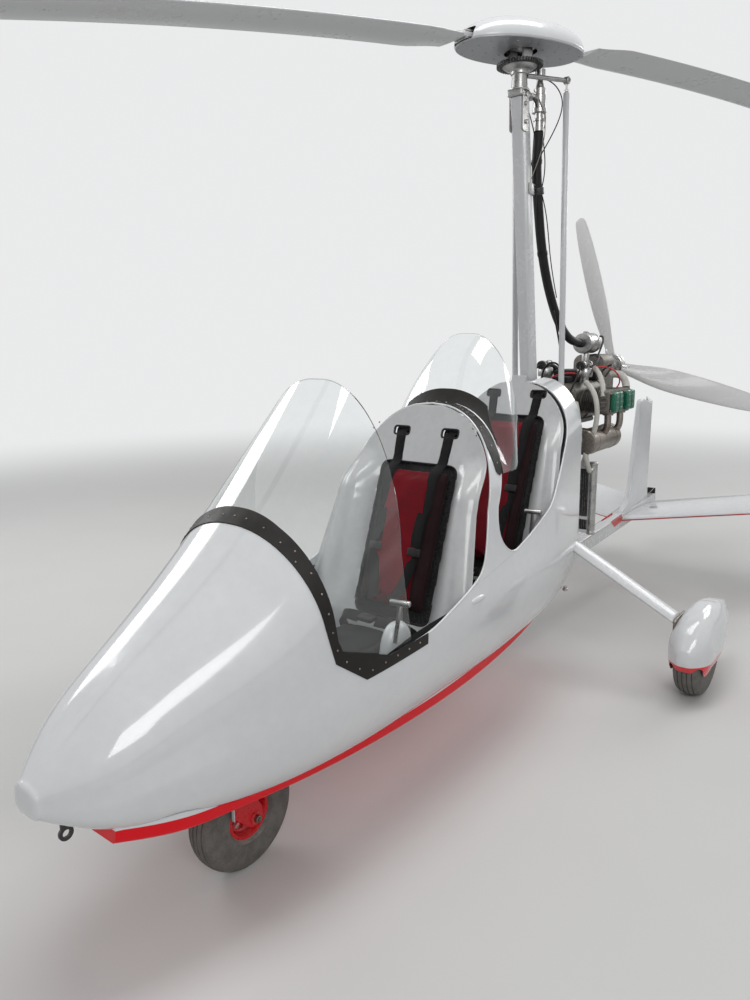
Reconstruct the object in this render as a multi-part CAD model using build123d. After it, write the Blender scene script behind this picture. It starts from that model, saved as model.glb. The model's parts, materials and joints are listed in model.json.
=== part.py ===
from build123d import *
import math
import os

# Two seat pusher gyrocopter, standing on its three wheels with the cockpits open.
# Millimetres. X to port, Y aft, Z up. The origin is on the floor under the rotor hub.

# Undercarriage
NOSE_AXLE_Y = -1710
MAIN_AXLE_Y = 285
HALF_TRACK = 800
NOSE_TYRE_RADIUS = 180
NOSE_TYRE_WIDTH = 100
MAIN_TYRE_RADIUS = 190
MAIN_TYRE_WIDTH = 118
RIM_RADIUS = 78
AXLE_RADIUS = 10
AXLE_FIT = 0.05
SEAT_GAP = 0.3

# Pod, one row for each section.
# place, low half width, its height, high half width, its height, bottom, top, flat bottom, flat top
POD_SECTIONS = [
    (-2342, 56, 546, 53, 566, 516, 602, 20, 10),
    (-2270, 128, 545, 124, 580, 472, 672, 50, 12),
    (-2080, 215, 560, 205, 625, 402, 815, 110, 15),
    (-1700, 318, 600, 312, 770, 352, 1072, 170, 10),
    (-1300, 362, 680, 325, 960, 340, 1476, 200, 20),
    (-1000, 367, 692, 323, 980, 341, 1420, 200, 16),
    (-600, 368, 700, 320, 1000, 345, 1342, 200, 12),
    (-380, 355, 700, 311, 1040, 355, 1352, 196, 20),
    (-150, 335, 700, 300, 1080, 368, 1370, 190, 30),
    (40, 295, 670, 272, 1110, 386, 1382, 172, 35),
    (230, 245, 640, 240, 1140, 405, 1395, 150, 40),
]
POD_WALL = 5
POD_REAR_Y = 230
NOSE_CAP = 16
NOSE_ROUND = 12
SKIN_FIT = 0.8

# Windscreens
SCREEN_WALL = 3
SCREEN_2_REAR_Y = -400
SCREEN_2_TOP = 1603
SCREEN_2_HALF_WIDTH = 240
SCREEN_FIT = 2
BAND_THICKNESS = 2.5

# Nose fork and its steering head
FORK_TRAIL = 55
FORK_GAP = 8
FORK_PLATE = 7
FORK_CROWN_Z = 382
FORK_CROWN_THICKNESS = 12
FORK_LEG_WIDTH = 56
STEER_Y = NOSE_AXLE_Y - FORK_TRAIL
STEER_PIN_RADIUS = 12
STEER_PIN_TOP = 468
HEAD_RADIUS = 22
HEAD_TOP = 456

# Wheel well and belly tray
WELL_HALF_WIDTH = 152
WELL_FRONT_Y = -1930
WELL_REAR_Y = -1500
WELL_TOP = 410
TRAY_WALL = 4

# Rotor. The hub bar is parked with its forward blade low.
BAR_Z = 2745
TEETER_Z = BAR_Z + 38
PARKED_TEETER = 2.5
ROTOR_RADIUS = 4115
ROTOR_AZIMUTH = 21
BLADE_CHORD = 222
BLADE_THICKNESS = 26
BLADE_ROOT = 330
BLADE_ROOT_CHORD = 100
BLADE_FULL = 620
BLADE_DROOP = 480
HUB_BAR_LENGTH = 400
HUB_BAR_WIDTH = 90
HUB_BAR_THICKNESS = 18
COVER_LOW = BAR_Z - 23
COVER_LENGTH = 620
COVER_WIDTH = 330
RING_RADIUS = 95
RING_THICKNESS = 12
RING_Z = BAR_Z - 77
SHAFT_RADIUS = 20
TEETER_PIN_RADIUS = 8

# Mast
MAST_WIDTH = 50
MAST_DEPTH = 80
MAST_LEAN = 7.5
MAST_TOP = RING_Z - 118
MAST_WALL = 4
MAST_FOOT_Y = 285
MAST_FOOT_Z = 440

# Propeller
PROP_Y = 1215
PROP_Z = 1410
PROP_RADIUS = 850
PROP_BLADES = 3
PROP_FIRST_ANGLE = 106
PROP_HUB_RADIUS = 62
PROP_SHAFT_RADIUS = 30
GEARBOX_END = 1010

# Engine
ENGINE_Y = (380, 860)
CRANK_Z = 1262
BARREL_RADIUS = 46
FIN_RADIUS = 60
CYLINDER_PITCH = 165

# Keel and tail
KEEL_WIDTH = 60
KEEL_HEIGHT = 84
KEEL_WALL = 3
KEEL_RISE = 2.4
KEEL_REAR_Y = 2060
TAIL_LEADING_Y = 1420
TAIL_TRAILING_Y = 2090
TAIL_HALF_SPAN = 880
TAIL_DIHEDRAL = 10.8
FIN_TRAILING_Y = 1915
FIN_TOP = 1180
RUDDER_CHORD = 400
RUDDER_ANGLE = 22
RUDDER_GAP = 16

os.makedirs("parts", exist_ok=True)


def save(name, *pieces):
    """Write one named node from one or more solids."""
    solids = [solid for piece in pieces for solid in piece.solids()]
    export_step(Compound(solids), f"parts/{name}.step")


def block(x_range, y_range, z_range):
    """A box from its low and high limits on each axis."""
    limits = (x_range, y_range, z_range)
    size = [high - low for low, high in limits]
    middle = [(high + low) / 2 for low, high in limits]
    return Pos(*middle) * Box(*size)


def both_sides(piece):
    """A port piece and its mirror image."""
    return [piece, mirror(piece, about=Plane.YZ)]


def side_cut(points, half_width=600, radius=0):
    """A prism through both sides of the pod, from its side view as (y, z) points."""
    face = make_face(Plane.YZ * Polyline(*points, close=True))
    if radius:
        face = fillet(face.vertices(), radius)
    return extrude(face, amount=half_width, both=True)


def rod(start, end, radius):
    """A round bar between two points."""
    line = Vector(*end) - Vector(*start)
    return extrude(Plane(origin=start, z_dir=line) * Circle(radius), amount=line.length)


def pipe(start, end, radius, wall):
    """A round tube between two points."""
    line = Vector(*end) - Vector(*start)
    ring = Circle(radius) - Circle(radius - wall)
    return extrude(Plane(origin=start, z_dir=line) * ring, amount=line.length)


def bent_pipe(points, bend, radius):
    """A round bar along straight runs joined by tangent arcs."""
    path = FilletPolyline(*points, radius=bend)
    start = Plane(origin=path @ 0, z_dir=path % 0)
    return sweep(start * Circle(radius), path=path)


def turned(points, centre, axis):
    """A ring turned from a half outline of (along, radius) points."""
    side = Vector(0, 0, 1) if abs(axis[2]) < 0.5 else Vector(1, 0, 0)
    normal = side.cross(Vector(*axis))
    plane = Plane(origin=centre, x_dir=axis, z_dir=normal * -1)
    face = make_face(plane * Polyline(*points, close=True))
    return revolve(face, axis=Axis(centre, axis))


def across(place):
    """The plane of a section at one place along Y, with local X to port and local Y up."""
    return Plane(origin=(0, place, 0), x_dir=(1, 0, 0), z_dir=(0, -1, 0))


def half_outline(row, inset):
    """The port half of a section, from its bottom to its top, in lines and quarter ellipses."""
    place, low_w, low_z, high_w, high_z, bottom, top, flat_low, flat_high = row
    low_w, high_w = low_w - inset, high_w - inset
    bottom, top = bottom + inset, top - inset
    low_arc = EllipticalCenterArc((flat_low, low_z), low_w - flat_low, low_z - bottom, start_angle=-90)
    high_arc = EllipticalCenterArc((flat_high, high_z), high_w - flat_high, top - high_z)
    side = Line(low_arc @ 1, high_arc @ 0)
    return [Line((0, bottom), low_arc @ 0), low_arc, side, high_arc, Line(high_arc @ 1, (0, top))]


def solid_form(rows, inset, ruled=False):
    """A whole closed form through a table of sections."""
    faces = []
    for row in rows:
        port = half_outline(row, inset)
        starboard = [mirror(edge, about=Plane.YZ) for edge in port]
        faces.append(across(row[0]) * make_face(Curve() + port + starboard))
    return loft(faces, ruled=ruled)


def port_skin(rows, outer, inner, ruled=False):
    """The port half of a skin between two insets of the same sections."""
    faces = []
    for row in rows:
        outside = half_outline(row, outer)
        inside = half_outline(row, inner)
        ends = [Line(outside[0] @ 0, inside[0] @ 0), Line(outside[-1] @ 1, inside[-1] @ 1)]
        faces.append(across(row[0]) * make_face(Curve() + outside + inside + ends))
    return loft(faces, ruled=ruled)


def whole(port):
    """A port half joined to its mirror image."""
    return port + mirror(port, about=Plane.YZ)


# Pod skin, and the ring that trims what is fitted inside it
pod_face = solid_form(POD_SECTIONS, -SKIN_FIT)
pod_inside = solid_form(POD_SECTIONS, POD_WALL / 2)
trim_ring = whole(port_skin(POD_SECTIONS, 0, POD_WALL + SKIN_FIT))

# Side view of the two openings and of the seam between the mouldings, as (y, z) points
FRONT_OPENING = [
    (-1672, 1600), (-1672, 1090), (-1632, 800), (-1590, 720), (-1505, 660), (-1200, 680),
    (-975, 738), (-850, 786), (-795, 910), (-745, 1080), (-640, 1342), (-640, 1600),
]
REAR_OPENING = [
    (-575, 1600), (-575, 1342), (-655, 1105), (-722, 950), (-716, 860), (-640, 796),
    (-420, 845), (-240, 905), (-110, 1040), (45, 1225), (80, 1395), (80, 1600),
]
SEAM_ZONE = [(-915, 754), (-620, 802), (-560, 1100), (-500, 1600), (-900, 1600)]
SEAM_GAP = 0.5

well_cut = block((-WELL_HALF_WIDTH, WELL_HALF_WIDTH), (WELL_FRONT_Y, WELL_REAR_Y), (200, WELL_TOP))
mast_slot = block((-45, 45), (100, POD_REAR_Y + 30), (1300, 1500))
FRAME_HALF_WIDTH = 30
FRAME_BOTTOM = 356
FRAME_TOP = 414
frame_slot = block(
    (-FRAME_HALF_WIDTH - 1, FRAME_HALF_WIDTH + 1),
    (WELL_REAR_Y - 1, POD_REAR_Y + 10),
    (300, FRAME_TOP + 1),
)

# Push rods behind the pod
ROD_RADIUS = 14
ROD_LOW = (119, 280, 800)

# The gear leg's path, which the hull is cut away for
LEG_CHORD = 110
LEG_THICKNESS = 34
LEG_ROOT = (190, 158, 665)
LEG_TIP = (745, 200, 349)
LEG_BEND_RADIUS = 220
LEG_GAP = 2


def mirrored(point):
    """A point on the other side of the centre plane."""
    return (-point[0], point[1], point[2])


def leg_form(gap):
    """The bowed gear leg from tip to tip, grown by a gap."""
    path = FilletPolyline(mirrored(LEG_TIP), mirrored(LEG_ROOT), LEG_ROOT, LEG_TIP, radius=LEG_BEND_RADIUS)
    start = Plane(origin=path @ 0, x_dir=(0, 1, 0), z_dir=path % 0)
    return sweep(start * Ellipse(LEG_CHORD / 2 + gap, LEG_THICKNESS / 2 + gap), path=path)


gear_way = leg_form(LEG_GAP)
skin = port_skin(POD_SECTIONS, 0, POD_WALL) - side_cut(FRONT_OPENING) - side_cut(REAR_OPENING)
seam_zone = side_cut(SEAM_ZONE)
seam_cut = side_cut([(y - SEAM_GAP, z - SEAM_GAP) for y, z in SEAM_ZONE])
centre_fairing = whole(skin & seam_zone)
hull = whole(skin - seam_cut - well_cut - mast_slot - frame_slot - gear_way)

# The blunt nose is a closed cap on the first section
nose_row = POD_SECTIONS[0]
tip_row = (
    nose_row[0] - NOSE_CAP, nose_row[1] - 5, nose_row[2], nose_row[3] - 5, nose_row[4],
    nose_row[5] + 5, nose_row[6] - 5, nose_row[7], nose_row[8],
)
nose_cap = solid_form([tip_row, nose_row], 0, ruled=True)
nose_cap = fillet(nose_cap.faces().sort_by(Axis.Y)[0].edges(), NOSE_ROUND)
LEG_CLAMP_HALF = 60
BULKHEAD_Y = (220.5, 225)
BULKHEAD_IN = 42
bulkhead = pod_inside & block((BULKHEAD_IN, 400), BULKHEAD_Y, (430, 1500))
bulkhead = bulkhead - port_skin(POD_SECTIONS, 0, POD_WALL - 1)
bulkhead = bulkhead - block((0, LEG_CLAMP_HALF + 2), (200, 240), (620, 710))
save("pod_hull", hull + nose_cap + bulkhead + mirror(bulkhead, about=Plane.YZ))
save("centre_fairing", centre_fairing)

# Belly tray under the pod, with its arch open round the nose wheel
# place, half width, bottom
TRAY_SECTIONS = [
    (-2115, 120, 300), (-1930, 168, 305), (-1700, 205, 312), (-1100, 236, 328), (-200, 200, 345),
    (140, 160, 352),
]
TRAY_TOP = 450


def tray_form(inset):
    """The tray's form, moved in by one wall on its sides and bottom."""
    faces = []
    for place, half, low in TRAY_SECTIONS:
        outline = Pos(0, (low + inset + TRAY_TOP) / 2) * Rectangle(2 * (half - inset), TRAY_TOP - low - inset)
        faces.append(across(place) * outline)
    return loft(faces, ruled=True)


tray_zone = block((-400, 400), (TRAY_SECTIONS[0][0] + TRAY_WALL, TRAY_SECTIONS[-1][0] - TRAY_WALL), (0, 600))
tray = tray_form(0) - pod_face - (tray_form(TRAY_WALL) & tray_zone) - well_cut - frame_slot
save("belly_fairing", Compound(tray.solids().sort_by(SortBy.VOLUME)[-1:]))

# Cockpit floor with the wheel well's box
FLOOR_Z = 420
FLOOR_THICKNESS = 6
WELL_WALL = 3
floor_plate = pod_inside & block((-400, 400), (-2150, 215), (FLOOR_Z, FLOOR_Z + FLOOR_THICKNESS))
well_box = block(
    (-WELL_HALF_WIDTH - WELL_WALL, WELL_HALF_WIDTH + WELL_WALL),
    (WELL_FRONT_Y - WELL_WALL, WELL_REAR_Y + WELL_WALL),
    (390, FLOOR_Z),
)
well_box = well_box - block((-WELL_HALF_WIDTH, WELL_HALF_WIDTH), (WELL_FRONT_Y, WELL_REAR_Y), (300, FLOOR_Z))
plate_way = block((-40, 40), (WELL_REAR_Y - 20, WELL_REAR_Y + 20), (380, FLOOR_Z))
well_box = well_box - plate_way
floor_way = rod((0, STEER_Y, 380), (0, STEER_Y, 480), HEAD_RADIUS + SEAT_GAP)
save("cockpit_floor", (floor_plate + (well_box & pod_inside)) - trim_ring - floor_way)

# Windscreens and their bands
SCREEN_1_SIDE = [
    (-1700, 1600), (-1700, 1080), (-1655, 790), (-1610, 700), (-1515, 640), (-1300, 652), (-1300, 1600),
]
screen_inset = POD_WALL + SKIN_FIT
windscreen_front = port_skin(POD_SECTIONS, screen_inset, screen_inset + SCREEN_WALL) & side_cut(SCREEN_1_SIDE)

BAND_1_OUTER = [(-1690, 1200), (-1690, 1085), (-1650, 826), (-1622, 716), (-1513, 634), (-1224, 648)]
BAND_1_INNER = [(-1224, 684), (-1412, 676), (-1594, 742), (-1610, 780), (-1646, 1085), (-1646, 1200)]
BAND_2_SIDE = [(-608, 1500), (-608, 1342), (-672, 1100), (-640, 1096), (-572, 1342), (-572, 1500)]
band_skin = port_skin(POD_SECTIONS, -SKIN_FIT - BAND_THICKNESS, -SKIN_FIT)
band_front = whole(band_skin & side_cut(BAND_1_OUTER + BAND_1_INNER))
band_rear = whole(band_skin & side_cut(BAND_2_SIDE))
save("screen_bands", band_front, band_rear)

# Rear hood: place, low half width, its height, high half width, its height, bottom, top, flats
HOOD_SECTIONS = [
    (-668, 373 + SCREEN_FIT, 700, 326 + SCREEN_FIT, 1000, 341, 1347 + SCREEN_FIT, 200, 12),
    (-566, 373 + SCREEN_FIT, 700, 325 + SCREEN_FIT, 1000, 341, 1347 + SCREEN_FIT, 200, 12),
    (SCREEN_2_REAR_Y, 262, 760, SCREEN_2_HALF_WIDTH, 1190, 500, SCREEN_2_TOP, 100, 20),
]
SCREEN_2_SIDE = [
    (-590, 1342), (-655, 1100), (-560, 1100), (-440, 1150), (-402, 1260), (-400, 1700), (-590, 1700),
]
windscreen_rear = port_skin(HOOD_SECTIONS, 0, SCREEN_WALL, ruled=True) & side_cut(SCREEN_2_SIDE)
save("windscreens", whole(windscreen_front), whole(windscreen_rear))

# Seat shells, cut from the pod's inner form by a reclined slab
SEAT_RECLINE = 20
SEAT_SHELL_WALL = 5
# name, y and z of the shell's top, top of the cushion's window, its half width, slot height
SEATS = [
    ("seat_shell_front", -668, 1300, 1120, 172, 1235),
    ("seat_shell_rear", 58, 1375, 1235, 160, 1330),
]
SEAT_BASE_Z = 560
SEAT_PAN_Z = FLOOR_Z + FLOOR_THICKNESS + SEAT_GAP
SEAT_PAD = 125
CUSHION_FRONT = 45
STRAP_WIDTH = 45
STRAP_LIFT = 0.4
SLOT_X = 110
SLOT_WIDTH = 62
SLOT_HEIGHT = 24


def recline(y_top, z_top):
    """A plane in the seat back's face, with its local Y up the back."""
    lean = math.radians(SEAT_RECLINE)
    up = (0, math.sin(lean), math.cos(lean))
    return Plane(origin=(0, y_top, z_top), x_dir=(1, 0, 0), z_dir=(0, -math.cos(lean), math.sin(lean)))


cushions = []
straps = []
for name, y_top, z_top, window_top, window_half, slot_z in SEATS:
    face = recline(y_top, z_top)
    slab = extrude(face * Rectangle(900, 2200), amount=-SEAT_SHELL_WALL)
    lean = math.cos(math.radians(SEAT_RECLINE))
    window_low = (SEAT_BASE_Z - z_top) / lean
    window_high = (window_top - z_top) / lean
    window = Pos(0, (window_low + window_high) / 2) * RectangleRounded(
        2 * window_half, window_high - window_low, 40
    )
    slot_y = (slot_z - z_top) / lean
    slots = [Pos(x, slot_y) * SlotOverall(SLOT_WIDTH, SLOT_HEIGHT) for x in (-SLOT_X, SLOT_X)]
    cut = extrude(face * window, amount=60, both=True)
    for slot in slots:
        cut = cut + extrude(face * slot, amount=60, both=True)
    above_floor = block((-400, 400), (-1400, 400), (FLOOR_Z + FLOOR_THICKNESS + SEAT_GAP, 1500))
    shell = (pod_inside & slab & above_floor) - trim_ring - cut - mast_slot
    save(name, Compound(shell.solids().sort_by(SortBy.VOLUME)[-1:]))
    back_low = window_low + 30
    back_size = (2 * window_half - 20, window_high - back_low - 10)
    back = Pos(0, (back_low + window_high - 10) / 2) * RectangleRounded(*back_size, 35)
    cushions.append(extrude(face * Pos(0, 0, SEAT_GAP) * back, amount=CUSHION_FRONT))
    strap_side = [
        (-20, slot_y), (STRAP_LIFT, slot_y - 6), (STRAP_LIFT, window_high + 4),
        (CUSHION_FRONT + 2 * STRAP_LIFT, window_high - 8), (CUSHION_FRONT + 2 * STRAP_LIFT, back_low + 60),
    ]
    strap_back = [(n + 1.5, u + 1.5) for n, u in reversed(strap_side)]
    side_plane = Plane(origin=face.origin, x_dir=face.z_dir, z_dir=(-1, 0, 0))
    ribbon = make_face(side_plane * Polyline(*strap_side, *strap_back, close=True))
    strap = Pos(SLOT_X + STRAP_WIDTH / 2, 0, 0) * extrude(ribbon, amount=STRAP_WIDTH)
    straps += both_sides(strap)
    seat_y = y_top + (SEAT_BASE_Z - z_top) * math.tan(math.radians(SEAT_RECLINE))
    pad = block((-window_half, window_half), (seat_y - 430, seat_y - 52), (SEAT_PAN_Z, SEAT_PAN_Z + SEAT_PAD))
    cushions.append(fillet(pad.edges().filter_by(Axis.Y), 20))
save("seat_cushions", *cushions)
save("harness_straps", *straps)

# Keel, mast and frame
KEEL_FRONT_Y = MAST_FOOT_Y - 50
keel_plane = Plane(
    origin=(0, KEEL_FRONT_Y, MAST_FOOT_Z - KEEL_HEIGHT / 2),
    x_dir=(1, 0, 0),
    z_dir=(0, math.cos(math.radians(KEEL_RISE)), math.sin(math.radians(KEEL_RISE))),
)
keel_ring = RectangleRounded(KEEL_WIDTH, KEEL_HEIGHT, 8) - Rectangle(
    KEEL_WIDTH - 2 * KEEL_WALL, KEEL_HEIGHT - 2 * KEEL_WALL
)
keel = extrude(keel_plane * keel_ring, amount=KEEL_REAR_Y - KEEL_FRONT_Y)
save("keel_tube", keel)
keel_outline = Rectangle(KEEL_WIDTH + 2 * SEAT_GAP, KEEL_HEIGHT + 2 * SEAT_GAP)
keel_envelope = extrude(keel_plane * keel_outline, amount=2000)

lean = math.radians(MAST_LEAN)
MAST_SINK = 15
mast_plane = Plane(
    origin=(0, MAST_FOOT_Y + MAST_SINK * math.tan(lean), MAST_FOOT_Z - MAST_SINK),
    x_dir=(1, 0, 0),
    z_dir=(0, -math.sin(lean), math.cos(lean)),
)
mast_ring = RectangleRounded(MAST_WIDTH, MAST_DEPTH, 8) - Rectangle(
    MAST_WIDTH - 2 * MAST_WALL, MAST_DEPTH - 2 * MAST_WALL
)
mast_length = (MAST_TOP - MAST_FOOT_Z) / math.cos(lean)
mast = extrude(mast_plane * mast_ring, amount=mast_length + 60) - keel_envelope
mast = mast - block((-100, 100), (-200, 200), (MAST_TOP - SEAT_GAP, MAST_TOP + 200))


def mast_y(z):
    """The mast's centre line at one height."""
    return MAST_FOOT_Y - (z - MAST_FOOT_Z) * math.tan(lean)


# Drive sleeve's route behind the mast, and the clamp that holds it there
DRIVE_X = 35
DRIVE_Y = 118
HOSE_RADIUS = 22
CLAMP_Z = 2205
CLAMP_HALF = 15
CLAMP_WALL = 5
hose_points = [
    (DRIVE_X, DRIVE_Y, MAST_TOP - 112), (24, 132, 2290), (20, 172, 2120), (16, 230, 1950), (8, 330, 1790),
    (2, 460, 1650), (0, 600, 1568), (0, 753, 1540),
]


def hose_spot(z):
    """The sleeve's centre line at a height on its second run."""
    upper, lower = Vector(hose_points[1]), Vector(hose_points[2])
    return upper + (lower - upper) * ((upper.Z - z) / (upper.Z - lower.Z))


clamp_ring = pipe(
    hose_spot(CLAMP_Z + CLAMP_HALF), hose_spot(CLAMP_Z - CLAMP_HALF), HOSE_RADIUS + CLAMP_WALL,
    CLAMP_WALL - SEAT_GAP,
)
clamp_front = hose_spot(CLAMP_Z + 10).Y - HOSE_RADIUS - CLAMP_WALL
clamp_arm = block((6, 22), (mast_y(CLAMP_Z) + 36, clamp_front + 3), (CLAMP_Z - 10, CLAMP_Z + 10))

# Clamp that holds the gear leg ahead of the mast
LEG_CLAMP_PLATE = 10
leg_front = LEG_ROOT[1] - LEG_CHORD / 2
leg_top = LEG_ROOT[2] + LEG_THICKNESS / 2 + SEAT_GAP
leg_under = LEG_ROOT[2] - LEG_THICKNESS / 2 - SEAT_GAP
clamp_y = (leg_front - 12, mast_y(LEG_ROOT[2]) - 36)
leg_clamp = block((-LEG_CLAMP_HALF, LEG_CLAMP_HALF), clamp_y, (leg_top, leg_top + LEG_CLAMP_PLATE))
leg_clamp = leg_clamp + block(
    (-LEG_CLAMP_HALF, LEG_CLAMP_HALF), (clamp_y[0], clamp_y[1] + 5), (leg_under - LEG_CLAMP_PLATE, leg_under)
)
leg_clamp = leg_clamp + block(
    (-LEG_CLAMP_HALF, LEG_CLAMP_HALF), (clamp_y[0], clamp_y[0] + 8), (leg_under - 5, leg_top + 5)
)
save("mast", mast + clamp_ring + clamp_arm + leg_clamp)

frame_tube = block(
    (-FRAME_HALF_WIDTH, FRAME_HALF_WIDTH), (WELL_REAR_Y + 10, KEEL_FRONT_Y - SEAT_GAP),
    (FRAME_BOTTOM, FRAME_TOP),
)
frame_hollow = block(
    (-FRAME_HALF_WIDTH + KEEL_WALL, FRAME_HALF_WIDTH - KEEL_WALL),
    (WELL_REAR_Y + 20, KEEL_FRONT_Y),
    (FRAME_BOTTOM + KEEL_WALL, FRAME_TOP - KEEL_WALL),
)
chassis = frame_tube - frame_hollow
CROSS_HALF = 150
for place in (-1380, -1050, -700, -350, 60):
    cross_z = (FRAME_TOP - 1, FLOOR_Z - SEAT_GAP)
    chassis = chassis + block((-CROSS_HALF, CROSS_HALF), (place, place + 30), cross_z)
head_plate = block((-34, 34), (STEER_Y - 32, WELL_REAR_Y + 60), (FLOOR_Z - 9, FLOOR_Z - SEAT_GAP))
head_tube = rod((0, STEER_Y, FORK_CROWN_Z + 1), (0, STEER_Y, HEAD_TOP), HEAD_RADIUS)
head_bore = rod((0, STEER_Y, FORK_CROWN_Z - 20), (0, STEER_Y, HEAD_TOP + 20), STEER_PIN_RADIUS + AXLE_FIT)

# Tow eye under the nose
TOW_Y = -2263
TOW_Z = 425
TOW_BORE = 10
TOW_THICKNESS = 8
tow = rod((-TOW_THICKNESS / 2, TOW_Y, TOW_Z), (TOW_THICKNESS / 2, TOW_Y, TOW_Z), TOW_BORE + 9)
tow = tow + block((-TOW_THICKNESS / 2, TOW_THICKNESS / 2), (TOW_Y - 12, TOW_Y + 12), (TOW_Z + 12, 500))
tow = tow - rod((-20, TOW_Y, TOW_Z), (20, TOW_Y, TOW_Z), TOW_BORE) - pod_face
save("chassis_frame", (chassis + head_plate + head_tube) - head_bore, tow)

# Wheels


def wheel(centre, tyre_radius, tyre_width, name):
    """A cast rim on a bearing bore, and its tyre, spinning about X."""
    half = tyre_width / 2
    bore = AXLE_RADIUS + AXLE_FIT
    bead = 0.34 * tyre_width
    rim_side = [
        (-bead, RIM_RADIUS - 14), (-bead, RIM_RADIUS), (-bead + 8, RIM_RADIUS - 3), (0, RIM_RADIUS - 12),
        (bead - 8, RIM_RADIUS - 3), (bead, RIM_RADIUS), (bead, RIM_RADIUS - 14), (12, RIM_RADIUS - 22),
        (10, 34), (half - 14, 30), (half - 14, bore), (-half + 14, bore), (-half + 14, 30), (-10, 34),
        (-12, RIM_RADIUS - 22),
    ]
    rim = turned(rim_side, centre, (1, 0, 0))
    for index in range(RIM_HOLES):
        angle = 360 * index / RIM_HOLES
        hole = Rot(X=angle) * Pos(0, 0, 45) * Rot(Y=90) * Cylinder(7.5, tyre_width)
        rim = rim - Pos(*centre) * hole
    side = Plane(origin=centre, x_dir=(1, 0, 0), z_dir=(0, -1, 0))
    low = RIM_RADIUS + SEAT_GAP
    shoulder = tyre_radius - 0.16 * tyre_width
    wall_port = ThreePointArc((bead, low), (half, (low + shoulder) / 2), (0.42 * tyre_width, shoulder))
    wall_starboard = mirror(wall_port, about=Plane.YZ)
    crown = ThreePointArc(wall_port @ 1, (0, tyre_radius), (-0.42 * tyre_width, shoulder))
    inside = Line((bead, low), (-bead, low))
    outline = make_face(Curve() + [wall_port, crown, wall_starboard, inside])
    tyre = revolve(side * outline, axis=Axis(centre, (1, 0, 0)))
    save(f"{name}_rim", rim)
    save(f"{name}_tyre", tyre)


RIM_HOLES = 6
NOSE_CENTRE = (0, NOSE_AXLE_Y, NOSE_TYRE_RADIUS)
PORT_CENTRE = (HALF_TRACK, MAIN_AXLE_Y, MAIN_TYRE_RADIUS)
STARBOARD_CENTRE = (-HALF_TRACK, MAIN_AXLE_Y, MAIN_TYRE_RADIUS)
wheel(NOSE_CENTRE, NOSE_TYRE_RADIUS, NOSE_TYRE_WIDTH, "nose")
wheel(PORT_CENTRE, MAIN_TYRE_RADIUS, MAIN_TYRE_WIDTH, "left")
wheel(STARBOARD_CENTRE, MAIN_TYRE_RADIUS, MAIN_TYRE_WIDTH, "right")

# Nose fork, which steers about a vertical pin ahead of the axle
FORK_INSIDE = NOSE_TYRE_WIDTH / 2 + FORK_GAP

leg_outline = [
    (STEER_Y - FORK_LEG_WIDTH / 2, FORK_CROWN_Z), (STEER_Y + FORK_LEG_WIDTH / 2, FORK_CROWN_Z),
    (NOSE_AXLE_Y + 24, NOSE_TYRE_RADIUS), (NOSE_AXLE_Y + 10, NOSE_TYRE_RADIUS - 24),
    (NOSE_AXLE_Y - 14, NOSE_TYRE_RADIUS - 20), (STEER_Y - FORK_LEG_WIDTH / 2, NOSE_TYRE_RADIUS + 70),
]
leg_face = make_face(Plane.YZ * Polyline(*leg_outline, close=True))
port_leg = Pos(FORK_INSIDE, 0, 0) * extrude(leg_face, amount=FORK_PLATE)
crown_plate = block(
    (-FORK_INSIDE - FORK_PLATE, FORK_INSIDE + FORK_PLATE),
    (STEER_Y - FORK_LEG_WIDTH / 2, STEER_Y + FORK_LEG_WIDTH / 2),
    (FORK_CROWN_Z - FORK_CROWN_THICKNESS, FORK_CROWN_Z),
)
steer_pin = rod((0, STEER_Y, FORK_CROWN_Z - 5), (0, STEER_Y, STEER_PIN_TOP), STEER_PIN_RADIUS)
nose_axle = rod(
    (-FORK_INSIDE - FORK_PLATE - 8, NOSE_AXLE_Y, NOSE_TYRE_RADIUS),
    (FORK_INSIDE + FORK_PLATE + 8, NOSE_AXLE_Y, NOSE_TYRE_RADIUS),
    AXLE_RADIUS,
)
fork = crown_plate + port_leg + mirror(port_leg, about=Plane.YZ) + steer_pin + nose_axle
save("nose_fork", fork)

# Main gear: one bowed leg, stub axles and hollow spats
KNUCKLE_X = 724
KNUCKLE_PLATE = 10
KNUCKLE_TOP = 366
gear_leg = leg_form(0) & block((-KNUCKLE_X + SEAT_GAP, KNUCKLE_X - SEAT_GAP), (0, 400), (200, 800))
save("gear_leg", gear_leg)

SPAT_WALL = 3
# place from the axle, half width, widest height, bottom, top
SPAT_SECTIONS = [
    (-225, 24, 235, 205, 265), (-185, 64, 235, 150, 325), (-70, 92, 240, 122, 394),
    (70, 92, 250, 126, 404), (200, 78, 262, 160, 385), (320, 48, 280, 225, 348),
    (420, 12, 300, 285, 318),
]


def spat_form(inset):
    """The teardrop form of a wheel spat on the port axle."""
    rows = []
    for place, half, middle, low, high in SPAT_SECTIONS:
        rows.append(
            (MAIN_AXLE_Y + place, half, middle - 5, half, middle + 5, low, high, half * 0.55, half * 0.2)
        )
    return Pos(HALF_TRACK, 0, 0) * solid_form(rows, inset)


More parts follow.
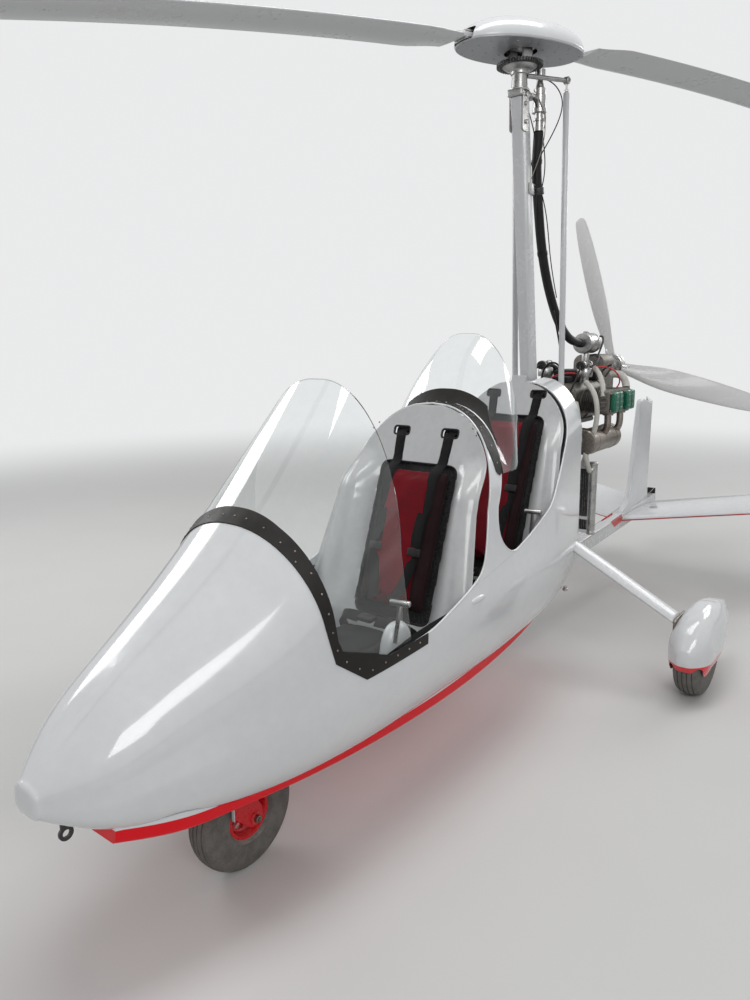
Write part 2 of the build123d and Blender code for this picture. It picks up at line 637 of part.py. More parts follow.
spat_inside = spat_form(SPAT_WALL)
tyre_way = Pos(*PORT_CENTRE) * Rot(Y=90) * Cylinder(MAIN_TYRE_RADIUS + 12, MAIN_TYRE_WIDTH + 24)
spat_open = block(
    (HALF_TRACK - MAIN_TYRE_WIDTH / 2 - 12, HALF_TRACK + MAIN_TYRE_WIDTH / 2 + 12),
    (MAIN_AXLE_Y - MAIN_TYRE_RADIUS - 12, MAIN_AXLE_Y + MAIN_TYRE_RADIUS + 12),
    (0, 200),
)
spat = spat_form(0) - spat_inside - spat_open
knuckle_way = block(
    (KNUCKLE_X - 4, KNUCKLE_X + KNUCKLE_PLATE + 4), (LEG_TIP[1] - 50, MAIN_AXLE_Y + 35),
    (285, KNUCKLE_TOP + 8),
)
spat = spat - knuckle_way
spat = spat - rod((600, LEG_TIP[1], 431), (760, LEG_TIP[1], 341), LEG_CHORD / 2 + LEG_GAP)
save("wheel_spats", *both_sides(spat))

AXLE_OUT = HALF_TRACK + MAIN_TYRE_WIDTH / 2 + 6
stub_start = (KNUCKLE_X + 2, MAIN_AXLE_Y, MAIN_TYRE_RADIUS)
stub = rod(stub_start, (AXLE_OUT, MAIN_AXLE_Y, MAIN_TYRE_RADIUS), AXLE_RADIUS)
knuckle = block(
    (KNUCKLE_X, KNUCKLE_X + KNUCKLE_PLATE), (LEG_TIP[1] - 45, MAIN_AXLE_Y + 30),
    (MAIN_TYRE_RADIUS - 16, KNUCKLE_TOP),
)
knuckle = fillet(knuckle.edges().filter_by(Axis.X), 14)
boss = rod((HALF_TRACK - 110, 262, 248), (KNUCKLE_X + 1, 262, 248), 14) & spat_form(SPAT_WALL + SEAT_GAP)
save("main_axles", *both_sides(stub + knuckle + boss))

# Tail surfaces


def aerofoil(chord, thickness):
    """A plain symmetric section with its nose at zero and its tail along local X."""
    nose = 0.3 * chord
    front = EllipticalCenterArc((nose, 0), nose, thickness / 2, start_angle=90, arc_size=180)
    top = Line(front @ 0, (chord, 1.5))
    tail = Line((chord, 1.5), (chord, -1.5))
    bottom = Line((chord, -1.5), front @ 1)
    return make_face(Curve() + [front, top, tail, bottom])


TAIL_ROOT_Z = 455
TAIL_THICKNESS = 48
END_FIN_THICKNESS = 22
tail_rise = math.tan(math.radians(TAIL_DIHEDRAL))


def tail_section(x, chord):
    """A stabiliser section at one span station."""
    plane = Plane(
        origin=(x, TAIL_LEADING_Y, TAIL_ROOT_Z + x * tail_rise), x_dir=(0, 1, 0), z_dir=(1, 0, 0)
    )
    return plane * aerofoil(chord, TAIL_THICKNESS)


TAIL_CHORD = TAIL_TRAILING_Y - TAIL_LEADING_Y
tail_root = KEEL_WIDTH / 2 + SEAT_GAP
tail_tip = TAIL_HALF_SPAN - END_FIN_THICKNESS / 2 - SEAT_GAP
stabiliser = loft([tail_section(tail_root, TAIL_CHORD), tail_section(tail_tip, TAIL_CHORD)], ruled=True)
save("tailplane", *both_sides(stabiliser))

# side outlines as (y, z) points
CENTRE_FIN = [(1450, 470), (1470, 506), (1562, 545), (1610, 657), (1644, 847), (1662, 999), (1696, 1175),
              (1740, FIN_TOP), (FIN_TRAILING_Y, FIN_TOP - 40), (FIN_TRAILING_Y, 490)]
END_FIN = [
    (1500, 470), (1560, 420), (2060, 420), (2110, 460), (2080, 1000), (2040, 1040), (1760, 1040),
    (1700, 1000),
]
FIN_THICKNESS = 30


def flat_fin(outline, thickness):
    """A slab fin from its side view."""
    face = make_face(Plane.YZ * Polyline(*outline, close=True))
    return extrude(face, amount=thickness / 2, both=True)


centre_fin = flat_fin(CENTRE_FIN, FIN_THICKNESS) - keel_envelope
end_fin = Pos(TAIL_HALF_SPAN, 0, 0) * flat_fin(END_FIN, END_FIN_THICKNESS)

HINGE_Y = FIN_TRAILING_Y + RUDDER_GAP
RUDDER_LOW = 560
RUDDER_HIGH = FIN_TOP - 30
RUDDER_NOSE = 11
HINGE_PIN = 4
HINGE_LUG = 8
HINGE_PLACES = (RUDDER_LOW + 60, RUDDER_HIGH - 70)
rudder_foil = Polyline(
    (-8, -7), (0, -RUDDER_NOSE), (8, -7), (12, 30), (2, RUDDER_CHORD), (-2, RUDDER_CHORD), (-12, 30),
    close=True,
)
rudder_plane = Plane(origin=(0, HINGE_Y, RUDDER_LOW))
rudder = extrude(rudder_plane * make_face(rudder_foil), amount=RUDDER_HIGH - RUDDER_LOW)
lugs = []
for place in HINGE_PLACES:
    notch = block((-30, 30), (HINGE_Y - 30, HINGE_Y + 16), (place - HINGE_LUG, place + HINGE_LUG))
    pin = rod((0, HINGE_Y, place - HINGE_LUG - 2), (0, HINGE_Y, place + HINGE_LUG + 2), HINGE_PIN)
    rudder = (rudder - notch) + pin
    lug = block((-5, 5), (FIN_TRAILING_Y - 5, HINGE_Y), (place - HINGE_LUG / 2, place + HINGE_LUG / 2))
    lug = lug + rod((0, HINGE_Y, place - HINGE_LUG / 2), (0, HINGE_Y, place + HINGE_LUG / 2), 9)
    pin_bore = rod((0, HINGE_Y, place - 20), (0, HINGE_Y, place + 20), HINGE_PIN + AXLE_FIT)
    lugs.append(lug - pin_bore)
rudder = rudder.rotate(Axis((0, HINGE_Y, 0), (0, 0, 1)), RUDDER_ANGLE)
save("rudder", rudder)
save("tail_fins", centre_fin + lugs[0] + lugs[1], *both_sides(end_fin))

# Propeller
prop_hub = rod((0, PROP_Y - 32, PROP_Z), (0, PROP_Y + 32, PROP_Z), PROP_HUB_RADIUS)
prop_hub = prop_hub + rod((0, PROP_Y + 32, PROP_Z), (0, PROP_Y + 60, PROP_Z), PROP_SHAFT_RADIUS)
prop_hub = prop_hub + rod((0, GEARBOX_END - 15, PROP_Z), (0, PROP_Y - 30, PROP_Z), PROP_SHAFT_RADIUS)
# radius, chord, thickness, pitch
PROP_STATIONS = [
    (50, 62, 44, 40), (240, 118, 26, 32), (440, 128, 17, 24), (650, 108, 11, 18), (PROP_RADIUS, 60, 6, 14),
]


def prop_blade(angle):
    """One twisted blade, standing out from the hub at an angle from port towards up."""
    faces = []
    for radius, chord, thickness, pitch in PROP_STATIONS:
        turn = math.radians(pitch)
        plane = Plane(origin=(radius, 0, 0), x_dir=(0, math.sin(turn), math.cos(turn)), z_dir=(1, 0, 0))
        faces.append(plane * Pos(-chord / 2, 0) * aerofoil(chord, thickness))
    hub_way = rod((0, -100, 0), (0, 100, 0), PROP_HUB_RADIUS + SEAT_GAP)
    return Pos(0, PROP_Y, PROP_Z) * Rot(Y=-angle) * (loft(faces) - hub_way)


blades = [prop_blade(PROP_FIRST_ANGLE + 360 * index / PROP_BLADES) for index in range(PROP_BLADES)]
save("prop_hub", prop_hub)
save("prop_blades", *blades)

# Rotor, modelled with its blades along Y, then tilted and turned to where it is parked
rotor_turn = Rot(Z=-ROTOR_AZIMUTH)
parked = rotor_turn * Pos(0, 0, TEETER_Z) * Rot(X=PARKED_TEETER) * Pos(0, 0, -TEETER_Z)
TOWER_X = 40
TOWER_PLATE = 8
TEETER_FIT = 0.05
teeter_pin = rod((-TOWER_X - 14, 0, TEETER_Z), (TOWER_X + 14, 0, TEETER_Z), TEETER_PIN_RADIUS)
tower = block((TOWER_X, TOWER_X + TOWER_PLATE), (-26, 26), (RING_Z + RING_THICKNESS - 2, TEETER_Z + 14))
ring = rod((0, 0, RING_Z), (0, 0, RING_Z + RING_THICKNESS), RING_RADIUS)
shaft = rod((0, 0, MAST_TOP + 20), (0, 0, RING_Z), SHAFT_RADIUS)
save("ring_gear", rotor_turn * (ring + shaft + tower + mirror(tower, about=Plane.YZ) + teeter_pin))

hub_bar = block(
    (-HUB_BAR_WIDTH / 2, HUB_BAR_WIDTH / 2), (-HUB_BAR_LENGTH / 2, HUB_BAR_LENGTH / 2),
    (BAR_Z - HUB_BAR_THICKNESS / 2, BAR_Z + HUB_BAR_THICKNESS / 2),
)
TOWER_GAP = 8
tower_way = block(
    (TOWER_X - TOWER_GAP, TOWER_X + TOWER_PLATE + TOWER_GAP), (-45, 45), (BAR_Z - 100, BAR_Z + 100)
)
teeter_block = block((-TOWER_X + 6, TOWER_X - 6), (-30, 30), (BAR_Z, TEETER_Z + 18))
hub_bar = hub_bar - tower_way - mirror(tower_way, about=Plane.YZ) + teeter_block
hub_bar = hub_bar - rod((-100, 0, TEETER_Z), (100, 0, TEETER_Z), TEETER_PIN_RADIUS + TEETER_FIT)
ROOT_INNER = HUB_BAR_LENGTH / 2 + 2
ROOT_HALF = 36
STRAP_PLATE = 7
for side in (1, -1):
    reach = sorted((side * (HUB_BAR_LENGTH / 2 - 60), side * (ROOT_INNER + 110)))
    for z in (BAR_Z + HUB_BAR_THICKNESS / 2, BAR_Z - HUB_BAR_THICKNESS / 2 - STRAP_PLATE):
        hub_bar = hub_bar + block((-ROOT_HALF, ROOT_HALF), reach, (z, z + STRAP_PLATE))
save("hub_bar", parked * hub_bar)

# radius, chord, thickness
BLADE_STATIONS = [(BLADE_ROOT, BLADE_ROOT_CHORD, 20), (BLADE_FULL, BLADE_CHORD, BLADE_THICKNESS)]
for radius in (1300, 2100, 2900, 3550, ROTOR_RADIUS):
    BLADE_STATIONS.append((radius, BLADE_CHORD, BLADE_THICKNESS))


def rotor_blade():
    """The forward blade, with its leading edge to port and its tip hanging down."""
    faces = []
    for radius, chord, thickness in BLADE_STATIONS:
        drop = BLADE_DROOP * (radius / ROTOR_RADIUS) ** 2
        plane = Plane(origin=(0.28 * chord, -radius, BAR_Z - drop), x_dir=(-1, 0, 0), z_dir=(0, -1, 0))
        faces.append(plane * aerofoil(chord, thickness))
    root = block(
        (-ROOT_HALF, ROOT_HALF), (-BLADE_ROOT - 20, -ROOT_INNER),
        (BAR_Z - HUB_BAR_THICKNESS / 2 + SEAT_GAP, BAR_Z + HUB_BAR_THICKNESS / 2 - SEAT_GAP),
    )
    return loft(faces, ruled=True) + root


forward_blade = rotor_blade()
save("rotor_blades", parked * forward_blade, parked * Rot(Z=180) * forward_blade)

COVER_WALL = 3
COVER_HOLE = 76
COVER_HEIGHT = 110
# height above the plate, half width, half length
COVER_SECTIONS = [
    (0, COVER_WIDTH / 2, COVER_LENGTH / 2), (43, COVER_WIDTH / 2 - 15, COVER_LENGTH / 2 - 25),
    (80, COVER_WIDTH / 2 - 48, COVER_LENGTH / 2 - 85), (COVER_HEIGHT, 45, 90),
]


def cover_form(inset, drop):
    """The shallow dome over the rotor hub."""
    faces = []
    for rise, half_width, half_length in COVER_SECTIONS:
        plane = Plane(origin=(0, 0, COVER_LOW + rise - drop))
        faces.append(plane * Ellipse(half_width - inset, half_length - inset))
    return loft(faces)


cover_plate = block((-400, 400), (-400, 400), (COVER_LOW - 10, COVER_LOW + COVER_WALL))
cover = cover_form(0, 0) - (cover_form(COVER_WALL, COVER_WALL) - cover_plate)
cover = cover - rod((0, 0, COVER_LOW - 10), (0, 0, COVER_LOW + 10), COVER_HOLE)
ROOT_WAY = ROOT_HALF + 24
POST_Y = 165
bar_top = BAR_Z + HUB_BAR_THICKNESS / 2 + STRAP_PLATE + SEAT_GAP
for side in (1, -1):
    way = sorted((side * (COVER_LENGTH / 2 - 60), side * COVER_LENGTH))
    cover = cover - block((-ROOT_WAY, ROOT_WAY), way, (COVER_LOW + COVER_WALL, BAR_Z + 26))
    post = rod((0, side * POST_Y, bar_top), (0, side * POST_Y, COVER_LOW + COVER_HEIGHT), 12)
    cover = cover + (post & cover_form(COVER_WALL / 2, COVER_WALL / 2))
save("hub_cover", parked * cover)

# Rotor head on the mast, with an arm to each push rod
BASE_TOP = MAST_TOP + 30
TOWER_RADIUS = 36
head_tower = pipe((0, 0, BASE_TOP), (0, 0, RING_Z - 2), TOWER_RADIUS, TOWER_RADIUS - SHAFT_RADIUS - AXLE_FIT)
head_base = block((-34, 34), (-45, 45), (MAST_TOP, BASE_TOP))
head_base = head_base - rod((0, 0, MAST_TOP + 18), (0, 0, BASE_TOP + 10), SHAFT_RADIUS + AXLE_FIT)
DRIVE_RADIUS = 28
drive_bracket = block((-6, 40), (40, DRIVE_Y - DRIVE_RADIUS - SEAT_GAP), (MAST_TOP + 8, MAST_TOP + 24))
ROD_X = 119
ROD_TOP_Y = 198
ARM_Z = BASE_TOP + 60
ARM_END = 14
head_arm = rod((25, 22, ARM_Z), (ROD_X, ROD_TOP_Y, ARM_Z), 11)
head_arm = head_arm + block(
    (ROD_X - ARM_END, ROD_X + ARM_END), (ROD_TOP_Y - ARM_END, ROD_TOP_Y + ARM_END),
    (ARM_Z - ARM_END, ARM_Z + ARM_END),
)
save("rotor_head", head_tower + head_base + head_arm + mirror(head_arm, about=Plane.YZ) + drive_bracket)

push_rod = rod((ROD_X, ROD_TOP_Y, ARM_Z - ARM_END - 1), ROD_LOW, ROD_RADIUS)
save("push_rods", *both_sides(push_rod))

# Drive to the ring gear: a neck on the sleeve's end, its housing and its pinion
PINION_RADIUS = 21
neck = rod((DRIVE_X, DRIVE_Y, MAST_TOP - 110), (DRIVE_X, DRIVE_Y, MAST_TOP - 70), HOSE_RADIUS - 2)
housing = rod((DRIVE_X, DRIVE_Y, MAST_TOP - 75), (DRIVE_X, DRIVE_Y, MAST_TOP + 60), DRIVE_RADIUS)
pinion = rod((DRIVE_X, DRIVE_Y, MAST_TOP + 55), (DRIVE_X, DRIVE_Y, RING_Z + RING_THICKNESS), PINION_RADIUS)
save("prerotator", neck + housing + pinion)
save("drive_sleeve", bent_pipe(hose_points, 200, HOSE_RADIUS))

# Engine
ENGINE_HALF = 110
engine = block((-ENGINE_HALF, ENGINE_HALF), ENGINE_Y, (CRANK_Z - 95, CRANK_Z + 90))
engine = fillet(engine.edges().filter_by(Axis.Y), 12)
save("engine_block", engine)

# Four cylinders with cooling fins, in two banks, with a cover on each head
FIRST_CYLINDER_Y = ENGINE_Y[0] + 145
CYLINDER_PLACES = (FIRST_CYLINDER_Y, FIRST_CYLINDER_Y + CYLINDER_PITCH)
BANK_SHIFT = 32
BARREL_END = 205
HEAD_END = 262
COVER_END = 290
FIN_COUNT = 7
HEAD_SIZE = 118
cylinders = []
covers = []
for side in (1, -1):
    for place in CYLINDER_PLACES:
        y = place + (BANK_SHIFT if side > 0 else 0)
        start = side * (ENGINE_HALF + SEAT_GAP)
        barrel = rod((start, y, CRANK_Z), (side * BARREL_END, y, CRANK_Z), BARREL_RADIUS)
        for index in range(FIN_COUNT):
            x = side * (ENGINE_HALF + 12 + index * (BARREL_END - ENGINE_HALF - 16) / FIN_COUNT)
            barrel = barrel + rod((x, y, CRANK_Z), (x + side * 3, y, CRANK_Z), FIN_RADIUS)
        across_y = (y - HEAD_SIZE / 2, y + HEAD_SIZE / 2)
        head_x = sorted((side * BARREL_END, side * HEAD_END))
        head = block(head_x, across_y, (CRANK_Z - HEAD_SIZE / 2, CRANK_Z + HEAD_SIZE / 2))
        cylinders.append(barrel + chamfer(head.edges().filter_by(Axis.X), 14))
        cover_x = sorted((side * (HEAD_END + SEAT_GAP), side * COVER_END))
        valve_cover = block(cover_x, (across_y[0] + 6, across_y[1] - 6), (CRANK_Z - 46, CRANK_Z + 50))
        valve_cover = chamfer(valve_cover.edges().filter_by(Axis.X), 12)
        rim = valve_cover.faces().sort_by(Axis.X)[-1 if side > 0 else 0].edges()
        covers.append(chamfer(rim, 7))
save("engine_cylinders", *cylinders)
save("valve_covers", *covers)

# Reduction gearbox and propeller flange
GEARBOX_Y = (ENGINE_Y[1] + SEAT_GAP, GEARBOX_END)
gearbox = block((-85, 85), GEARBOX_Y, (CRANK_Z - 80, PROP_Z + 70))
gearbox = fillet(gearbox.edges().filter_by(Axis.Y), 45)
gearbox = gearbox + rod((0, GEARBOX_Y[1] - 5, PROP_Z), (0, GEARBOX_Y[1] + 90, PROP_Z), 48)
shaft_bore = rod((0, GEARBOX_Y[1] - 20, PROP_Z), (0, PROP_Y, PROP_Z), PROP_SHAFT_RADIUS + AXLE_FIT)
save("gearbox", gearbox - shaft_bore)

# Intake: two carburettors on top of the engine with an airbox between them
carburettors = []
for side in (1, -1):
    x = side * 105
    body = rod((x, 560, CRANK_Z + 90 + SEAT_GAP), (x, 560, CRANK_Z + 190), 24)
    bowl = rod((x, 560, CRANK_Z + 120), (x, 560, CRANK_Z + 165), 36)
    runner = rod((x, 500, CRANK_Z + 175), (x, 640, CRANK_Z + 175), 22)
    carburettors.append(body + bowl + runner)
airbox = block((-66, 66), (560, 720), (CRANK_Z + 90 + SEAT_GAP, CRANK_Z + 150))
airbox = fillet(airbox.edges().filter_by(Axis.Z), 14)

# Drum on top of the engine that the drive sleeve runs into
DRUM_Y = (757.5, 925)
DRUM_Z = 1540
DRUM_RADIUS = 52
drum_mount = rod((0, 815, CRANK_Z + 90 + SEAT_GAP), (0, 815, DRUM_Z - 30), 20)
drum = rod((0, DRUM_Y[0], DRUM_Z), (0, DRUM_Y[1], DRUM_Z), DRUM_RADIUS) + drum_mount
save("induction", *carburettors, airbox, drum)

# Exhaust under the engine
CAN_X = 180
CAN_Z = 1075
exhaust = rod((CAN_X, 400, CAN_Z), (CAN_X, 750, CAN_Z), 62)
head_low = CRANK_Z - HEAD_SIZE / 2 - SEAT_GAP
for side in (1, -1):
    for place in CYLINDER_PLACES:
        y = place + (BANK_SHIFT if side > 0 else 0)
        points = [(side * 235, y, head_low), (side * 235, y, 1130), (CAN_X, y, CAN_Z + 5)]
        exhaust = exhaust + bent_pipe(points, 30, 17)
save("exhaust", exhaust)

# Radiator behind the pod, with tanks down its sides
RADIATOR_Y = 490
RADIATOR_Z = (610, 960)
RADIATOR_HALF = 185
core = block((-RADIATOR_HALF, RADIATOR_HALF), (RADIATOR_Y - 18, RADIATOR_Y + 18), RADIATOR_Z)
TANK_X = RADIATOR_HALF + 14
tank = rod((TANK_X, RADIATOR_Y, RADIATOR_Z[0] - 10), (TANK_X, RADIATOR_Y, RADIATOR_Z[1] + 10), 24)
save("radiator", core + tank + mirror(tank, about=Plane.YZ))

# Engine bearer: tubes from the mast to the engine and the radiator
BEARER_RADIUS = 14
BEARER_Z = CRANK_Z - 95 - BEARER_RADIUS - SEAT_GAP
CHEEK_IN = MAST_WIDTH / 2 + SEAT_GAP
CHEEK_OUT = CHEEK_IN + 10
TRUSS_Z = 800
SHELF_DROP = 1
bearer = block((CHEEK_IN, CHEEK_OUT), (mast_y(BEARER_Z) - 35, 330), (BEARER_Z - 30, BEARER_Z + 30))
bearer = bearer + rod((CHEEK_OUT + 8, 250, BEARER_Z), (60, 780, BEARER_Z), BEARER_RADIUS)
bearer = bearer + block((CHEEK_IN, CHEEK_OUT), (mast_y(TRUSS_Z) - 35, 330), (TRUSS_Z - 30, TRUSS_Z + 30))
bearer = bearer + rod((CHEEK_OUT, 300, TRUSS_Z), (CHEEK_OUT + 12, 400, BEARER_Z), BEARER_RADIUS - 3)
arm_end = RADIATOR_Y - 18 - SEAT_GAP
bearer = bearer + rod((CHEEK_OUT - 2, 290, TRUSS_Z), (CHEEK_OUT - 2, arm_end, TRUSS_Z), BEARER_RADIUS - 3)
shelf_top = ROD_LOW[2] - SHELF_DROP
rod_shelf = block(
    (CHEEK_IN, ROD_LOW[0] + 18), (ROD_LOW[1] - 18, ROD_LOW[1] + 18), (shelf_top - 14, shelf_top)
)
save("engine_bearer", *both_sides(bearer + rod_shelf))

# Cockpit controls
FLOOR_TOP = FLOOR_Z + FLOOR_THICKNESS + SEAT_GAP
# stick y, lever y
CONTROL_PLACES = [(-1440, -1230), (-715, -150)]
controls = []
for stick_y, lever_y in CONTROL_PLACES:
    stick = bent_pipe([(0, stick_y, FLOOR_TOP), (0, stick_y, 560), (0, stick_y + 40, 780)], 60, 11)
    grip = rod((0, stick_y + 40, 775), (0, stick_y + 52, 880), 18)
    lever = rod((250, lever_y - 10, FLOOR_TOP), (230, lever_y, 720), 8)
    handle = rod((195, lever_y, 720), (265, lever_y, 720), 12)
    controls += [stick + grip, lever + handle]
PEDAL_Y = -1800
for x in (-95, 95):
    pedal = rod((x, PEDAL_Y, FLOOR_TOP), (x, PEDAL_Y, 560), 9)
    controls.append(pedal + block((x - 45, x + 45), (PEDAL_Y - 6, PEDAL_Y + 6), (540, 610)))
PANEL_Y = -1590
panel = block((-110, 110), (PANEL_Y, PANEL_Y + 60), (700, 860))
panel_leg = block((-25, 25), (PANEL_Y + 10, PANEL_Y + 50), (FLOOR_TOP, 705))
controls.append(fillet(panel.edges().filter_by(Axis.Y), 25) + panel_leg)
save("cockpit_controls", *controls)
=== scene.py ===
"""A two-seat tandem gyrocopter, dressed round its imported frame."""

import json
import logging
import math
from dataclasses import dataclass, field, replace
from enum import Enum
from typing import Callable, Sequence

import bpy
from mathutils import Euler, Matrix, Vector


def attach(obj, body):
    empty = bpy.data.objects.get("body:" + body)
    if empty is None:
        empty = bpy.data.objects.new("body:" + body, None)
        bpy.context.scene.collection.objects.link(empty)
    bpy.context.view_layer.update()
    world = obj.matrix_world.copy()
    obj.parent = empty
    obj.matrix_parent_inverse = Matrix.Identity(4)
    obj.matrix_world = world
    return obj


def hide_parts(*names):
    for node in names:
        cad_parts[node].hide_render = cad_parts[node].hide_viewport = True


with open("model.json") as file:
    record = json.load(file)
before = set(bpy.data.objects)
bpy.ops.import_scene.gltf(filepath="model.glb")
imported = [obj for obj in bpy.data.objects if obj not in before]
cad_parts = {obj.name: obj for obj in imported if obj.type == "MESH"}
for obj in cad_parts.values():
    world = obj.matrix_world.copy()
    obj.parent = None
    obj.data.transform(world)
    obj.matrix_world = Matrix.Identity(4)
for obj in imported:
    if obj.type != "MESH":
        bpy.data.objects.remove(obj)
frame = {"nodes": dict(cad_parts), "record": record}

LOG = logging.getLogger("gyrocopter")
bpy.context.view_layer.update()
MM = 0.001

Point = tuple[float, float, float]
Colour = tuple[float, float, float]
Outline = Sequence[tuple[float, float]]
Piece = bpy.types.Object


# Modelling helpers


def alone(piece: Piece) -> Piece:
    """Makes one object the only selected and the active one.

    Args:
        piece: The object to work on.

    Returns:
        The same object.
    """
    bpy.ops.object.select_all(action="DESELECT")
    piece.select_set(True)
    bpy.context.view_layer.objects.active = piece
    return piece


def named(name: str) -> Piece:
    """Names the object that an operator has just added.

    Args:
        name: The piece's name.

    Returns:
        The new object, alone in the selection.
    """
    piece = bpy.context.view_layer.objects.active
    piece.name = name
    piece.data.name = name
    return alone(piece)


def apply(piece: Piece) -> Piece:
    """Applies every modifier on a piece, in order.

    Args:
        piece: The piece to finish.

    Returns:
        The same piece with a plain mesh.
    """
    alone(piece)
    for modifier in list(piece.modifiers):
        bpy.ops.object.modifier_apply(modifier=modifier.name)
    return piece


def settle(piece: Piece, angle: float = 35.0) -> Piece:
    """Moves a piece's place into its mesh and smooths its gentle edges.

    Args:
        piece: The piece to finish.
        angle: Edges sharper than this stay hard, in degrees.

    Returns:
        The same piece.
    """
    alone(piece)
    bpy.ops.object.transform_apply(location=True, rotation=True, scale=True)
    bpy.ops.object.shade_smooth_by_angle(angle=math.radians(angle))
    return piece


def eased(piece: Piece, width: float, segments: int = 2, angle: float = 30.0) -> Piece:
    """Rounds a piece's sharp edges.

    Args:
        piece: The piece to round.
        width: How wide the rounding is, in metres.
        segments: Faces across it.
        angle: Edges sharper than this are rounded, in degrees.

    Returns:
        The same piece with a plain mesh.
    """
    rounding = piece.modifiers.new("edges", "BEVEL")
    rounding.width, rounding.segments = width, segments
    rounding.limit_method, rounding.angle_limit = "ANGLE", math.radians(angle)
    return apply(piece)


def tidy_normals(piece: Piece, gap: float = 0.00002) -> Piece:
    """Merges doubled points and turns every face outwards.

    Args:
        piece: The piece to clean.
        gap: Points nearer than this are merged, in metres.

    Returns:
        The same piece.
    """
    alone(piece)
    bpy.ops.object.mode_set(mode="EDIT")
    bpy.ops.mesh.select_all(action="SELECT")
    bpy.ops.mesh.remove_doubles(threshold=gap)
    bpy.ops.mesh.normals_make_consistent(inside=False)
    bpy.ops.object.mode_set(mode="OBJECT")
    return piece


def joined(name: str, parts: Sequence[Piece]) -> Piece:
    """Joins several meshes into one piece.

    Args:
        name: The new piece's name.
        parts: The meshes to join.

    Returns:
        The one piece.
    """
    bpy.ops.object.select_all(action="DESELECT")
    for part in parts:
        part.select_set(True)
    bpy.context.view_layer.objects.active = parts[0]
    bpy.ops.object.join()
    return named(name)


def surface(name: str, place: Callable[[float, float], Point], across: int, along: int) -> Piece:
    """Adds a grid and lays it on a surface given by two parameters from 0 to 1.

    Args:
        name: The piece's name.
        place: Gives the point, in metres, for a pair of parameters.
        across: Faces along the first parameter.
        along: Faces along the second parameter.

    Returns:
        The new piece.
    """
    bpy.ops.object.select_all(action="DESELECT")
    bpy.ops.mesh.primitive_grid_add(x_subdivisions=across, y_subdivisions=along, size=2)
    piece = named(name)
    for vertex in piece.data.vertices:
        vertex.co = place((vertex.co.x + 1) / 2, (vertex.co.y + 1) / 2)
    return piece


def prism(name: str, outline: Outline, low: float, high: float, axis: str) -> Piece:
    """Adds a disc, lays its rim on a flat outline and extrudes it along an axis.

    Args:
        name: The piece's name.
        outline: The rim's points on the other two axes, in their order, in metres.
        low: Where the prism starts along its axis.
        high: Where it ends.
        axis: X, Y or Z.

    Returns:
        The new piece.
    """
    order = {"X": (1, 2, 0), "Y": (0, 2, 1), "Z": (0, 1, 2)}[axis]
    bpy.ops.object.select_all(action="DESELECT")
    bpy.ops.mesh.primitive_circle_add(vertices=len(outline), radius=1, fill_type="NGON")
    piece = named(name)
    for vertex, (first, second) in zip(piece.data.vertices, outline):
        spot = [0.0, 0.0, 0.0]
        spot[order[0]], spot[order[1]], spot[order[2]] = first, second, low
        vertex.co = spot
    push = [0.0, 0.0, 0.0]
    push[order[2]] = high - low
    bpy.ops.object.mode_set(mode="EDIT")
    bpy.ops.mesh.select_all(action="SELECT")
    bpy.ops.mesh.extrude_region_move(TRANSFORM_OT_translate={"value": push})
    bpy.ops.object.mode_set(mode="OBJECT")
    return tidy_normals(piece)


def brick(name: str, low: Point, high: Point, bevel: float, segments: int = 3) -> Piece:
    """Adds a block between two corners with rounded edges.

    Args:
        name: The piece's name.
        low: Its lowest corner, in metres.
        high: Its highest corner.
        bevel: The radius of its edges.
        segments: Faces round each edge.

    Returns:
        The new piece.
    """
    bpy.ops.object.select_all(action="DESELECT")
    middle = [(a + b) / 2 for a, b in zip(low, high)]
    bpy.ops.mesh.primitive_cube_add(size=1, location=middle)
    piece = named(name)
    piece.scale = [b - a for a, b in zip(low, high)]
    bpy.ops.object.transform_apply(location=True, rotation=True, scale=True)
    return settle(eased(piece, bevel, segments))


def stick(name: str, start: Point, end: Point, radius: float, end_radius: float | None = None,
          vertices: int = 24, bevel: float = 0.0) -> Piece:
    """Adds a round bar, cone or disc between two points.

    Args:
        name: The piece's name.
        start: Its first end, in metres.
        end: Its other end.
        radius: Its radius at the start.
        end_radius: Its radius at the end, or None for the same.
        vertices: Faces round it.
        bevel: The radius of its end edges.

    Returns:
        The new piece.
    """
    bpy.ops.object.select_all(action="DESELECT")
    line = Vector(end) - Vector(start)
    turn = line.to_track_quat("Z", "Y").to_euler()
    bpy.ops.mesh.primitive_cone_add(
        vertices=vertices, radius1=radius, radius2=radius if end_radius is None else end_radius,
        depth=line.length, location=(Vector(start) + Vector(end)) / 2, rotation=turn,
    )
    piece = named(name)
    if bevel:
        eased(piece, bevel, angle=50)
    return settle(piece)


def run(name: str, points: Sequence[Point], radius: float, smooth: bool = True, sides: int = 5) -> Piece:
    """Adds a round tube along points and makes it a mesh.

    Args:
        name: The piece's name.
        points: The points it follows, in metres.
        radius: Its radius.
        smooth: True for a smooth spline, False for straight runs.
        sides: Steps in a quarter of its round.

    Returns:
        The new piece.
    """
    bpy.ops.object.select_all(action="DESELECT")
    bpy.ops.curve.primitive_nurbs_path_add()
    piece = named(name)
    shape = piece.data
    shape.splines.clear()
    spline = shape.splines.new("NURBS" if smooth else "POLY")
    spline.points.add(len(points) - 1)
    for spot, place in zip(spline.points, points):
        spot.co = (*place, 1.0)
    if smooth:
        spline.order_u = min(4, len(points))
        spline.use_endpoint_u = True
        spline.resolution_u = 8
    shape.dimensions = "3D"
    shape.bevel_depth = radius
    shape.bevel_resolution = sides
    shape.use_fill_caps = True
    bpy.ops.object.convert(target="MESH")
    return settle(named(name), 60)


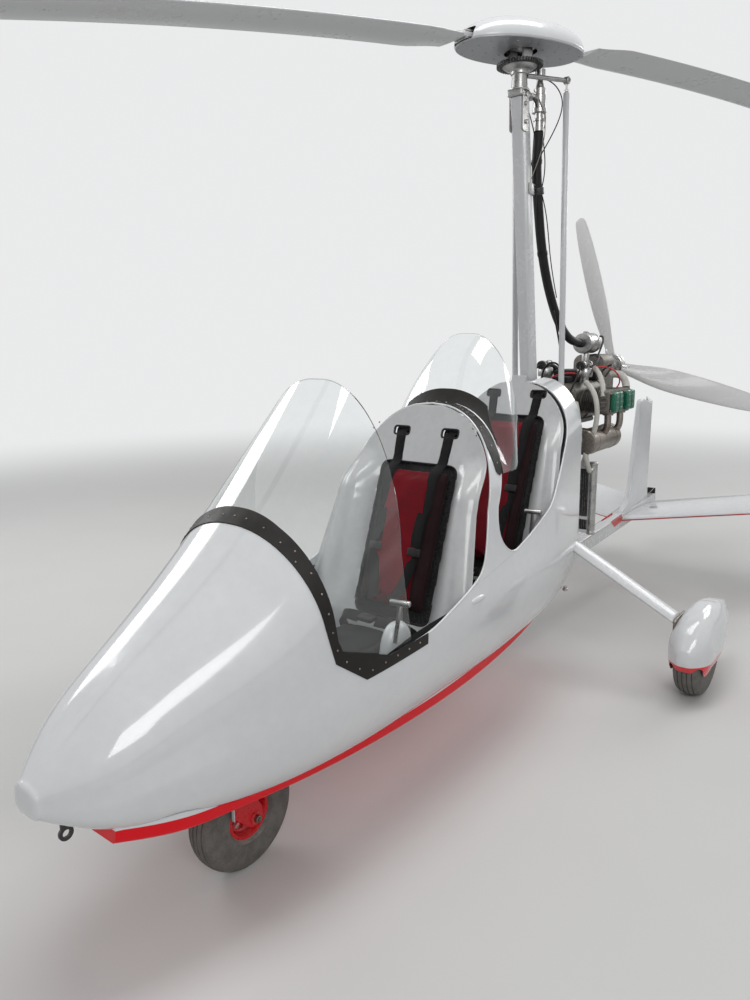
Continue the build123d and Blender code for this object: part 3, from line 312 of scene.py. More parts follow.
def lathe(name: str, profile: Outline, centre: Point, axis: str,
          steps: int = 64) -> Piece:
    """Turns a closed profile round an axis.

    Args:
        name: The piece's name.
        profile: Closed outline as (along the axis, radius) pairs, in metres.
        centre: The axis's middle.
        axis: X, Y or Z.
        steps: Faces round it.

    Returns:
        The new piece.
    """
    bpy.ops.object.select_all(action="DESELECT")
    bpy.ops.mesh.primitive_circle_add(vertices=len(profile), radius=1, fill_type="NOTHING")
    piece = named(name)
    for vertex, (along, radius) in zip(piece.data.vertices, profile):
        vertex.co = (radius, 0.0, along)
    spin = piece.modifiers.new("spin", "SCREW")
    spin.axis = "Z"
    spin.steps = steps
    spin.render_steps = steps
    spin.use_merge_vertices = True
    spin.merge_threshold = 0.00001
    apply(piece)
    tidy_normals(piece)
    turn = {"X": (0.0, math.pi / 2, 0.0), "Y": (-math.pi / 2, 0.0, 0.0), "Z": (0.0, 0.0, 0.0)}[axis]
    piece.matrix_world = Matrix.Translation(centre) @ Euler(turn).to_matrix().to_4x4()
    return settle(piece)


def copied(piece: Piece, name: str, place: Matrix) -> Piece:
    """Copies a piece with its own mesh and puts the copy elsewhere.

    Args:
        piece: The piece to copy.
        name: The copy's name.
        place: Where the copy goes, from the first piece's place.

    Returns:
        The copy.
    """
    alone(piece)
    bpy.ops.object.duplicate(linked=False)
    twin = named(name)
    twin.matrix_world = place @ twin.matrix_world
    bpy.ops.object.transform_apply(location=True, rotation=True, scale=True)
    return twin


def other_side(piece: Piece, name: str) -> Piece:
    """Copies a piece to the other side of the centre plane.

    Args:
        piece: The port piece.
        name: The starboard piece's name.

    Returns:
        The mirrored copy, with its faces outwards.
    """
    twin = copied(piece, name, Matrix.Scale(-1, 4, (1, 0, 0)))
    return tidy_normals(twin)


def carve(piece: Piece, cutter: Piece, way: str = "DIFFERENCE") -> Piece:
    """Cuts one closed form with another, which is used up.

    Args:
        piece: The form that stays.
        cutter: The form that cuts.
        way: DIFFERENCE, UNION or INTERSECT.

    Returns:
        The cut piece.
    """
    cut = piece.modifiers.new("cut", "BOOLEAN")
    cut.operation = way
    cut.solver = "EXACT"
    cut.object = cutter
    apply(piece)
    bpy.data.objects.remove(cutter)
    return piece


def thicken(piece: Piece, wall: float, offset: float = -1.0) -> Piece:
    """Gives a sheet a wall.

    Args:
        piece: The sheet.
        wall: The wall's thickness, in metres.
        offset: -1 grows the wall inwards, 1 outwards, 0 both ways.

    Returns:
        The same piece.
    """
    shell = piece.modifiers.new("wall", "SOLIDIFY")
    shell.thickness = wall
    shell.offset = offset
    shell.use_even_offset = False
    return apply(piece)


def rounded(points: Outline, radius: float, steps: int = 6) -> list[tuple[float, float]]:
    """Rounds the corners of a closed flat outline.

    Args:
        points: The outline's corners.
        radius: How far from a corner its round starts, in the points' unit.
        steps: Points in each round.

    Returns:
        The outline with its rounds.
    """
    result = []
    for index, corner in enumerate(points):
        here = Vector(corner)
        sides = (Vector(points[index - 1]) - here, Vector(points[(index + 1) % len(points)]) - here)
        start, end = (here + side * min(radius / side.length, 0.45) for side in sides)
        for step in range(steps + 1):
            t = step / steps
            spot = start * (1 - t) ** 2 + here * 2 * t * (1 - t) + end * t ** 2
            result.append((spot.x, spot.y))
    return result


def dense(points: Sequence[tuple[float, ...]], gap: float) -> list[tuple[float, ...]]:
    """Adds points to an open line, so that no step is longer than a gap.

    Args:
        points: The line's points.
        gap: The longest step.

    Returns:
        The line with its new points.
    """
    result = [tuple(points[0])]
    for first, last in zip(points, points[1:]):
        start, end = Vector(first), Vector(last)
        count = max(1, math.ceil((end - start).length / gap))
        result += [tuple(start.lerp(end, step / count)) for step in range(1, count + 1)]
    return result


class SmoothLine:
    """A line through points that bends evenly, and not at all at its two ends."""

    def __init__(self, places: Sequence[float], values: Sequence[float]) -> None:
        """Finds the bend at each point.

        Args:
            places: Where the points are, rising.
            values: The value at each place.
        """
        self.places = list(places)
        self.values = list(values)
        count = len(self.places)
        steps = [b - a for a, b in zip(places, places[1:])]
        slopes = [(b - a) / step for a, b, step in zip(values, values[1:], steps)]
        ratio, rest = [0.0] * count, [0.0] * count
        for index in range(1, count - 1):
            pivot = 2 * (steps[index - 1] + steps[index]) - steps[index - 1] * ratio[index - 1]
            ratio[index] = steps[index] / pivot
            rest[index] = (6 * (slopes[index] - slopes[index - 1]) - steps[index - 1] * rest[index - 1]) / pivot
        self.bends = [0.0] * count
        for index in range(count - 2, 0, -1):
            self.bends[index] = rest[index] - ratio[index] * self.bends[index + 1]

    def at(self, place: float) -> float:
        """Gives the line's value at one place.

        Args:
            place: Where to read it. Outside the points it keeps the end's value.

        Returns:
            The value there.
        """
        place = min(max(place, self.places[0]), self.places[-1])
        index = 0
        while index < len(self.places) - 2 and place > self.places[index + 1]:
            index += 1
        step = self.places[index + 1] - self.places[index]
        b = (place - self.places[index]) / step
        a = 1 - b
        bend = (a ** 3 - a) * self.bends[index] + (b ** 3 - b) * self.bends[index + 1]
        return a * self.values[index] + b * self.values[index + 1] + bend * step * step / 6


class SectionForm:
    """A body through sections made of flats, sides and quarter ellipses, in millimetres."""

    BREAKS = (0.08, 0.42, 0.6, 0.975, 1.0)

    def __init__(self, rows: Sequence[Sequence[float]], tops: Outline = (),
                 split: float = -1e9) -> None:
        """Keeps one smooth line for each column.

        Args:
            rows: place, low half width, its height, high half width, its height, bottom, top and the
                half widths of the bottom and top flats.
            tops: Places and tops that hold ahead of the split, instead of the rows' own.
            split: The place where the rows' own tops take over.
        """
        columns = list(zip(*rows))
        self.lines = [SmoothLine(columns[0], column) for column in columns[1:]]
        self.front_top = SmoothLine(*zip(*tops)) if tops else self.lines[5]
        self.split = split

    def row(self, place: float, inset: float = 0.0) -> tuple[float, ...]:
        """Gives the section's eight sizes at one place.

        Args:
            place: Where, along Y.
            inset: How far inside the surface.

        Returns:
            The sizes in the order of the rows.
        """
        low, low_z, high, high_z, bottom, top, flat_low, flat_high = (line.at(place) for line in self.lines)
        if place < self.split:
            top = self.front_top.at(place)
        return low - inset, low_z, high - inset, high_z, bottom + inset, top - inset, flat_low, flat_high

    def spot(self, place: float, turn: float, inset: float = 0.0) -> Point:
        """Gives a point of the surface, in metres.

        Args:
            place: Where, along Y, in millimetres.
            turn: From 0 at the keel line to 1 at the top, and negative on the starboard side.
            inset: How far inside the surface.

        Returns:
            The point.
        """
        low, low_z, high, high_z, bottom, top, flat_low, flat_high = self.row(place, inset)
        t = abs(turn)
        ends = self.BREAKS
        if t <= ends[0]:
            x, z = flat_low * t / ends[0], bottom
        elif t <= ends[1]:
            angle = (t - ends[0]) / (ends[1] - ends[0]) * math.pi / 2
            x, z = flat_low + (low - flat_low) * math.sin(angle), low_z - (low_z - bottom) * math.cos(angle)
        elif t <= ends[2]:
            part = (t - ends[1]) / (ends[2] - ends[1])
            x, z = low + (high - low) * part, low_z + (high_z - low_z) * part
        elif t <= ends[3]:
            angle = (t - ends[2]) / (ends[3] - ends[2]) * math.pi / 2
            x, z = flat_high + (high - flat_high) * math.cos(angle), high_z + (top - high_z) * math.sin(angle)
        else:
            x, z = flat_high * (1 - t) / (1 - ends[3]), top
        return math.copysign(x, turn) * MM, place * MM, z * MM

    def half(self, place: float, height: float, inset: float = 0.0) -> float:
        """Gives the body's half width at one place and height, in millimetres.

        Args:
            place: Where, along Y.
            height: Where, along Z.
            inset: How far inside the surface.

        Returns:
            The half width, 0 above and below the body.
        """
        low, low_z, high, high_z, bottom, top, flat_low, flat_high = self.row(place, inset)
        if height < low_z:
            reach = min(1.0, (low_z - height) / (low_z - bottom))
            return flat_low + (low - flat_low) * math.sqrt(1 - reach * reach)
        if height < high_z:
            return low + (high - low) * (height - low_z) / (high_z - low_z)
        reach = min(1.0, (height - high_z) / (top - high_z))
        return flat_high + (high - flat_high) * math.sqrt(1 - reach * reach)

    def sheet(self, name: str, start: float, end: float, across: int, along: int, inset: float = 0.0,
              turns: tuple[float, float] = (-1.0, 1.0), even: float = 1.0) -> Piece:
        """Adds a sheet of the surface.

        Args:
            name: The piece's name.
            start: Its first place along Y, in millimetres.
            end: Its last place.
            across: Faces round it.
            along: Faces along it.
            inset: How far inside the surface.
            turns: The turns that it covers.
            even: Above 1, its faces are shorter near the start.

        Returns:
            The sheet, with its doubled points merged.
        """
        def place(u: float, v: float) -> Point:
            """Lays one corner of the sheet."""
            return self.spot(start + (end - start) * v ** even, turns[0] + (turns[1] - turns[0]) * u, inset)

        return tidy_normals(surface(name, place, across, along))


# Finishes


class Slot(Enum):
    """The record's material slots."""

    WHITE_SHELL = "white_shell"
    BELLY_SHELL = "belly_shell"
    FLOOR_BOARD = "floor_board"
    DARK_BAND = "dark_band"
    CLEAR_SCREEN = "clear_screen"
    SEAT_GREY = "seat_grey"
    RED_FABRIC = "red_fabric"
    BLACK_WEBBING = "black_webbing"
    BLACK_PLASTIC = "black_plastic"
    BLACK_METAL = "black_metal"
    WHITE_METAL = "white_metal"
    BRIGHT_METAL = "bright_metal"
    HOSE_BLACK = "hose_black"
    CAST_ENGINE = "cast_engine"
    GREEN_COVER = "green_cover"
    STEEL = "steel"
    RED_PAINT = "red_paint"
    GREY_TYRE = "grey_tyre"
    PROP_WHITE = "prop_white"
    ROTOR_SKIN = "rotor_skin"


class Body(Enum):
    """The bodies that pieces ride on."""

    AIRFRAME = "airframe"
    STEERING = "steering"
    NOSE_WHEEL = "nose_wheel"
    LEFT_WHEEL = "left_wheel"
    RIGHT_WHEEL = "right_wheel"
    RUDDER = "rudder"
    PROPELLER = "propeller"
    ROTOR_DRIVE = "rotor_drive"
    ROTOR = "rotor"


def socket_group(name: str, inputs: Sequence[tuple[str, str, object]], outputs: Sequence[tuple[str, str]]
                 ) -> tuple[bpy.types.NodeTree, bpy.types.Node, bpy.types.Node]:
    """Makes an empty shader node group.

    Args:
        name: The group's name.
        inputs: Name, socket type and first value of each input.
        outputs: Name and socket type of each output.

    Returns:
        The group, its input node and its output node.
    """
    tree = bpy.data.node_groups.new(name, "ShaderNodeTree")
    for label, kind, value in inputs:
        socket = tree.interface.new_socket(name=label, in_out="INPUT", socket_type=kind)
        socket.default_value = value
    for label, kind in outputs:
        tree.interface.new_socket(name=label, in_out="OUTPUT", socket_type=kind)
    return tree, tree.nodes.new("NodeGroupInput"), tree.nodes.new("NodeGroupOutput")


class Wiring:
    """Adds and links nodes in one tree."""

    def __init__(self, tree: bpy.types.NodeTree) -> None:
        """Keeps the tree."""
        self.tree = tree

    def node(self, kind: str, values: dict[str, object] | None = None, **settings: object) -> bpy.types.Node:
        """Adds a node, with its settings and input values.

        Args:
            kind: The node's type.
            values: Values or sockets for its inputs, by name or index.
            **settings: The node's own settings.

        Returns:
            The node.
        """
        node = self.tree.nodes.new(kind)
        for label, value in settings.items():
            setattr(node, label, value)
        for label, value in (values or {}).items():
            self.put(node, label, value)
        return node

    def put(self, node: bpy.types.Node, label: str | int, value: object) -> None:
        """Sets or links one input.

        Args:
            node: The node that takes it.
            label: The input's name or index.
            value: A value or another node's output.
        """
        if isinstance(value, bpy.types.NodeSocket):
            self.tree.links.new(value, node.inputs[label])
        else:
            node.inputs[label].default_value = value

    def maths(self, way: str, first: object, second: object = 0.0, clamp: bool = False) -> bpy.types.NodeSocket:
        """Adds a sum of two values.

        Args:
            way: The operation.
            first: A value or an output.
            second: A value or an output.
            clamp: True keeps the result from 0 to 1.

        Returns:
            The result.
        """
        node = self.node("ShaderNodeMath", {0: first, 1: second}, operation=way, use_clamp=clamp)
        return node.outputs[0]

    def blend(self, share: object, first: object, second: object) -> bpy.types.NodeSocket:
        """Adds a mix of two colours.

        Args:
            share: 0 for the first, 1 for the second.
            first: A colour or an output.
            second: A colour or an output.

        Returns:
            The mixed colour.
        """
        node = self.node("ShaderNodeMix", data_type="RGBA")
        for index, value in ((0, share), (6, first), (7, second)):
            self.put(node, index, value)
        return node.outputs[2]

    def ramp(self, value: object, low: float, high: float, start: float = 0.0, end: float = 1.0
             ) -> bpy.types.NodeSocket:
        """Adds a smooth step from one value to another.

        Args:
            value: The output to read.
            low: Where the step starts.
            high: Where it ends.
            start: The result before it.
            end: The result after it.

        Returns:
            The result.
        """
        values = {0: value, 1: low, 2: high, 3: start, 4: end}
        return self.node("ShaderNodeMapRange", values, interpolation_type="SMOOTHSTEP").outputs[0]


def rgba(colour: Colour) -> tuple[float, float, float, float]:
    """Gives a colour its alpha."""
    return (*colour, 1.0)


class Effects:
    """The node groups that several finishes share."""

    def __init__(self) -> None:
        """Builds each group once."""
        self.grain = self.make_grain()
        self.dust = self.make_dust()
        self.wear = self.make_wear()
        self.weave = self.make_weave()

    def make_grain(self) -> bpy.types.NodeTree:
        """Builds two sizes of noise that vary colour, roughness and height.

        Returns:
            The group.
        """
        tree, source, sink = socket_group(
            "surface grain",
            [("Vector", "NodeSocketVector", (0, 0, 0)), ("Scale", "NodeSocketFloat", 60.0),
             ("Low", "NodeSocketColor", (0, 0, 0, 1)), ("High", "NodeSocketColor", (1, 1, 1, 1)),
             ("Smooth", "NodeSocketFloat", 0.2), ("Rough", "NodeSocketFloat", 0.4)],
            [("Color", "NodeSocketColor"), ("Roughness", "NodeSocketFloat"), ("Height", "NodeSocketFloat")],
        )
        wires = Wiring(tree)
        vector, scale = source.outputs["Vector"], source.outputs["Scale"]
        coarse = wires.node("ShaderNodeTexNoise", {"Vector": vector, "Scale": wires.maths("MULTIPLY", scale, 0.12),
                                                   "Detail": 4.0, "Roughness": 0.6}).outputs["Fac"]
        fine = wires.node("ShaderNodeTexNoise", {"Vector": vector, "Scale": scale, "Detail": 3.0}).outputs["Fac"]
        both = wires.maths("ADD", wires.maths("MULTIPLY", coarse, 0.6), wires.maths("MULTIPLY", fine, 0.4))
        spread = wires.ramp(both, 0.35, 0.65)
        wires.put(sink, "Color", wires.blend(spread, source.outputs["Low"], source.outputs["High"]))
        rough = wires.node("ShaderNodeMapRange", {0: spread, 3: source.outputs["Smooth"],
                                                  4: source.outputs["Rough"]})
        wires.put(sink, "Roughness", rough.outputs[0])
        wires.put(sink, "Height", fine)
        return tree

    def make_dust(self) -> bpy.types.NodeTree:
        """Builds a thin uneven dust that lies on faces turned upwards.

        Returns:
            The group.
        """
        tree, source, sink = socket_group(
            "settled dust",
            [("Vector", "NodeSocketVector", (0, 0, 0)), ("Color", "NodeSocketColor", (1, 1, 1, 1)),
             ("Dust", "NodeSocketColor", (0.42, 0.4, 0.36, 1)), ("Amount", "NodeSocketFloat", 0.15)],
            [("Color", "NodeSocketColor"), ("Mask", "NodeSocketFloat")],
        )
        wires = Wiring(tree)
        normal = wires.node("ShaderNodeNewGeometry").outputs["Normal"]
        up = wires.node("ShaderNodeSeparateXYZ", {0: normal}).outputs["Z"]
        cloud = wires.node("ShaderNodeTexNoise", {"Vector": source.outputs["Vector"], "Scale": 9.0,
                                                  "Detail": 6.0, "Roughness": 0.7}).outputs["Fac"]
        mask = wires.maths("MULTIPLY", wires.ramp(up, 0.1, 0.95), wires.ramp(cloud, 0.35, 0.7))
        mask = wires.maths("MULTIPLY", mask, source.outputs["Amount"])
        wires.put(sink, "Color", wires.blend(mask, source.outputs["Color"], source.outputs["Dust"]))
        wires.put(sink, "Mask", mask)
        return tree

    def make_wear(self) -> bpy.types.NodeTree:
        """Builds rubbed edges, where sharp outer edges show another colour.

        Returns:
            The group.
        """
        tree, source, sink = socket_group(
            "edge wear",
            [("Vector", "NodeSocketVector", (0, 0, 0)), ("Color", "NodeSocketColor", (1, 1, 1, 1)),
             ("Bare", "NodeSocketColor", (0.5, 0.5, 0.5, 1)), ("Amount", "NodeSocketFloat", 0.5)],
            [("Color", "NodeSocketColor"), ("Mask", "NodeSocketFloat")],
        )
        wires = Wiring(tree)
        point = wires.node("ShaderNodeNewGeometry").outputs["Pointiness"]
        chips = wires.node("ShaderNodeTexNoise", {"Vector": source.outputs["Vector"], "Scale": 140.0,
                                                  "Detail": 4.0}).outputs["Fac"]
        edge = wires.ramp(point, 0.53, 0.62)
        mask = wires.maths("MULTIPLY", edge, wires.ramp(chips, 0.42, 0.6))
        mask = wires.maths("MULTIPLY", mask, source.outputs["Amount"], clamp=True)
        wires.put(sink, "Color", wires.blend(mask, source.outputs["Color"], source.outputs["Bare"]))
        wires.put(sink, "Mask", mask)
        return tree

    def make_weave(self) -> bpy.types.NodeTree:
        """Builds crossed threads.

        Returns:
            The group.
        """
        tree, source, sink = socket_group(
            "woven threads",
            [("Vector", "NodeSocketVector", (0, 0, 0)), ("Scale", "NodeSocketFloat", 500.0),
             ("Color", "NodeSocketColor", (1, 1, 1, 1)), ("Gap", "NodeSocketColor", (0, 0, 0, 1))],
            [("Color", "NodeSocketColor"), ("Height", "NodeSocketFloat")],
        )
        wires = Wiring(tree)
        threads = []
        for way in ("X", "Y", "Z"):
            wave = wires.node("ShaderNodeTexWave", {"Vector": source.outputs["Vector"],
                                                    "Scale": source.outputs["Scale"], "Distortion": 0.6},
                              wave_type="BANDS", bands_direction=way)
            threads.append(wave.outputs["Fac"])
        crossed = wires.maths("MULTIPLY", wires.maths("MAXIMUM", threads[0], threads[1]), threads[2])
        wires.put(sink, "Color", wires.blend(crossed, source.outputs["Gap"], source.outputs["Color"]))
        wires.put(sink, "Height", crossed)
        return tree


@dataclass(frozen=True)
class Finish:
    """One surface finish, with its grain, dust and rubbed edges."""

    name: str
    colour: Colour
    shade: Colour
    smooth: float = 0.3
    rough: float = 0.5
    metallic: float = 0.0
    coat: float = 0.0
    coat_rough: float = 0.05
    grain: float = 80.0
    bump: float = 0.1
    dust: float = 0.05
    wear: float = 0.0
    bare: Colour = (0.5, 0.5, 0.5)
    weave: float = 0.0
    gap: Colour = (0.0, 0.0, 0.0)
    sheen: float = 0.0
    specular: float = 0.5

    def paint(self, wires: Wiring, vector: bpy.types.NodeSocket, colour: bpy.types.NodeSocket
              ) -> bpy.types.NodeSocket:
        """Leaves the colour as it is. A finish with several colours adds them here.

        Args:
            wires: The material's wiring.
            vector: Object coordinates.
            colour: The ground colour.

        Returns:
            The colour.
        """
        return colour

    def make(self, effects: Effects) -> bpy.types.Material:
        """Builds the material.

        Args:
            effects: The shared node groups.

        Returns:
            The material.
        """
        material = bpy.data.materials.new(self.name)
        material.use_nodes = True
        wires = Wiring(material.node_tree)
        shader = material.node_tree.nodes["Principled BSDF"]
        vector = wires.node("ShaderNodeTexCoord").outputs["Object"]
        grain = wires.node("ShaderNodeGroup", node_tree=effects.grain)
        for label, value in (("Vector", vector), ("Scale", self.grain), ("Low", rgba(self.shade)),
                             ("High", rgba(self.colour)), ("Smooth", self.smooth), ("Rough", self.rough)):
            wires.put(grain, label, value)
        colour, height = self.paint(wires, vector, grain.outputs["Color"]), grain.outputs["Height"]
        if self.weave:
            weave = wires.node("ShaderNodeGroup", node_tree=effects.weave)
            gap = self.gap if any(self.gap) else tuple(part * 0.35 for part in self.colour)
            for label, value in (("Vector", vector), ("Scale", self.weave), ("Color", colour),
                                 ("Gap", rgba(gap))):
                wires.put(weave, label, value)
            colour, height = weave.outputs["Color"], weave.outputs["Height"]
        if self.wear:
            wear = wires.node("ShaderNodeGroup", node_tree=effects.wear)
            for label, value in (("Vector", vector), ("Color", colour), ("Bare", rgba(self.bare)),
                                 ("Amount", self.wear)):
                wires.put(wear, label, value)
            colour = wear.outputs["Color"]
        if self.dust:
            dust = wires.node("ShaderNodeGroup", node_tree=effects.dust)
            for label, value in (("Vector", vector), ("Color", colour), ("Amount", self.dust)):
                wires.put(dust, label, value)
            colour = dust.outputs["Color"]
        bump = wires.node("ShaderNodeBump", {"Strength": self.bump, "Distance": 0.0006, "Height": height})
        wires.put(shader, "Base Color", colour)
        wires.put(shader, "Roughness", grain.outputs["Roughness"])
        wires.put(shader, "Normal", bump.outputs["Normal"])
        shader.inputs["Metallic"].default_value = self.metallic
        shader.inputs["Specular IOR Level"].default_value = self.specular
        shader.inputs["Coat Weight"].default_value = self.coat
        shader.inputs["Coat Roughness"].default_value = self.coat_rough
        shader.inputs["Sheen Weight"].default_value = self.sheen
        return material


@dataclass(frozen=True)
class SkirtFinish(Finish):
    """Gloss shell paint with a red lower edge under a sloping line."""

    red: Colour = (0.68, 0.004, 0.014)
    line: Outline = ((-2.4, 0.47), (-1.7, 0.41))
    reach: float = 0.0009

    def paint(self, wires: Wiring, vector: bpy.types.NodeSocket, colour: bpy.types.NodeSocket
              ) -> bpy.types.NodeSocket:
        """Paints red below the line, which is given as places and heights along Y.

        Args:
            wires: The material's wiring.
            vector: Object coordinates.
            colour: The ground colour.

        Returns:
            The two-coloured paint.
        """
        axes = wires.node("ShaderNodeSeparateXYZ", {0: vector})
        height = None
        for (start, low), (end, high) in zip(self.line, self.line[1:]):
            values = {0: axes.outputs["Y"], 1: start, 2: end, 3: 0.0, 4: high - low}
            rise = wires.node("ShaderNodeMapRange", values).outputs[0]
            height = wires.maths("ADD", rise, low if height is None else height)
        below = wires.maths("SUBTRACT", height, axes.outputs["Z"])
        return wires.blend(wires.ramp(below, -self.reach, self.reach), colour, rgba(self.red))


@dataclass(frozen=True)
class ScreenFinish:
    """Clear acrylic sheet, which lets the lamps' light through."""

    name: str = "clear acrylic"
    tint: Colour = (0.93, 0.96, 0.96)
    roughness: float = 0.012
    index: float = 1.49
    shade: float = 0.88

    def make(self, effects: Effects) -> bpy.types.Material:
        """Builds the material.

        Args:
            effects: The shared node groups.

        Returns:
            The material.
        """
        material = bpy.data.materials.new(self.name)
        material.use_nodes = True
        wires = Wiring(material.node_tree)
        shader = material.node_tree.nodes["Principled BSDF"]
        vector = wires.node("ShaderNodeTexCoord").outputs["Object"]
        grain = wires.node("ShaderNodeGroup", node_tree=effects.grain)
        for label, value in (("Vector", vector), ("Scale", 240.0), ("Low", rgba(self.tint)),
                             ("High", (0.97, 0.985, 0.985, 1.0)), ("Smooth", self.roughness), ("Rough", 0.03)):
            wires.put(grain, label, value)
        wires.put(shader, "Base Color", grain.outputs["Color"])
        wires.put(shader, "Roughness", grain.outputs["Roughness"])
        shader.inputs["Transmission Weight"].default_value = 1.0
        shader.inputs["IOR"].default_value = self.index
        clear = wires.node("ShaderNodeBsdfTransparent", {"Color": rgba(self.tint)})
        shadow = wires.node("ShaderNodeLightPath").outputs["Is Shadow Ray"]
        share = wires.maths("MULTIPLY", shadow, self.shade)
        mix = wires.node("ShaderNodeMixShader", {0: share, 1: shader.outputs[0], 2: clear.outputs[0]})
        wires.put(material.node_tree.nodes["Material Output"], "Surface", mix.outputs[0])
        return material


SHELL_WHITE: Colour = (0.66, 0.675, 0.69)
SHELL_SHADE: Colour = (0.63, 0.645, 0.66)
FINISHES: dict[Slot, Finish | ScreenFinish] = {
    Slot.WHITE_SHELL: SkirtFinish(
        "gloss shell", SHELL_WHITE, SHELL_SHADE, 0.10, 0.16, coat=0.6, coat_rough=0.03, grain=30, bump=0.02,
        dust=0.12,
        line=((-2.4, 0.462), (-2.19, 0.452), (-2.08, 0.436), (-1.9, 0.404), (-1.73, 0.384), (-1.56, 0.362),
              (-1.4, 0.347), (-1.0, 0.341), (-0.2, 0.352), (0.14, 0.368)),
    ),
    Slot.BELLY_SHELL: Finish(
        "red belly shell", (0.56, 0.012, 0.02), (0.5, 0.01, 0.018), 0.16, 0.24, coat=0.5, grain=40, bump=0.03,
        dust=0.1,
    ),
    Slot.FLOOR_BOARD: Finish(
        "floor lining", (0.02, 0.02, 0.021), (0.012, 0.012, 0.013), 0.7, 0.9, grain=400, bump=0.5, dust=0.05,
        specular=0.1,
    ),
    Slot.DARK_BAND: Finish(
        "screen band", (0.014, 0.012, 0.011), (0.009, 0.008, 0.007), 0.42, 0.56, grain=220, bump=0.14, dust=0.04,
        specular=0.25, wear=0.2, bare=(0.2, 0.18, 0.17),
    ),
    Slot.CLEAR_SCREEN: ScreenFinish(),
    Slot.SEAT_GREY: Finish(
        "moulded seat shell", (0.5, 0.505, 0.51), (0.46, 0.465, 0.47), 0.16, 0.26, coat=0.3, grain=45, bump=0.05,
        dust=0.15,
    ),
    Slot.RED_FABRIC: Finish(
        "red seat cloth", (0.30, 0.008, 0.016), (0.2, 0.005, 0.011), 0.78, 0.92, grain=60, bump=0.5, weave=420,
        sheen=0.25, dust=0.06,
    ),
    Slot.BLACK_WEBBING: Finish(
        "harness webbing", (0.013, 0.013, 0.014), (0.007, 0.007, 0.008), 0.6, 0.8, grain=120, bump=0.6, weave=560,
        sheen=0.02, specular=0.12, dust=0.02,
    ),
    Slot.BLACK_PLASTIC: Finish(
        "black moulding", (0.016, 0.016, 0.017), (0.01, 0.01, 0.011), 0.42, 0.6, grain=500, bump=0.2, dust=0.06,
        specular=0.25, wear=0.3, bare=(0.12, 0.12, 0.12),
    ),
    Slot.BLACK_METAL: Finish(
        "black frame paint", (0.03, 0.03, 0.032), (0.02, 0.02, 0.022), 0.34, 0.5, grain=160, bump=0.1, dust=0.25,
        wear=0.5, bare=(0.25, 0.24, 0.23),
    ),
    Slot.WHITE_METAL: Finish(
        "white frame paint", (0.60, 0.61, 0.62), (0.575, 0.585, 0.595), 0.2, 0.3, coat=0.3, grain=60, bump=0.03,
        dust=0.04,
    ),
    Slot.BRIGHT_METAL: Finish(
        "bright alloy", (0.5, 0.5, 0.49), (0.36, 0.355, 0.35), 0.24, 0.44, metallic=1.0, grain=180, bump=0.12,
        dust=0.12, wear=0.2, bare=(0.62, 0.62, 0.61),
    ),
    Slot.HOSE_BLACK: Finish(
        "hose rubber", (0.014, 0.014, 0.015), (0.009, 0.009, 0.01), 0.4, 0.6, grain=300, bump=0.25, dust=0.06,
        specular=0.3,
    ),
    Slot.CAST_ENGINE: Finish(
        "cast alloy", (0.25, 0.235, 0.215), (0.11, 0.10, 0.09), 0.4, 0.62, metallic=0.85, grain=420, bump=0.55,
        dust=0.2, wear=0.3, bare=(0.5, 0.48, 0.45),
    ),
    Slot.GREEN_COVER: Finish(
        "green valve cover", (0.008, 0.16, 0.09), (0.006, 0.12, 0.07), 0.24, 0.38, metallic=0.3, coat=0.3,
        grain=140, bump=0.15, dust=0.15, wear=0.4, bare=(0.5, 0.5, 0.48),
    ),
    Slot.STEEL: Finish(
        "steel", (0.34, 0.31, 0.28), (0.17, 0.14, 0.115), 0.3, 0.5, metallic=1.0, grain=120, bump=0.2, dust=0.2,
        wear=0.2, bare=(0.6, 0.58, 0.55),
    ),
    Slot.RED_PAINT: Finish(
        "red wheel paint", (0.66, 0.006, 0.014), (0.52, 0.005, 0.01), 0.26, 0.42, coat=0.2, grain=90, bump=0.1,
        dust=0.1, wear=0.15, bare=(0.3, 0.28, 0.26), specular=0.35,
    ),
    Slot.GREY_TYRE: Finish(
        "dusty tyre rubber", (0.15, 0.143, 0.13), (0.09, 0.085, 0.078), 0.75, 0.92, grain=260, bump=0.5,
        dust=0.5,
    ),
    Slot.PROP_WHITE: Finish(
        "propeller paint", (0.6, 0.605, 0.6), (0.58, 0.585, 0.58), 0.22, 0.3, coat=0.2, grain=50, bump=0.03,
        dust=0.03,
    ),
    Slot.ROTOR_SKIN: Finish(
        "rotor blade skin", (0.6, 0.61, 0.62), (0.58, 0.59, 0.60), 0.26, 0.36, coat=0.15, grain=40, bump=0.02,
        dust=0.03,
    ),
}


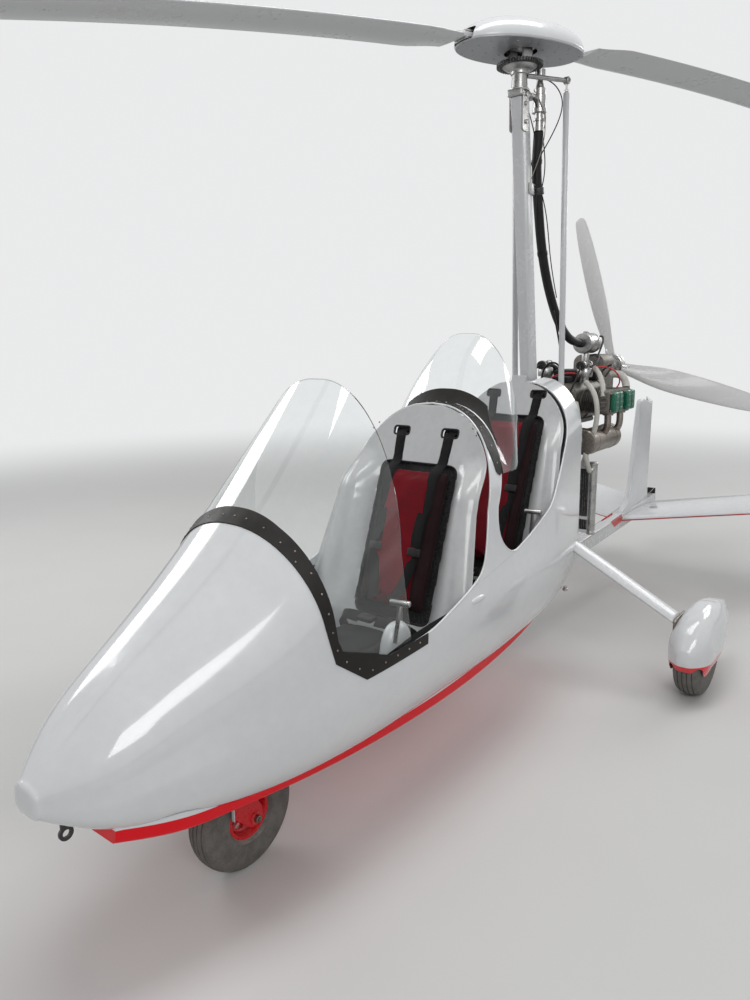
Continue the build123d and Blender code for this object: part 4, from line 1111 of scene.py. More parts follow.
class Workshop:
    """Holds the materials, and dresses and reports each piece."""

    def __init__(self) -> None:
        """Builds every finish's material once."""
        effects = Effects()
        self.materials = {slot: finish.make(effects) for slot, finish in FINISHES.items()}
        self.effects = effects
        skirt = replace(FINISHES[Slot.WHITE_SHELL], name="belly tray paint", red=(0.72, 0.002, 0.01), coat=0.1,
                        smooth=0.3, rough=0.42, specular=0.15)
        self.tray_paint = skirt.make(effects)
        self.plain_white = Finish(
            "plain shell paint", SHELL_WHITE, SHELL_SHADE, 0.14, 0.24, coat=0.5, coat_rough=0.04, grain=30,
            bump=0.02, dust=0.12,
        ).make(effects)
        self.plate_grey = Finish(
            "cover underside", (0.4, 0.41, 0.43), (0.36, 0.37, 0.39), 0.3, 0.42, metallic=0.5, grain=60, bump=0.05,
            dust=0.05,
        ).make(effects)

    def dress(self, piece: Piece, slot: Slot, body: Body = Body.AIRFRAME,
              *nodes: str, finish: bpy.types.Material | None = None) -> Piece:
        """Gives a new piece its finish and its body, and hides the nodes that it stands for.

        Args:
            piece: The piece.
            slot: The material slot it belongs to.
            body: The body it rides on.
            *nodes: The CAD nodes it replaces.
            finish: Another material than the slot's own.

        Returns:
            The piece.
        """
        piece.data.materials.clear()
        piece.data.materials.append(finish or self.materials[slot])
        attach(piece, body.value)
        if nodes:
            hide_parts(*nodes)
        LOG.info("%s: %d faces on %s", piece.name, len(piece.data.polygons), body.value)
        return piece

    def repaint(self, node: str, slot: Slot) -> None:
        """Gives a CAD node its material.

        Args:
            node: The node's name.
            slot: Its slot.
        """
        piece = frame["nodes"][node]
        if not piece.material_slots:
            piece.data.materials.append(self.materials[slot])
        for holder in piece.material_slots:
            holder.material = self.materials[slot]

    def softened(self, node: str, slot: Slot, body: Body, width: float, angle: float = 40.0,
                 segments: int = 2) -> Piece:
        """Copies a CAD node whose shape is right, and rounds its sharp edges.

        Args:
            node: The node's name.
            slot: Its slot.
            body: The body it rides on.
            width: The rounds' width, in millimetres.
            angle: Edges sharper than this are rounded, in degrees.
            segments: Faces across a round.

        Returns:
            The piece, which replaces the node.
        """
        piece = copied_node(node, f"{node}_finished")
        for key in list(piece.keys()):
            if key.startswith("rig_"):
                del piece[key]
        tidy_normals(piece, 0.000005)
        bpy.ops.object.mode_set(mode="EDIT")
        bpy.ops.mesh.select_all(action="SELECT")
        bpy.ops.mesh.dissolve_limited(angle_limit=math.radians(1.0))
        bpy.ops.object.mode_set(mode="OBJECT")
        settle(eased(piece, width * MM, segments, angle))
        return self.dress(piece, slot, body, node)


# Shared forms


def mm(x: float, y: float, z: float) -> Point:
    """Gives a point in metres from millimetres."""
    return x * MM, y * MM, z * MM


def turned(name: str, profile: Outline, place: Point, axis: str, steps: int) -> Piece:
    """Turns a closed (along the axis, radius) profile round an axis, all in millimetres."""
    return lathe(name, [(along * MM, radius * MM) for along, radius in profile], mm(*place), axis, steps)


def slab(name: str, outline: Outline, low: float, high: float, axis: str) -> Piece:
    """Adds a prism on a flat outline between two places along an axis, all in millimetres."""
    return prism(name, [(first * MM, second * MM) for first, second in outline], low * MM, high * MM, axis)


def routed(name: str, lines: Sequence[Sequence[Point]], radius: float, sides: int = 5) -> list[Piece]:
    """Runs one tube of a radius in metres along each line of points in millimetres."""
    return [run(name, [mm(*spot) for spot in line], radius, sides=sides) for line in lines]


def copied_node(node: str, name: str) -> Piece:
    """Copies a CAD node with its own mesh.

    Args:
        node: The node's name.
        name: The copy's name.

    Returns:
        The copy, alone in the selection.
    """
    alone(frame["nodes"][node])
    bpy.ops.object.duplicate(linked=False)
    return named(name)


def leg_way(room: float) -> Piece:
    """Copies the front gear leg a little larger, to cut its way through a skin.

    Args:
        room: How far the copy stands out from the leg, in metres.

    Returns:
        The copy.
    """
    way = tidy_normals(copied_node("gear_leg", "leg_way"))
    swell = way.modifiers.new("room", "DISPLACE")
    swell.strength, swell.mid_level = room, 0.0
    return apply(way)


WELL_HALF_WIDTH, WELL_FRONT, WELL_REAR, WELL_FOOT = 152 * MM, -1930 * MM, -1500 * MM, 0.2


def well_cut(top: float) -> Piece:
    """Adds the block that cuts the nose wheel's well out of a skin, up to a height in metres."""
    return brick("well_cut", (-WELL_HALF_WIDTH, WELL_FRONT, WELL_FOOT), (WELL_HALF_WIDTH, WELL_REAR, top), 0.004)


def skin(name: str, rings: Sequence[Sequence[Point]]) -> Piece:
    """Lays a surface through rings of points that all have the same count.

    Args:
        name: The piece's name.
        rings: The rings in their order, in metres.

    Returns:
        The surface, with its doubled points merged.
    """
    def place(u: float, v: float) -> Point:
        """Picks one ring's point."""
        ring = rings[round(v * (len(rings) - 1))]
        return tuple(ring[round(u * (len(ring) - 1))])

    return tidy_normals(surface(name, place, len(rings[0]) - 1, len(rings) - 1))


def capped(rings: Sequence[Sequence[Point]]) -> list[Sequence[Point]]:
    """Closes a row of rings with one point at each end."""
    ends = []
    for ring in (rings[0], rings[-1]):
        middle = sum((Vector(spot) for spot in ring[:-1]), Vector()) / (len(ring) - 1)
        ends.append([tuple(middle)] * len(ring))
    return [ends[0], *rings, ends[1]]


def curve_through(points: Sequence[Sequence[float]], steps: int) -> list[Vector]:
    """Follows points with an even curve.

    Args:
        points: The points on the curve.
        steps: Points added between two of them.

    Returns:
        The curve's points.
    """
    spots = [Vector(point) for point in points]
    spots = [spots[0] * 2 - spots[1], *spots, spots[-1] * 2 - spots[-2]]
    result = []
    for index in range(1, len(spots) - 2):
        a, b, c, d = spots[index - 1:index + 3]
        for step in range(steps):
            t = step / steps
            result.append(0.5 * (2 * b + (c - a) * t + (2 * a - 5 * b + 4 * c - d) * t * t
                                 + (3 * b - a - 3 * c + d) * t ** 3))
    return [*result, spots[-2]]


def ribbon(name: str, points: Sequence[Sequence[float]], width: float, thick: float, steps: int = 8,
           sideways: Sequence[float] = (1.0, 0.0, 0.0)) -> Piece:
    """Adds a flat strap along an even curve.

    Args:
        name: The piece's name.
        points: The middle line's points, in millimetres.
        width: The strap's width, in millimetres.
        thick: Its thickness.
        steps: Points added between two of the line's points.
        sideways: The direction across the strap.

    Returns:
        The strap.
    """
    line = curve_through(points, steps)
    rings = []
    for index, spot in enumerate(line):
        ahead = line[min(index + 1, len(line) - 1)] - line[max(index - 1, 0)]
        side = Vector(sideways)
        side = (side - ahead.normalized() * side.dot(ahead.normalized())).normalized() * width / 2
        face = side.cross(ahead).normalized() * thick / 2
        corners = (spot - side * 0.93 + face, spot + side * 0.93 + face, spot + side, spot + side * 0.93 - face,
                   spot - side * 0.93 - face, spot - side)
        rings.append([tuple(corner * MM) for corner in (*corners, corners[0])])
    return settle(skin(name, capped(rings)), 50)


def fastener(name: str, place: Vector, out: Vector, radius: float, height: float) -> Piece:
    """Adds a domed screw head on a surface.

    Args:
        name: The piece's name.
        place: Where it sits, in metres.
        out: The surface's normal.
        radius: Its radius, in millimetres.
        height: How far it stands out.

    Returns:
        The screw head.
    """
    foot = place - out.normalized() * 0.6 * MM
    tip = place + out.normalized() * height * MM
    return stick(name, tuple(foot), tuple(tip), radius * MM, radius * 0.72 * MM, 10, 0.25 * radius * MM)


def gathered(name: str, parts: Sequence[Piece], shop: "Workshop", slot: Slot,
             body: Body = Body.AIRFRAME, *nodes: str, finish: bpy.types.Material | None = None
             ) -> Piece:
    """Joins parts of one piece and dresses it.

    Args:
        name: The piece's name.
        parts: Its parts.
        shop: Where the finishes are.
        slot: Its slot.
        body: Its body.
        *nodes: The CAD nodes it replaces.
        finish: Another material than the slot's own.

    Returns:
        The piece.
    """
    return shop.dress(joined(name, parts), slot, body, *nodes, finish=finish)


# The studio


@dataclass
class Studio:
    """The camera, the floor and the soft lamps."""

    eye: Point = (1.60, -3.064, 1.60)
    heading: float = 52.0
    pitch: float = 12.4
    roll: float = 0.93
    lens: float = 27.0
    floor_colour: Colour = (0.60, 0.60, 0.59)
    backdrop: Colour = (0.82, 0.825, 0.83)
    sky: float = 0.46
    fade: tuple[float, float] = (3.5, 11.0)
    gloss_share: float = 0.75

    def direct(self, wires: Wiring, path: bpy.types.Node) -> bpy.types.NodeSocket:
        """Gives 1 for rays that reach the camera straight or through glass."""
        return wires.maths("MAXIMUM", path.outputs["Is Camera Ray"], path.outputs["Is Transmission Ray"])

    def camera(self) -> None:
        """Places the camera where the photograph was taken from."""
        turn, tilt, lean = (math.radians(value) for value in (self.heading, self.pitch, self.roll))
        right = Vector((math.sin(turn), math.cos(turn), 0))
        ahead = Vector((-math.cos(turn), math.sin(turn), 0))
        up = Vector((0, 0, 1))
        forward = ahead * math.cos(tilt) - up * math.sin(tilt)
        over = ahead * math.sin(tilt) + up * math.cos(tilt)
        axes = (right * math.cos(lean) - over * math.sin(lean), right * math.sin(lean) + over * math.cos(lean),
                -forward)
        data = bpy.data.cameras.new("viewpoint")
        data.lens = self.lens
        data.sensor_width = 36.0
        data.sensor_fit = "AUTO"
        data.clip_end = 200.0
        camera = bpy.data.objects.new("viewpoint", data)
        bpy.context.scene.collection.objects.link(camera)
        camera.matrix_world = Matrix.Translation(self.eye) @ Matrix(axes).transposed().to_4x4()
        bpy.context.scene.camera = camera

    def floor(self) -> None:
        """Adds the pale floor."""
        bpy.ops.object.select_all(action="DESELECT")
        bpy.ops.mesh.primitive_plane_add(size=60)
        piece = named("studio_floor")
        material = bpy.data.materials.new("studio floor")
        material.use_nodes = True
        wires = Wiring(material.node_tree)
        shader = material.node_tree.nodes["Principled BSDF"]
        vector = wires.node("ShaderNodeTexCoord").outputs["Object"]
        cloud = wires.node("ShaderNodeTexNoise", {"Vector": vector, "Scale": 0.8, "Detail": 5.0}).outputs["Fac"]
        tone = wires.blend(wires.ramp(cloud, 0.3, 0.7), rgba(self.floor_colour),
                           rgba(tuple(part * 1.03 for part in self.floor_colour)))
        away = wires.node("ShaderNodeVectorMath", {0: vector}, operation="LENGTH").outputs["Value"]
        far = wires.ramp(away, *self.fade)
        path = wires.node("ShaderNodeLightPath")
        seen = self.direct(wires, path)
        wires.put(shader, "Base Color", wires.blend(wires.maths("MULTIPLY", far, seen), tone, rgba((0, 0, 0))))
        wires.put(shader, "Emission Color", rgba(self.backdrop))
        wires.put(shader, "Emission Strength", wires.maths("MULTIPLY", far, seen))
        shader.inputs["Roughness"].default_value = 0.6
        shader.inputs["Specular IOR Level"].default_value = 0.0
        piece.data.materials.append(material)

    def world(self) -> None:
        """Sets a plain sky, seen as the pale backdrop by the camera, gloss and glass."""
        world = bpy.data.worlds.new("studio sky")
        bpy.context.scene.world = world
        world.use_nodes = True
        wires = Wiring(world.node_tree)
        path = wires.node("ShaderNodeLightPath")
        glossy = wires.maths("MULTIPLY", path.outputs["Is Glossy Ray"], self.gloss_share)
        seen = wires.maths("MAXIMUM", self.direct(wires, path), glossy)
        background = world.node_tree.nodes["Background"]
        wires.put(background, "Color", rgba(self.backdrop))
        strength = wires.node("ShaderNodeMapRange", {0: seen, 3: self.sky, 4: 1.0}).outputs[0]
        wires.put(background, "Strength", strength)

    def lamp(self, name: str, place: Point, target: Point, size: tuple[float, float], power: float) -> None:
        """Adds one soft lamp.

        Args:
            name: The lamp's name.
            place: Where it hangs.
            target: What it points at.
            size: Its two sides, in metres.
            power: Its power, in watts.
        """
        data = bpy.data.lights.new(name, "AREA")
        data.shape = "RECTANGLE"
        data.size, data.size_y = size
        data.energy = power
        lamp = bpy.data.objects.new(name, data)
        bpy.context.scene.collection.objects.link(lamp)
        aim = (Vector(target) - Vector(place)).to_track_quat("-Z", "Y").to_matrix().to_4x4()
        lamp.matrix_world = Matrix.Translation(place) @ aim

    def build(self) -> None:
        """Sets the view, the stage and the lamps."""
        self.camera()
        self.floor()
        self.world()
        self.lamp("overhead", (0.5, -0.4, 6.2), (0.0, -0.2, 0.6), (5.5, 1.6), 150)
        self.lamp("front", (4.6, -4.8, 4.2), (0.0, -0.8, 0.8), (3.0, 2.2), 120)
        self.lamp("far_side", (-5.2, -1.2, 3.4), (0.0, -0.2, 1.0), (4.0, 1.8), 85)
        self.lamp("behind", (1.8, 5.6, 3.8), (0.0, 0.6, 1.0), (3.5, 2.0), 95)
        bpy.context.scene.view_settings.view_transform = "Standard"


# The pod


@dataclass
class Pod:
    """The hull, its centre fairing, screens and bands, in millimetres."""

    rows: tuple[tuple[float, ...], ...] = (
        (-2342, 56, 546, 53, 566, 516, 602, 20, 10),
        (-2270, 128, 545, 124, 580, 472, 672, 50, 12),
        (-2080, 215, 560, 205, 625, 402, 815, 110, 15),
        (-1700, 318, 600, 312, 770, 352, 1072, 170, 10),
        (-1300, 362, 680, 325, 960, 340, 1476, 200, 20),
        (-1000, 367, 692, 323, 980, 341, 1420, 200, 16),
        (-600, 368, 700, 320, 1000, 345, 1342, 200, 12),
        (-380, 355, 700, 311, 1040, 355, 1352, 196, 20),
        (-150, 335, 700, 300, 1080, 368, 1370, 190, 30),
        (40, 295, 670, 272, 1110, 386, 1382, 172, 35),
        (230, 245, 640, 240, 1140, 405, 1395, 150, 40),
    )
    front_tops: Outline = (
        (-2342, 602), (-2270, 672), (-2080, 815), (-1700, 1072), (-1300, 1476), (-1000, 1790), (-600, 2150),
    )
    split: float = -1150
    rear: float = 230
    nose_reach: float = 16
    wall: float = 5
    screen_inset: float = 5.8
    screen_wall: float = 3
    band_lift: float = 0.8
    band_wall: float = 2.5
    front_opening: Outline = (
        (-1672, 1700), (-1672, 1090), (-1632, 800), (-1590, 720), (-1505, 660), (-1200, 680),
        (-975, 738), (-850, 786), (-795, 910), (-745, 1080), (-640, 1342), (-640, 1700),
    )
    rear_opening: Outline = (
        (-575, 1700), (-575, 1342), (-655, 1105), (-722, 950), (-716, 860), (-640, 796),
        (-420, 845), (-240, 905), (-110, 1040), (45, 1225), (80, 1395), (80, 1700),
    )
    seam_zone: Outline = (
        (-915, 754), (-620, 802), (-560, 1100), (-500, 1700), (-900, 1700),
    )
    screen_side: Outline = (
        (-1700, 2000), (-1700, 1080), (-1655, 790), (-1610, 700), (-1515, 640), (-1300, 652), (-1300, 2000),
    )
    band_front: Outline = (
        (-1690, 1500), (-1690, 1085), (-1650, 826), (-1622, 716), (-1513, 634), (-1224, 648), (-1224, 684),
        (-1412, 676), (-1594, 742), (-1610, 780), (-1646, 1085), (-1646, 1500),
    )
    band_rear: Outline = (
        (-641, 1500), (-641, 1342), (-694, 1205), (-694, 1112), (-676, 1096), (-655, 1102), (-594, 1342),
        (-594, 1500),
    )
    band_rise: Outline = (
        (-600, 1500), (-600, 1342), (-655, 1135), (-640, 1118), (-546, 1330), (-546, 1500),
    )
    hood_rows: tuple[tuple[float, ...], ...] = (
        (-690, 375, 700, 328, 1000, 341, 1349, 200, 12),
        (-566, 375, 700, 327, 1000, 341, 1349, 200, 12),
        (-500, 325, 725, 293, 1090, 410, 1482, 160, 15),
        (-400, 262, 760, 240, 1190, 500, 1603, 100, 20),
    )
    hood_side: Outline = (
        (-590, 1342), (-655, 1100), (-560, 1100), (-440, 1150), (-402, 1260), (-400, 1700), (-590, 1700),
    )
    tip_share: float = 0.04
    tip_middle: float = 0.557

    def __post_init__(self) -> None:
        """Works out the smooth form."""
        self.form = SectionForm(self.rows, self.front_tops, self.split)
        self.hood = SectionForm(self.hood_rows)

    def cutter(self, outline: Outline, radius: float) -> Piece:
        """Adds a prism through both sides from a side view.

        Args:
            outline: The side view as (y, z) points.
            radius: How round its corners are.

        Returns:
            The prism.
        """
        points = [(y * MM, z * MM) for y, z in (rounded(outline, radius) if radius else outline)]
        return prism("cutter", points, -0.7, 0.7, "X")

    def edge_line(self, outline: Outline, inset: float) -> list[Point]:
        """Follows an opening's edge over the pod, from port to starboard.

        Args:
            outline: The edge's side view, from its top at the front to its top at the rear.
            inset: How far inside the surface.

        Returns:
            The line's points, closed round both sides.
        """
        port = []
        for y, z in dense(outline, 14):
            top = self.form.row(y, inset)[5]
            if z < top:
                port.append((self.form.half(y, z, inset) * MM, y * MM, z * MM))
            elif not port or port[-1][0] > 0:
                port.append((0.0, y * MM, top * MM))
        return port + [(-x, y, z) for x, y, z in reversed(port) if x > 0]

    def shell(self, name: str) -> Piece:
        """Builds the whole hull as one closed wall.

        Args:
            name: The piece's name.

        Returns:
            The hull with a solid wall and its blunt nose.
        """
        first = self.rows[0][0]

        def place(u: float, v: float) -> Point:
            """Lays a corner, drawn in to a blunt tip at the front."""
            turn = 2 * u - 1
            if v > self.tip_share:
                y = first + (self.rear - first) * ((v - self.tip_share) / (1 - self.tip_share)) ** 1.25
                return self.form.spot(y, turn)
            angle = v / self.tip_share * math.pi / 2
            x, _, z = self.form.spot(first, turn)
            middle = self.tip_middle
            size = math.sin(angle) ** 0.75
            return x * size, (first - self.nose_reach * math.cos(angle)) * MM, middle + (z - middle) * size

        hull = tidy_normals(surface(name, place, 144, 190))
        return thicken(hull, self.wall * MM)

    def hull(self, shop: Workshop) -> None:
        """Cuts the hull and the centre fairing from the shell.

        Args:
            shop: Where the finishes are.
        """
        shell = self.shell("pod_shell")
        for outline in (self.front_opening, self.rear_opening):
            carve(shell, self.cutter(outline, 60))
        fairing = copied(shell, "centre_fairing_shell", Matrix.Identity(4))
        carve(fairing, self.cutter(self.seam_zone, 0), "INTERSECT")
        carve(shell, self.cutter([(y - 0.9, z - 0.9) for y, z in self.seam_zone], 0))
        carve(shell, well_cut(0.41))
        carve(shell, brick("mast_cut", (-0.045, 0.1, 1.3), (0.045, 0.3, 1.5), 0.004))
        carve(shell, leg_way(0.003))
        shop.dress(settle(shell, 30), Slot.WHITE_SHELL, Body.AIRFRAME, "pod_hull")
        shop.dress(settle(fairing, 30), Slot.WHITE_SHELL, Body.AIRFRAME, "centre_fairing")

    def lips(self, shop: Workshop) -> None:
        """Adds the rolled edges round the two openings.

        Args:
            shop: Where the finishes are.
        """
        for name, outline in (("front_lip", self.front_opening), ("rear_lip", self.rear_opening)):
            line = self.edge_line(rounded(outline, 60)[7:-7], 2.5)
            lip = run(name, [*line, line[0]], 0.0042, smooth=False, sides=3)
            shop.dress(lip, Slot.WHITE_SHELL)

    def screens(self, shop: Workshop) -> None:
        """Builds the two clear screens and their dark bands.

        Args:
            shop: Where the finishes are.
        """
        front = self.form.sheet("front_screen", -1720, -1285, 180, 48, self.screen_inset)
        thicken(front, self.screen_wall * MM)
        carve(front, self.cutter(self.screen_side, 40), "INTERSECT")
        rear = self.hood.sheet("rear_screen", -680, -395, 180, 40, 0.0)
        thicken(rear, self.screen_wall * MM)
        carve(rear, self.cutter(self.hood_side, 0), "INTERSECT")
        screens = joined("clear_screens", [front, rear])
        shop.dress(settle(screens, 40), Slot.CLEAR_SCREEN, Body.AIRFRAME, "windscreens")
        bands = []
        for outline, start, end in ((self.band_front, -1720, -1200), (self.band_rear, -700, -550)):
            band = self.form.sheet("band", start, end, 200, 52 if start < -1500 else 20, -self.band_lift)
            thicken(band, self.band_wall * MM, 1.0)
            carve(band, self.cutter(outline, 0), "INTERSECT")
            bands.append(band)
        rise = self.hood.sheet("rise", -604, -543, 200, 16, -1.2)
        thicken(rise, self.band_wall * MM, 1.0)
        bands.append(carve(rise, self.cutter(self.band_rise, 0), "INTERSECT"))
        shop.dress(settle(joined("screen_trim", bands), 35), Slot.DARK_BAND, Body.AIRFRAME, "screen_bands")

    def build(self, shop: Workshop) -> None:
        """Builds every piece of the pod.

        Args:
            shop: Where the finishes are.
        """
        self.hull(shop)
        self.lips(shop)
        self.screens(shop)


# The cabin


@dataclass(frozen=True)
class CushionFinish(Finish):
    """Seat cloth, red in the middle and black at the sides, with dark seams."""

    middle: float = 0.095
    sides: Colour = (0.014, 0.014, 0.015)

    def paint(self, wires: Wiring, vector: bpy.types.NodeSocket, colour: bpy.types.NodeSocket
              ) -> bpy.types.NodeSocket:
        """Paints the black side panels.

        Args:
            wires: The material's wiring.
            vector: Object coordinates.
            colour: The ground colour.

        Returns:
            The panelled cloth.
        """
        axes = wires.node("ShaderNodeSeparateXYZ", {0: vector})
        out = wires.maths("ABSOLUTE", axes.outputs["X"])
        return wires.blend(wires.ramp(out, self.middle - 0.0008, self.middle + 0.0008), colour, rgba(self.sides))


def swollen(cushion: Piece, seam: float, cap: float) -> Piece:
    """Fills a cushion with a short cloth run, then draws in its two seams.

    Args:
        cushion: The closed cushion.
        seam: How far out its seams are.
        cap: The furthest that a point moves, in metres.

    Returns:
        The filled cushion.
    """
    alone(cushion)
    even = cushion.modifiers.new("even", "REMESH")
    even.mode, even.voxel_size, even.use_smooth_shade = "VOXEL", 0.0075, True
    apply(cushion)
    starts = [vertex.co.copy() for vertex in cushion.data.vertices]
    cloth = cushion.modifiers.new("filling", "CLOTH")
    cloth.settings.use_pressure = True
    cloth.settings.uniform_pressure_force = 4.0
    cloth.settings.effector_weights.gravity = 0.0
    cloth.point_cache.frame_start, cloth.point_cache.frame_end = 1, 20
    for moment in range(1, 21):
        bpy.context.scene.frame_set(moment)
    apply(cushion)
    for vertex, start in zip(cushion.data.vertices, starts):
        move = vertex.co - start
        if move.length > cap:
            vertex.co = start + move * (cap / move.length)
    bpy.context.scene.frame_set(1)
    for vertex in cushion.data.vertices:
        depth = 0.0042 * math.exp(-((abs(vertex.co.x) - seam) / 0.007) ** 2)
        vertex.co -= vertex.normal * depth
    finer = cushion.modifiers.new("finer", "SUBSURF")
    finer.levels = finer.render_levels = 1
    return settle(apply(cushion), 60)


@dataclass
class Seat:
    """One seat: its moulded shell, cushions and harness, in millimetres."""

    label: str
    node: str
    top_y: float
    top_z: float
    window: tuple[float, float]
    window_half: float
    slot_z: float
    bolster: float
    bolster_top: float
    recline: float = 20
    base_z: float = 560
    pan_z: float = 426.5
    pad: float = 125
    slot_x: float = 110
    wall: float = 5
    inset: float = 6.4
    seam: float = 0.095
    belt: float = 44
    fill: float = 0.6

    def __post_init__(self) -> None:
        """Works out the back's directions."""
        lean = math.radians(self.recline)
        self.up = Vector((0, math.sin(lean), math.cos(lean)))
        self.out = Vector((0, -math.cos(lean), math.sin(lean)))
        self.origin = Vector((0, self.top_y, self.top_z))
        self.axes = Matrix((Vector((1, 0, 0)), self.up, self.out)).transposed().to_4x4()

    def along(self, height: float) -> float:
        """Gives the distance down the back for a height."""
        return (height - self.top_z) / self.up.z

    def spot(self, x: float, height: float, lift: float) -> Vector:
        """Gives a point over the back, in millimetres.

        Args:
            x: Its place across.
            height: The height of its foot on the back.
            lift: How far in front of the back.

        Returns:
            The point.
        """
        return self.origin + self.up * self.along(height) + self.out * lift + Vector((x, 0, 0))

    def swell(self, x: float, half: float, height: float) -> float:
        """Gives how far the moulding stands out beside the cushion.

        Args:
            x: The place across.
            half: The pod's half width there.
            height: The height on the back.

        Returns:
            The distance, in millimetres.
        """
        inner = self.window_half + 6
        if abs(x) <= inner or half <= inner:
            return 0.0
        share = min(1.0, (abs(x) - inner) / (half - inner))
        rise = min(1.0, max(0.0, (self.bolster_top - height) / 170))
        rise = rise * rise * (3 - 2 * rise)
        foot = min(1.0, max(0.0, (height - 430) / 120))
        return self.bolster * rise * (0.55 + 0.45 * foot) * math.sin(math.pi * min(1.0, share * 1.12 + 0.02) * 0.72)

    def shell(self, shop: Workshop, form: SectionForm) -> None:
        """Builds the moulded shell with its window and belt slots.

        Args:
            shop: Where the finishes are.
            form: The pod's form.
        """
        low, high = 430.0, self.top_z + 34

        def place(u: float, v: float) -> Point:
            """Lays one corner of the moulding."""
            height = low + (high - low) * v
            foot = self.spot(0, height, 0)
            half = form.half(foot.y, foot.z, self.inset)
            share = 2 * u - 1
            share = math.copysign(abs(share) ** 0.85, share)
            x = half * share
            spot = self.spot(x, height, self.swell(x, half, height))
            limit = form.half(spot.y, min(spot.z, form.row(spot.y)[5] - 8), self.inset)
            return spot.x * min(1.0, limit / max(half, 1)) * MM, spot.y * MM, spot.z * MM

        shell = surface(f"{self.node}_moulded", place, 110, 110)
        thicken(shell, self.wall * MM, 1.0)
        tidy_normals(shell)
        for cutter in (self.window_form(0), *self.slot_forms(0)):
            carve(shell, cutter)
        shop.dress(settle(eased(shell, 0.0016, angle=50), 45), Slot.SEAT_GREY, Body.AIRFRAME, self.node)

    def plate(self, name: str, outline: Outline, low: float, high: float
              ) -> Piece:
        """Adds a plate in the back's plane.

        Args:
            name: The piece's name.
            outline: Its rim as (across, down the back) points, in millimetres.
            low: Its back face, in front of the shell.
            high: Its front face.

        Returns:
            The plate.
        """
        plate = slab(name, outline, low, high, "Z")
        plate.matrix_world = Matrix.Translation(self.origin * MM) @ self.axes
        alone(plate)
        bpy.ops.object.transform_apply(location=True, rotation=True, scale=True)
        return plate

    def window_outline(self, grow: float) -> list[tuple[float, float]]:
        """Gives the window's rounded rim, grown by a distance."""
        low, high = self.along(self.window[0]) - grow, self.along(self.window[1]) + grow
        half = self.window_half + grow
        return rounded([(-half, low), (half, low), (half, high), (-half, high)], 42 + grow, 7)

    def window_form(self, grow: float) -> Piece:
        """Adds the form that cuts the window."""
        return self.plate("window_cut", self.window_outline(grow), -60, 60)

    def slot_outline(self, side: int, grow: float) -> list[tuple[float, float]]:
        """Gives a belt slot's rounded rim, grown by a distance."""
        middle, x = self.along(self.slot_z), side * self.slot_x
        half, tall = 36 + grow, 16 + grow
        return rounded([(x - half, middle - tall), (x + half, middle - tall), (x + half, middle + tall),
                        (x - half, middle + tall)], 11 + grow, 5)

    def slot_forms(self, grow: float) -> list[Piece]:
        """Adds the forms that cut both belt slots."""
        return [self.plate("slot_cut", self.slot_outline(side, grow), -60, 60) for side in (-1, 1)]

    def trims(self, shop: Workshop) -> None:
        """Adds the black rims, the liner behind the cushions and the pockets behind the belt slots.

        Args:
            shop: Where the finishes are.
        """
        parts = [self.plate("liner", self.window_outline(14), -22, -14)]
        for outline in (self.window_outline(1), self.slot_outline(-1, 1), self.slot_outline(1, 1)):
            rim = [self.origin + self.up * u + Vector((x, 0, 0)) + self.out * 1.5 for x, u in outline]
            points = [tuple(spot * MM) for spot in (*rim, rim[0])]
            parts.append(run("rim", points, 0.0048, smooth=False, sides=3))
        for side in (-1, 1):
            parts.append(self.plate("pocket", self.slot_outline(side, 5), -26, -20))
        gathered(f"{self.label}_seat_trim", parts, shop, Slot.BLACK_PLASTIC)

    def pillow(self, name: str, lows: Point, highs: Point, crown: float, frame_axes: Matrix
               ) -> Piece:
        """Adds a crowned closed cushion between two corners of its own axes.

        Args:
            name: The piece's name.
            lows: Its low corner, in millimetres.
            highs: Its high corner.
            crown: How far its front stands out in the middle.
            frame_axes: The matrix from its own axes to the pod's, in metres.

        Returns:
            The cushion.
        """
        across, down = 64, 72
        half = [(b - a) / 2 for a, b in zip(lows, highs)]
        middle = [(b + a) / 2 for a, b in zip(lows, highs)]

        def face(u: float, v: float, way: int) -> Vector:
            """Lays a point of the front or the back."""
            s, t = 2 * u - 1, 2 * v - 1
            s, t = math.sin(s * math.pi / 2), math.sin(t * math.pi / 2)
            edge = max(0.0, (1 - abs(s) ** 6) * (1 - abs(t) ** 6)) ** 0.32
            panel = 0.0
            if abs(s * half[0]) < 108:
                panel = 3.0 * math.cos(s * half[0] / 108 * math.pi / 2)
            groove = 3.6 * math.exp(-((abs(s * half[0]) - 95) / 3.2) ** 2)
            fold = 1.6 * math.sin(0.05 * (t * half[1]) + 0.045 * abs(s * half[0])) * (1 - t * t)
            height = half[2] * edge
            if way > 0:
                height += (crown * (1 - s * s) * (1 - t * t) + panel - groove + fold) * edge
            shrink = 1 - 0.02 * (1 - edge)
            return Vector((middle[0] + s * half[0] * shrink, middle[1] + t * half[1] * shrink,
                           middle[2] + way * height))

        faces = []
        for way in (1, -1):
            faces.append(surface("face", lambda u, v, way=way: tuple(frame_axes @ (face(u, v, way) * MM)),
                                 across, down))
        return settle(tidy_normals(joined(name, faces), 0.0006), 60)

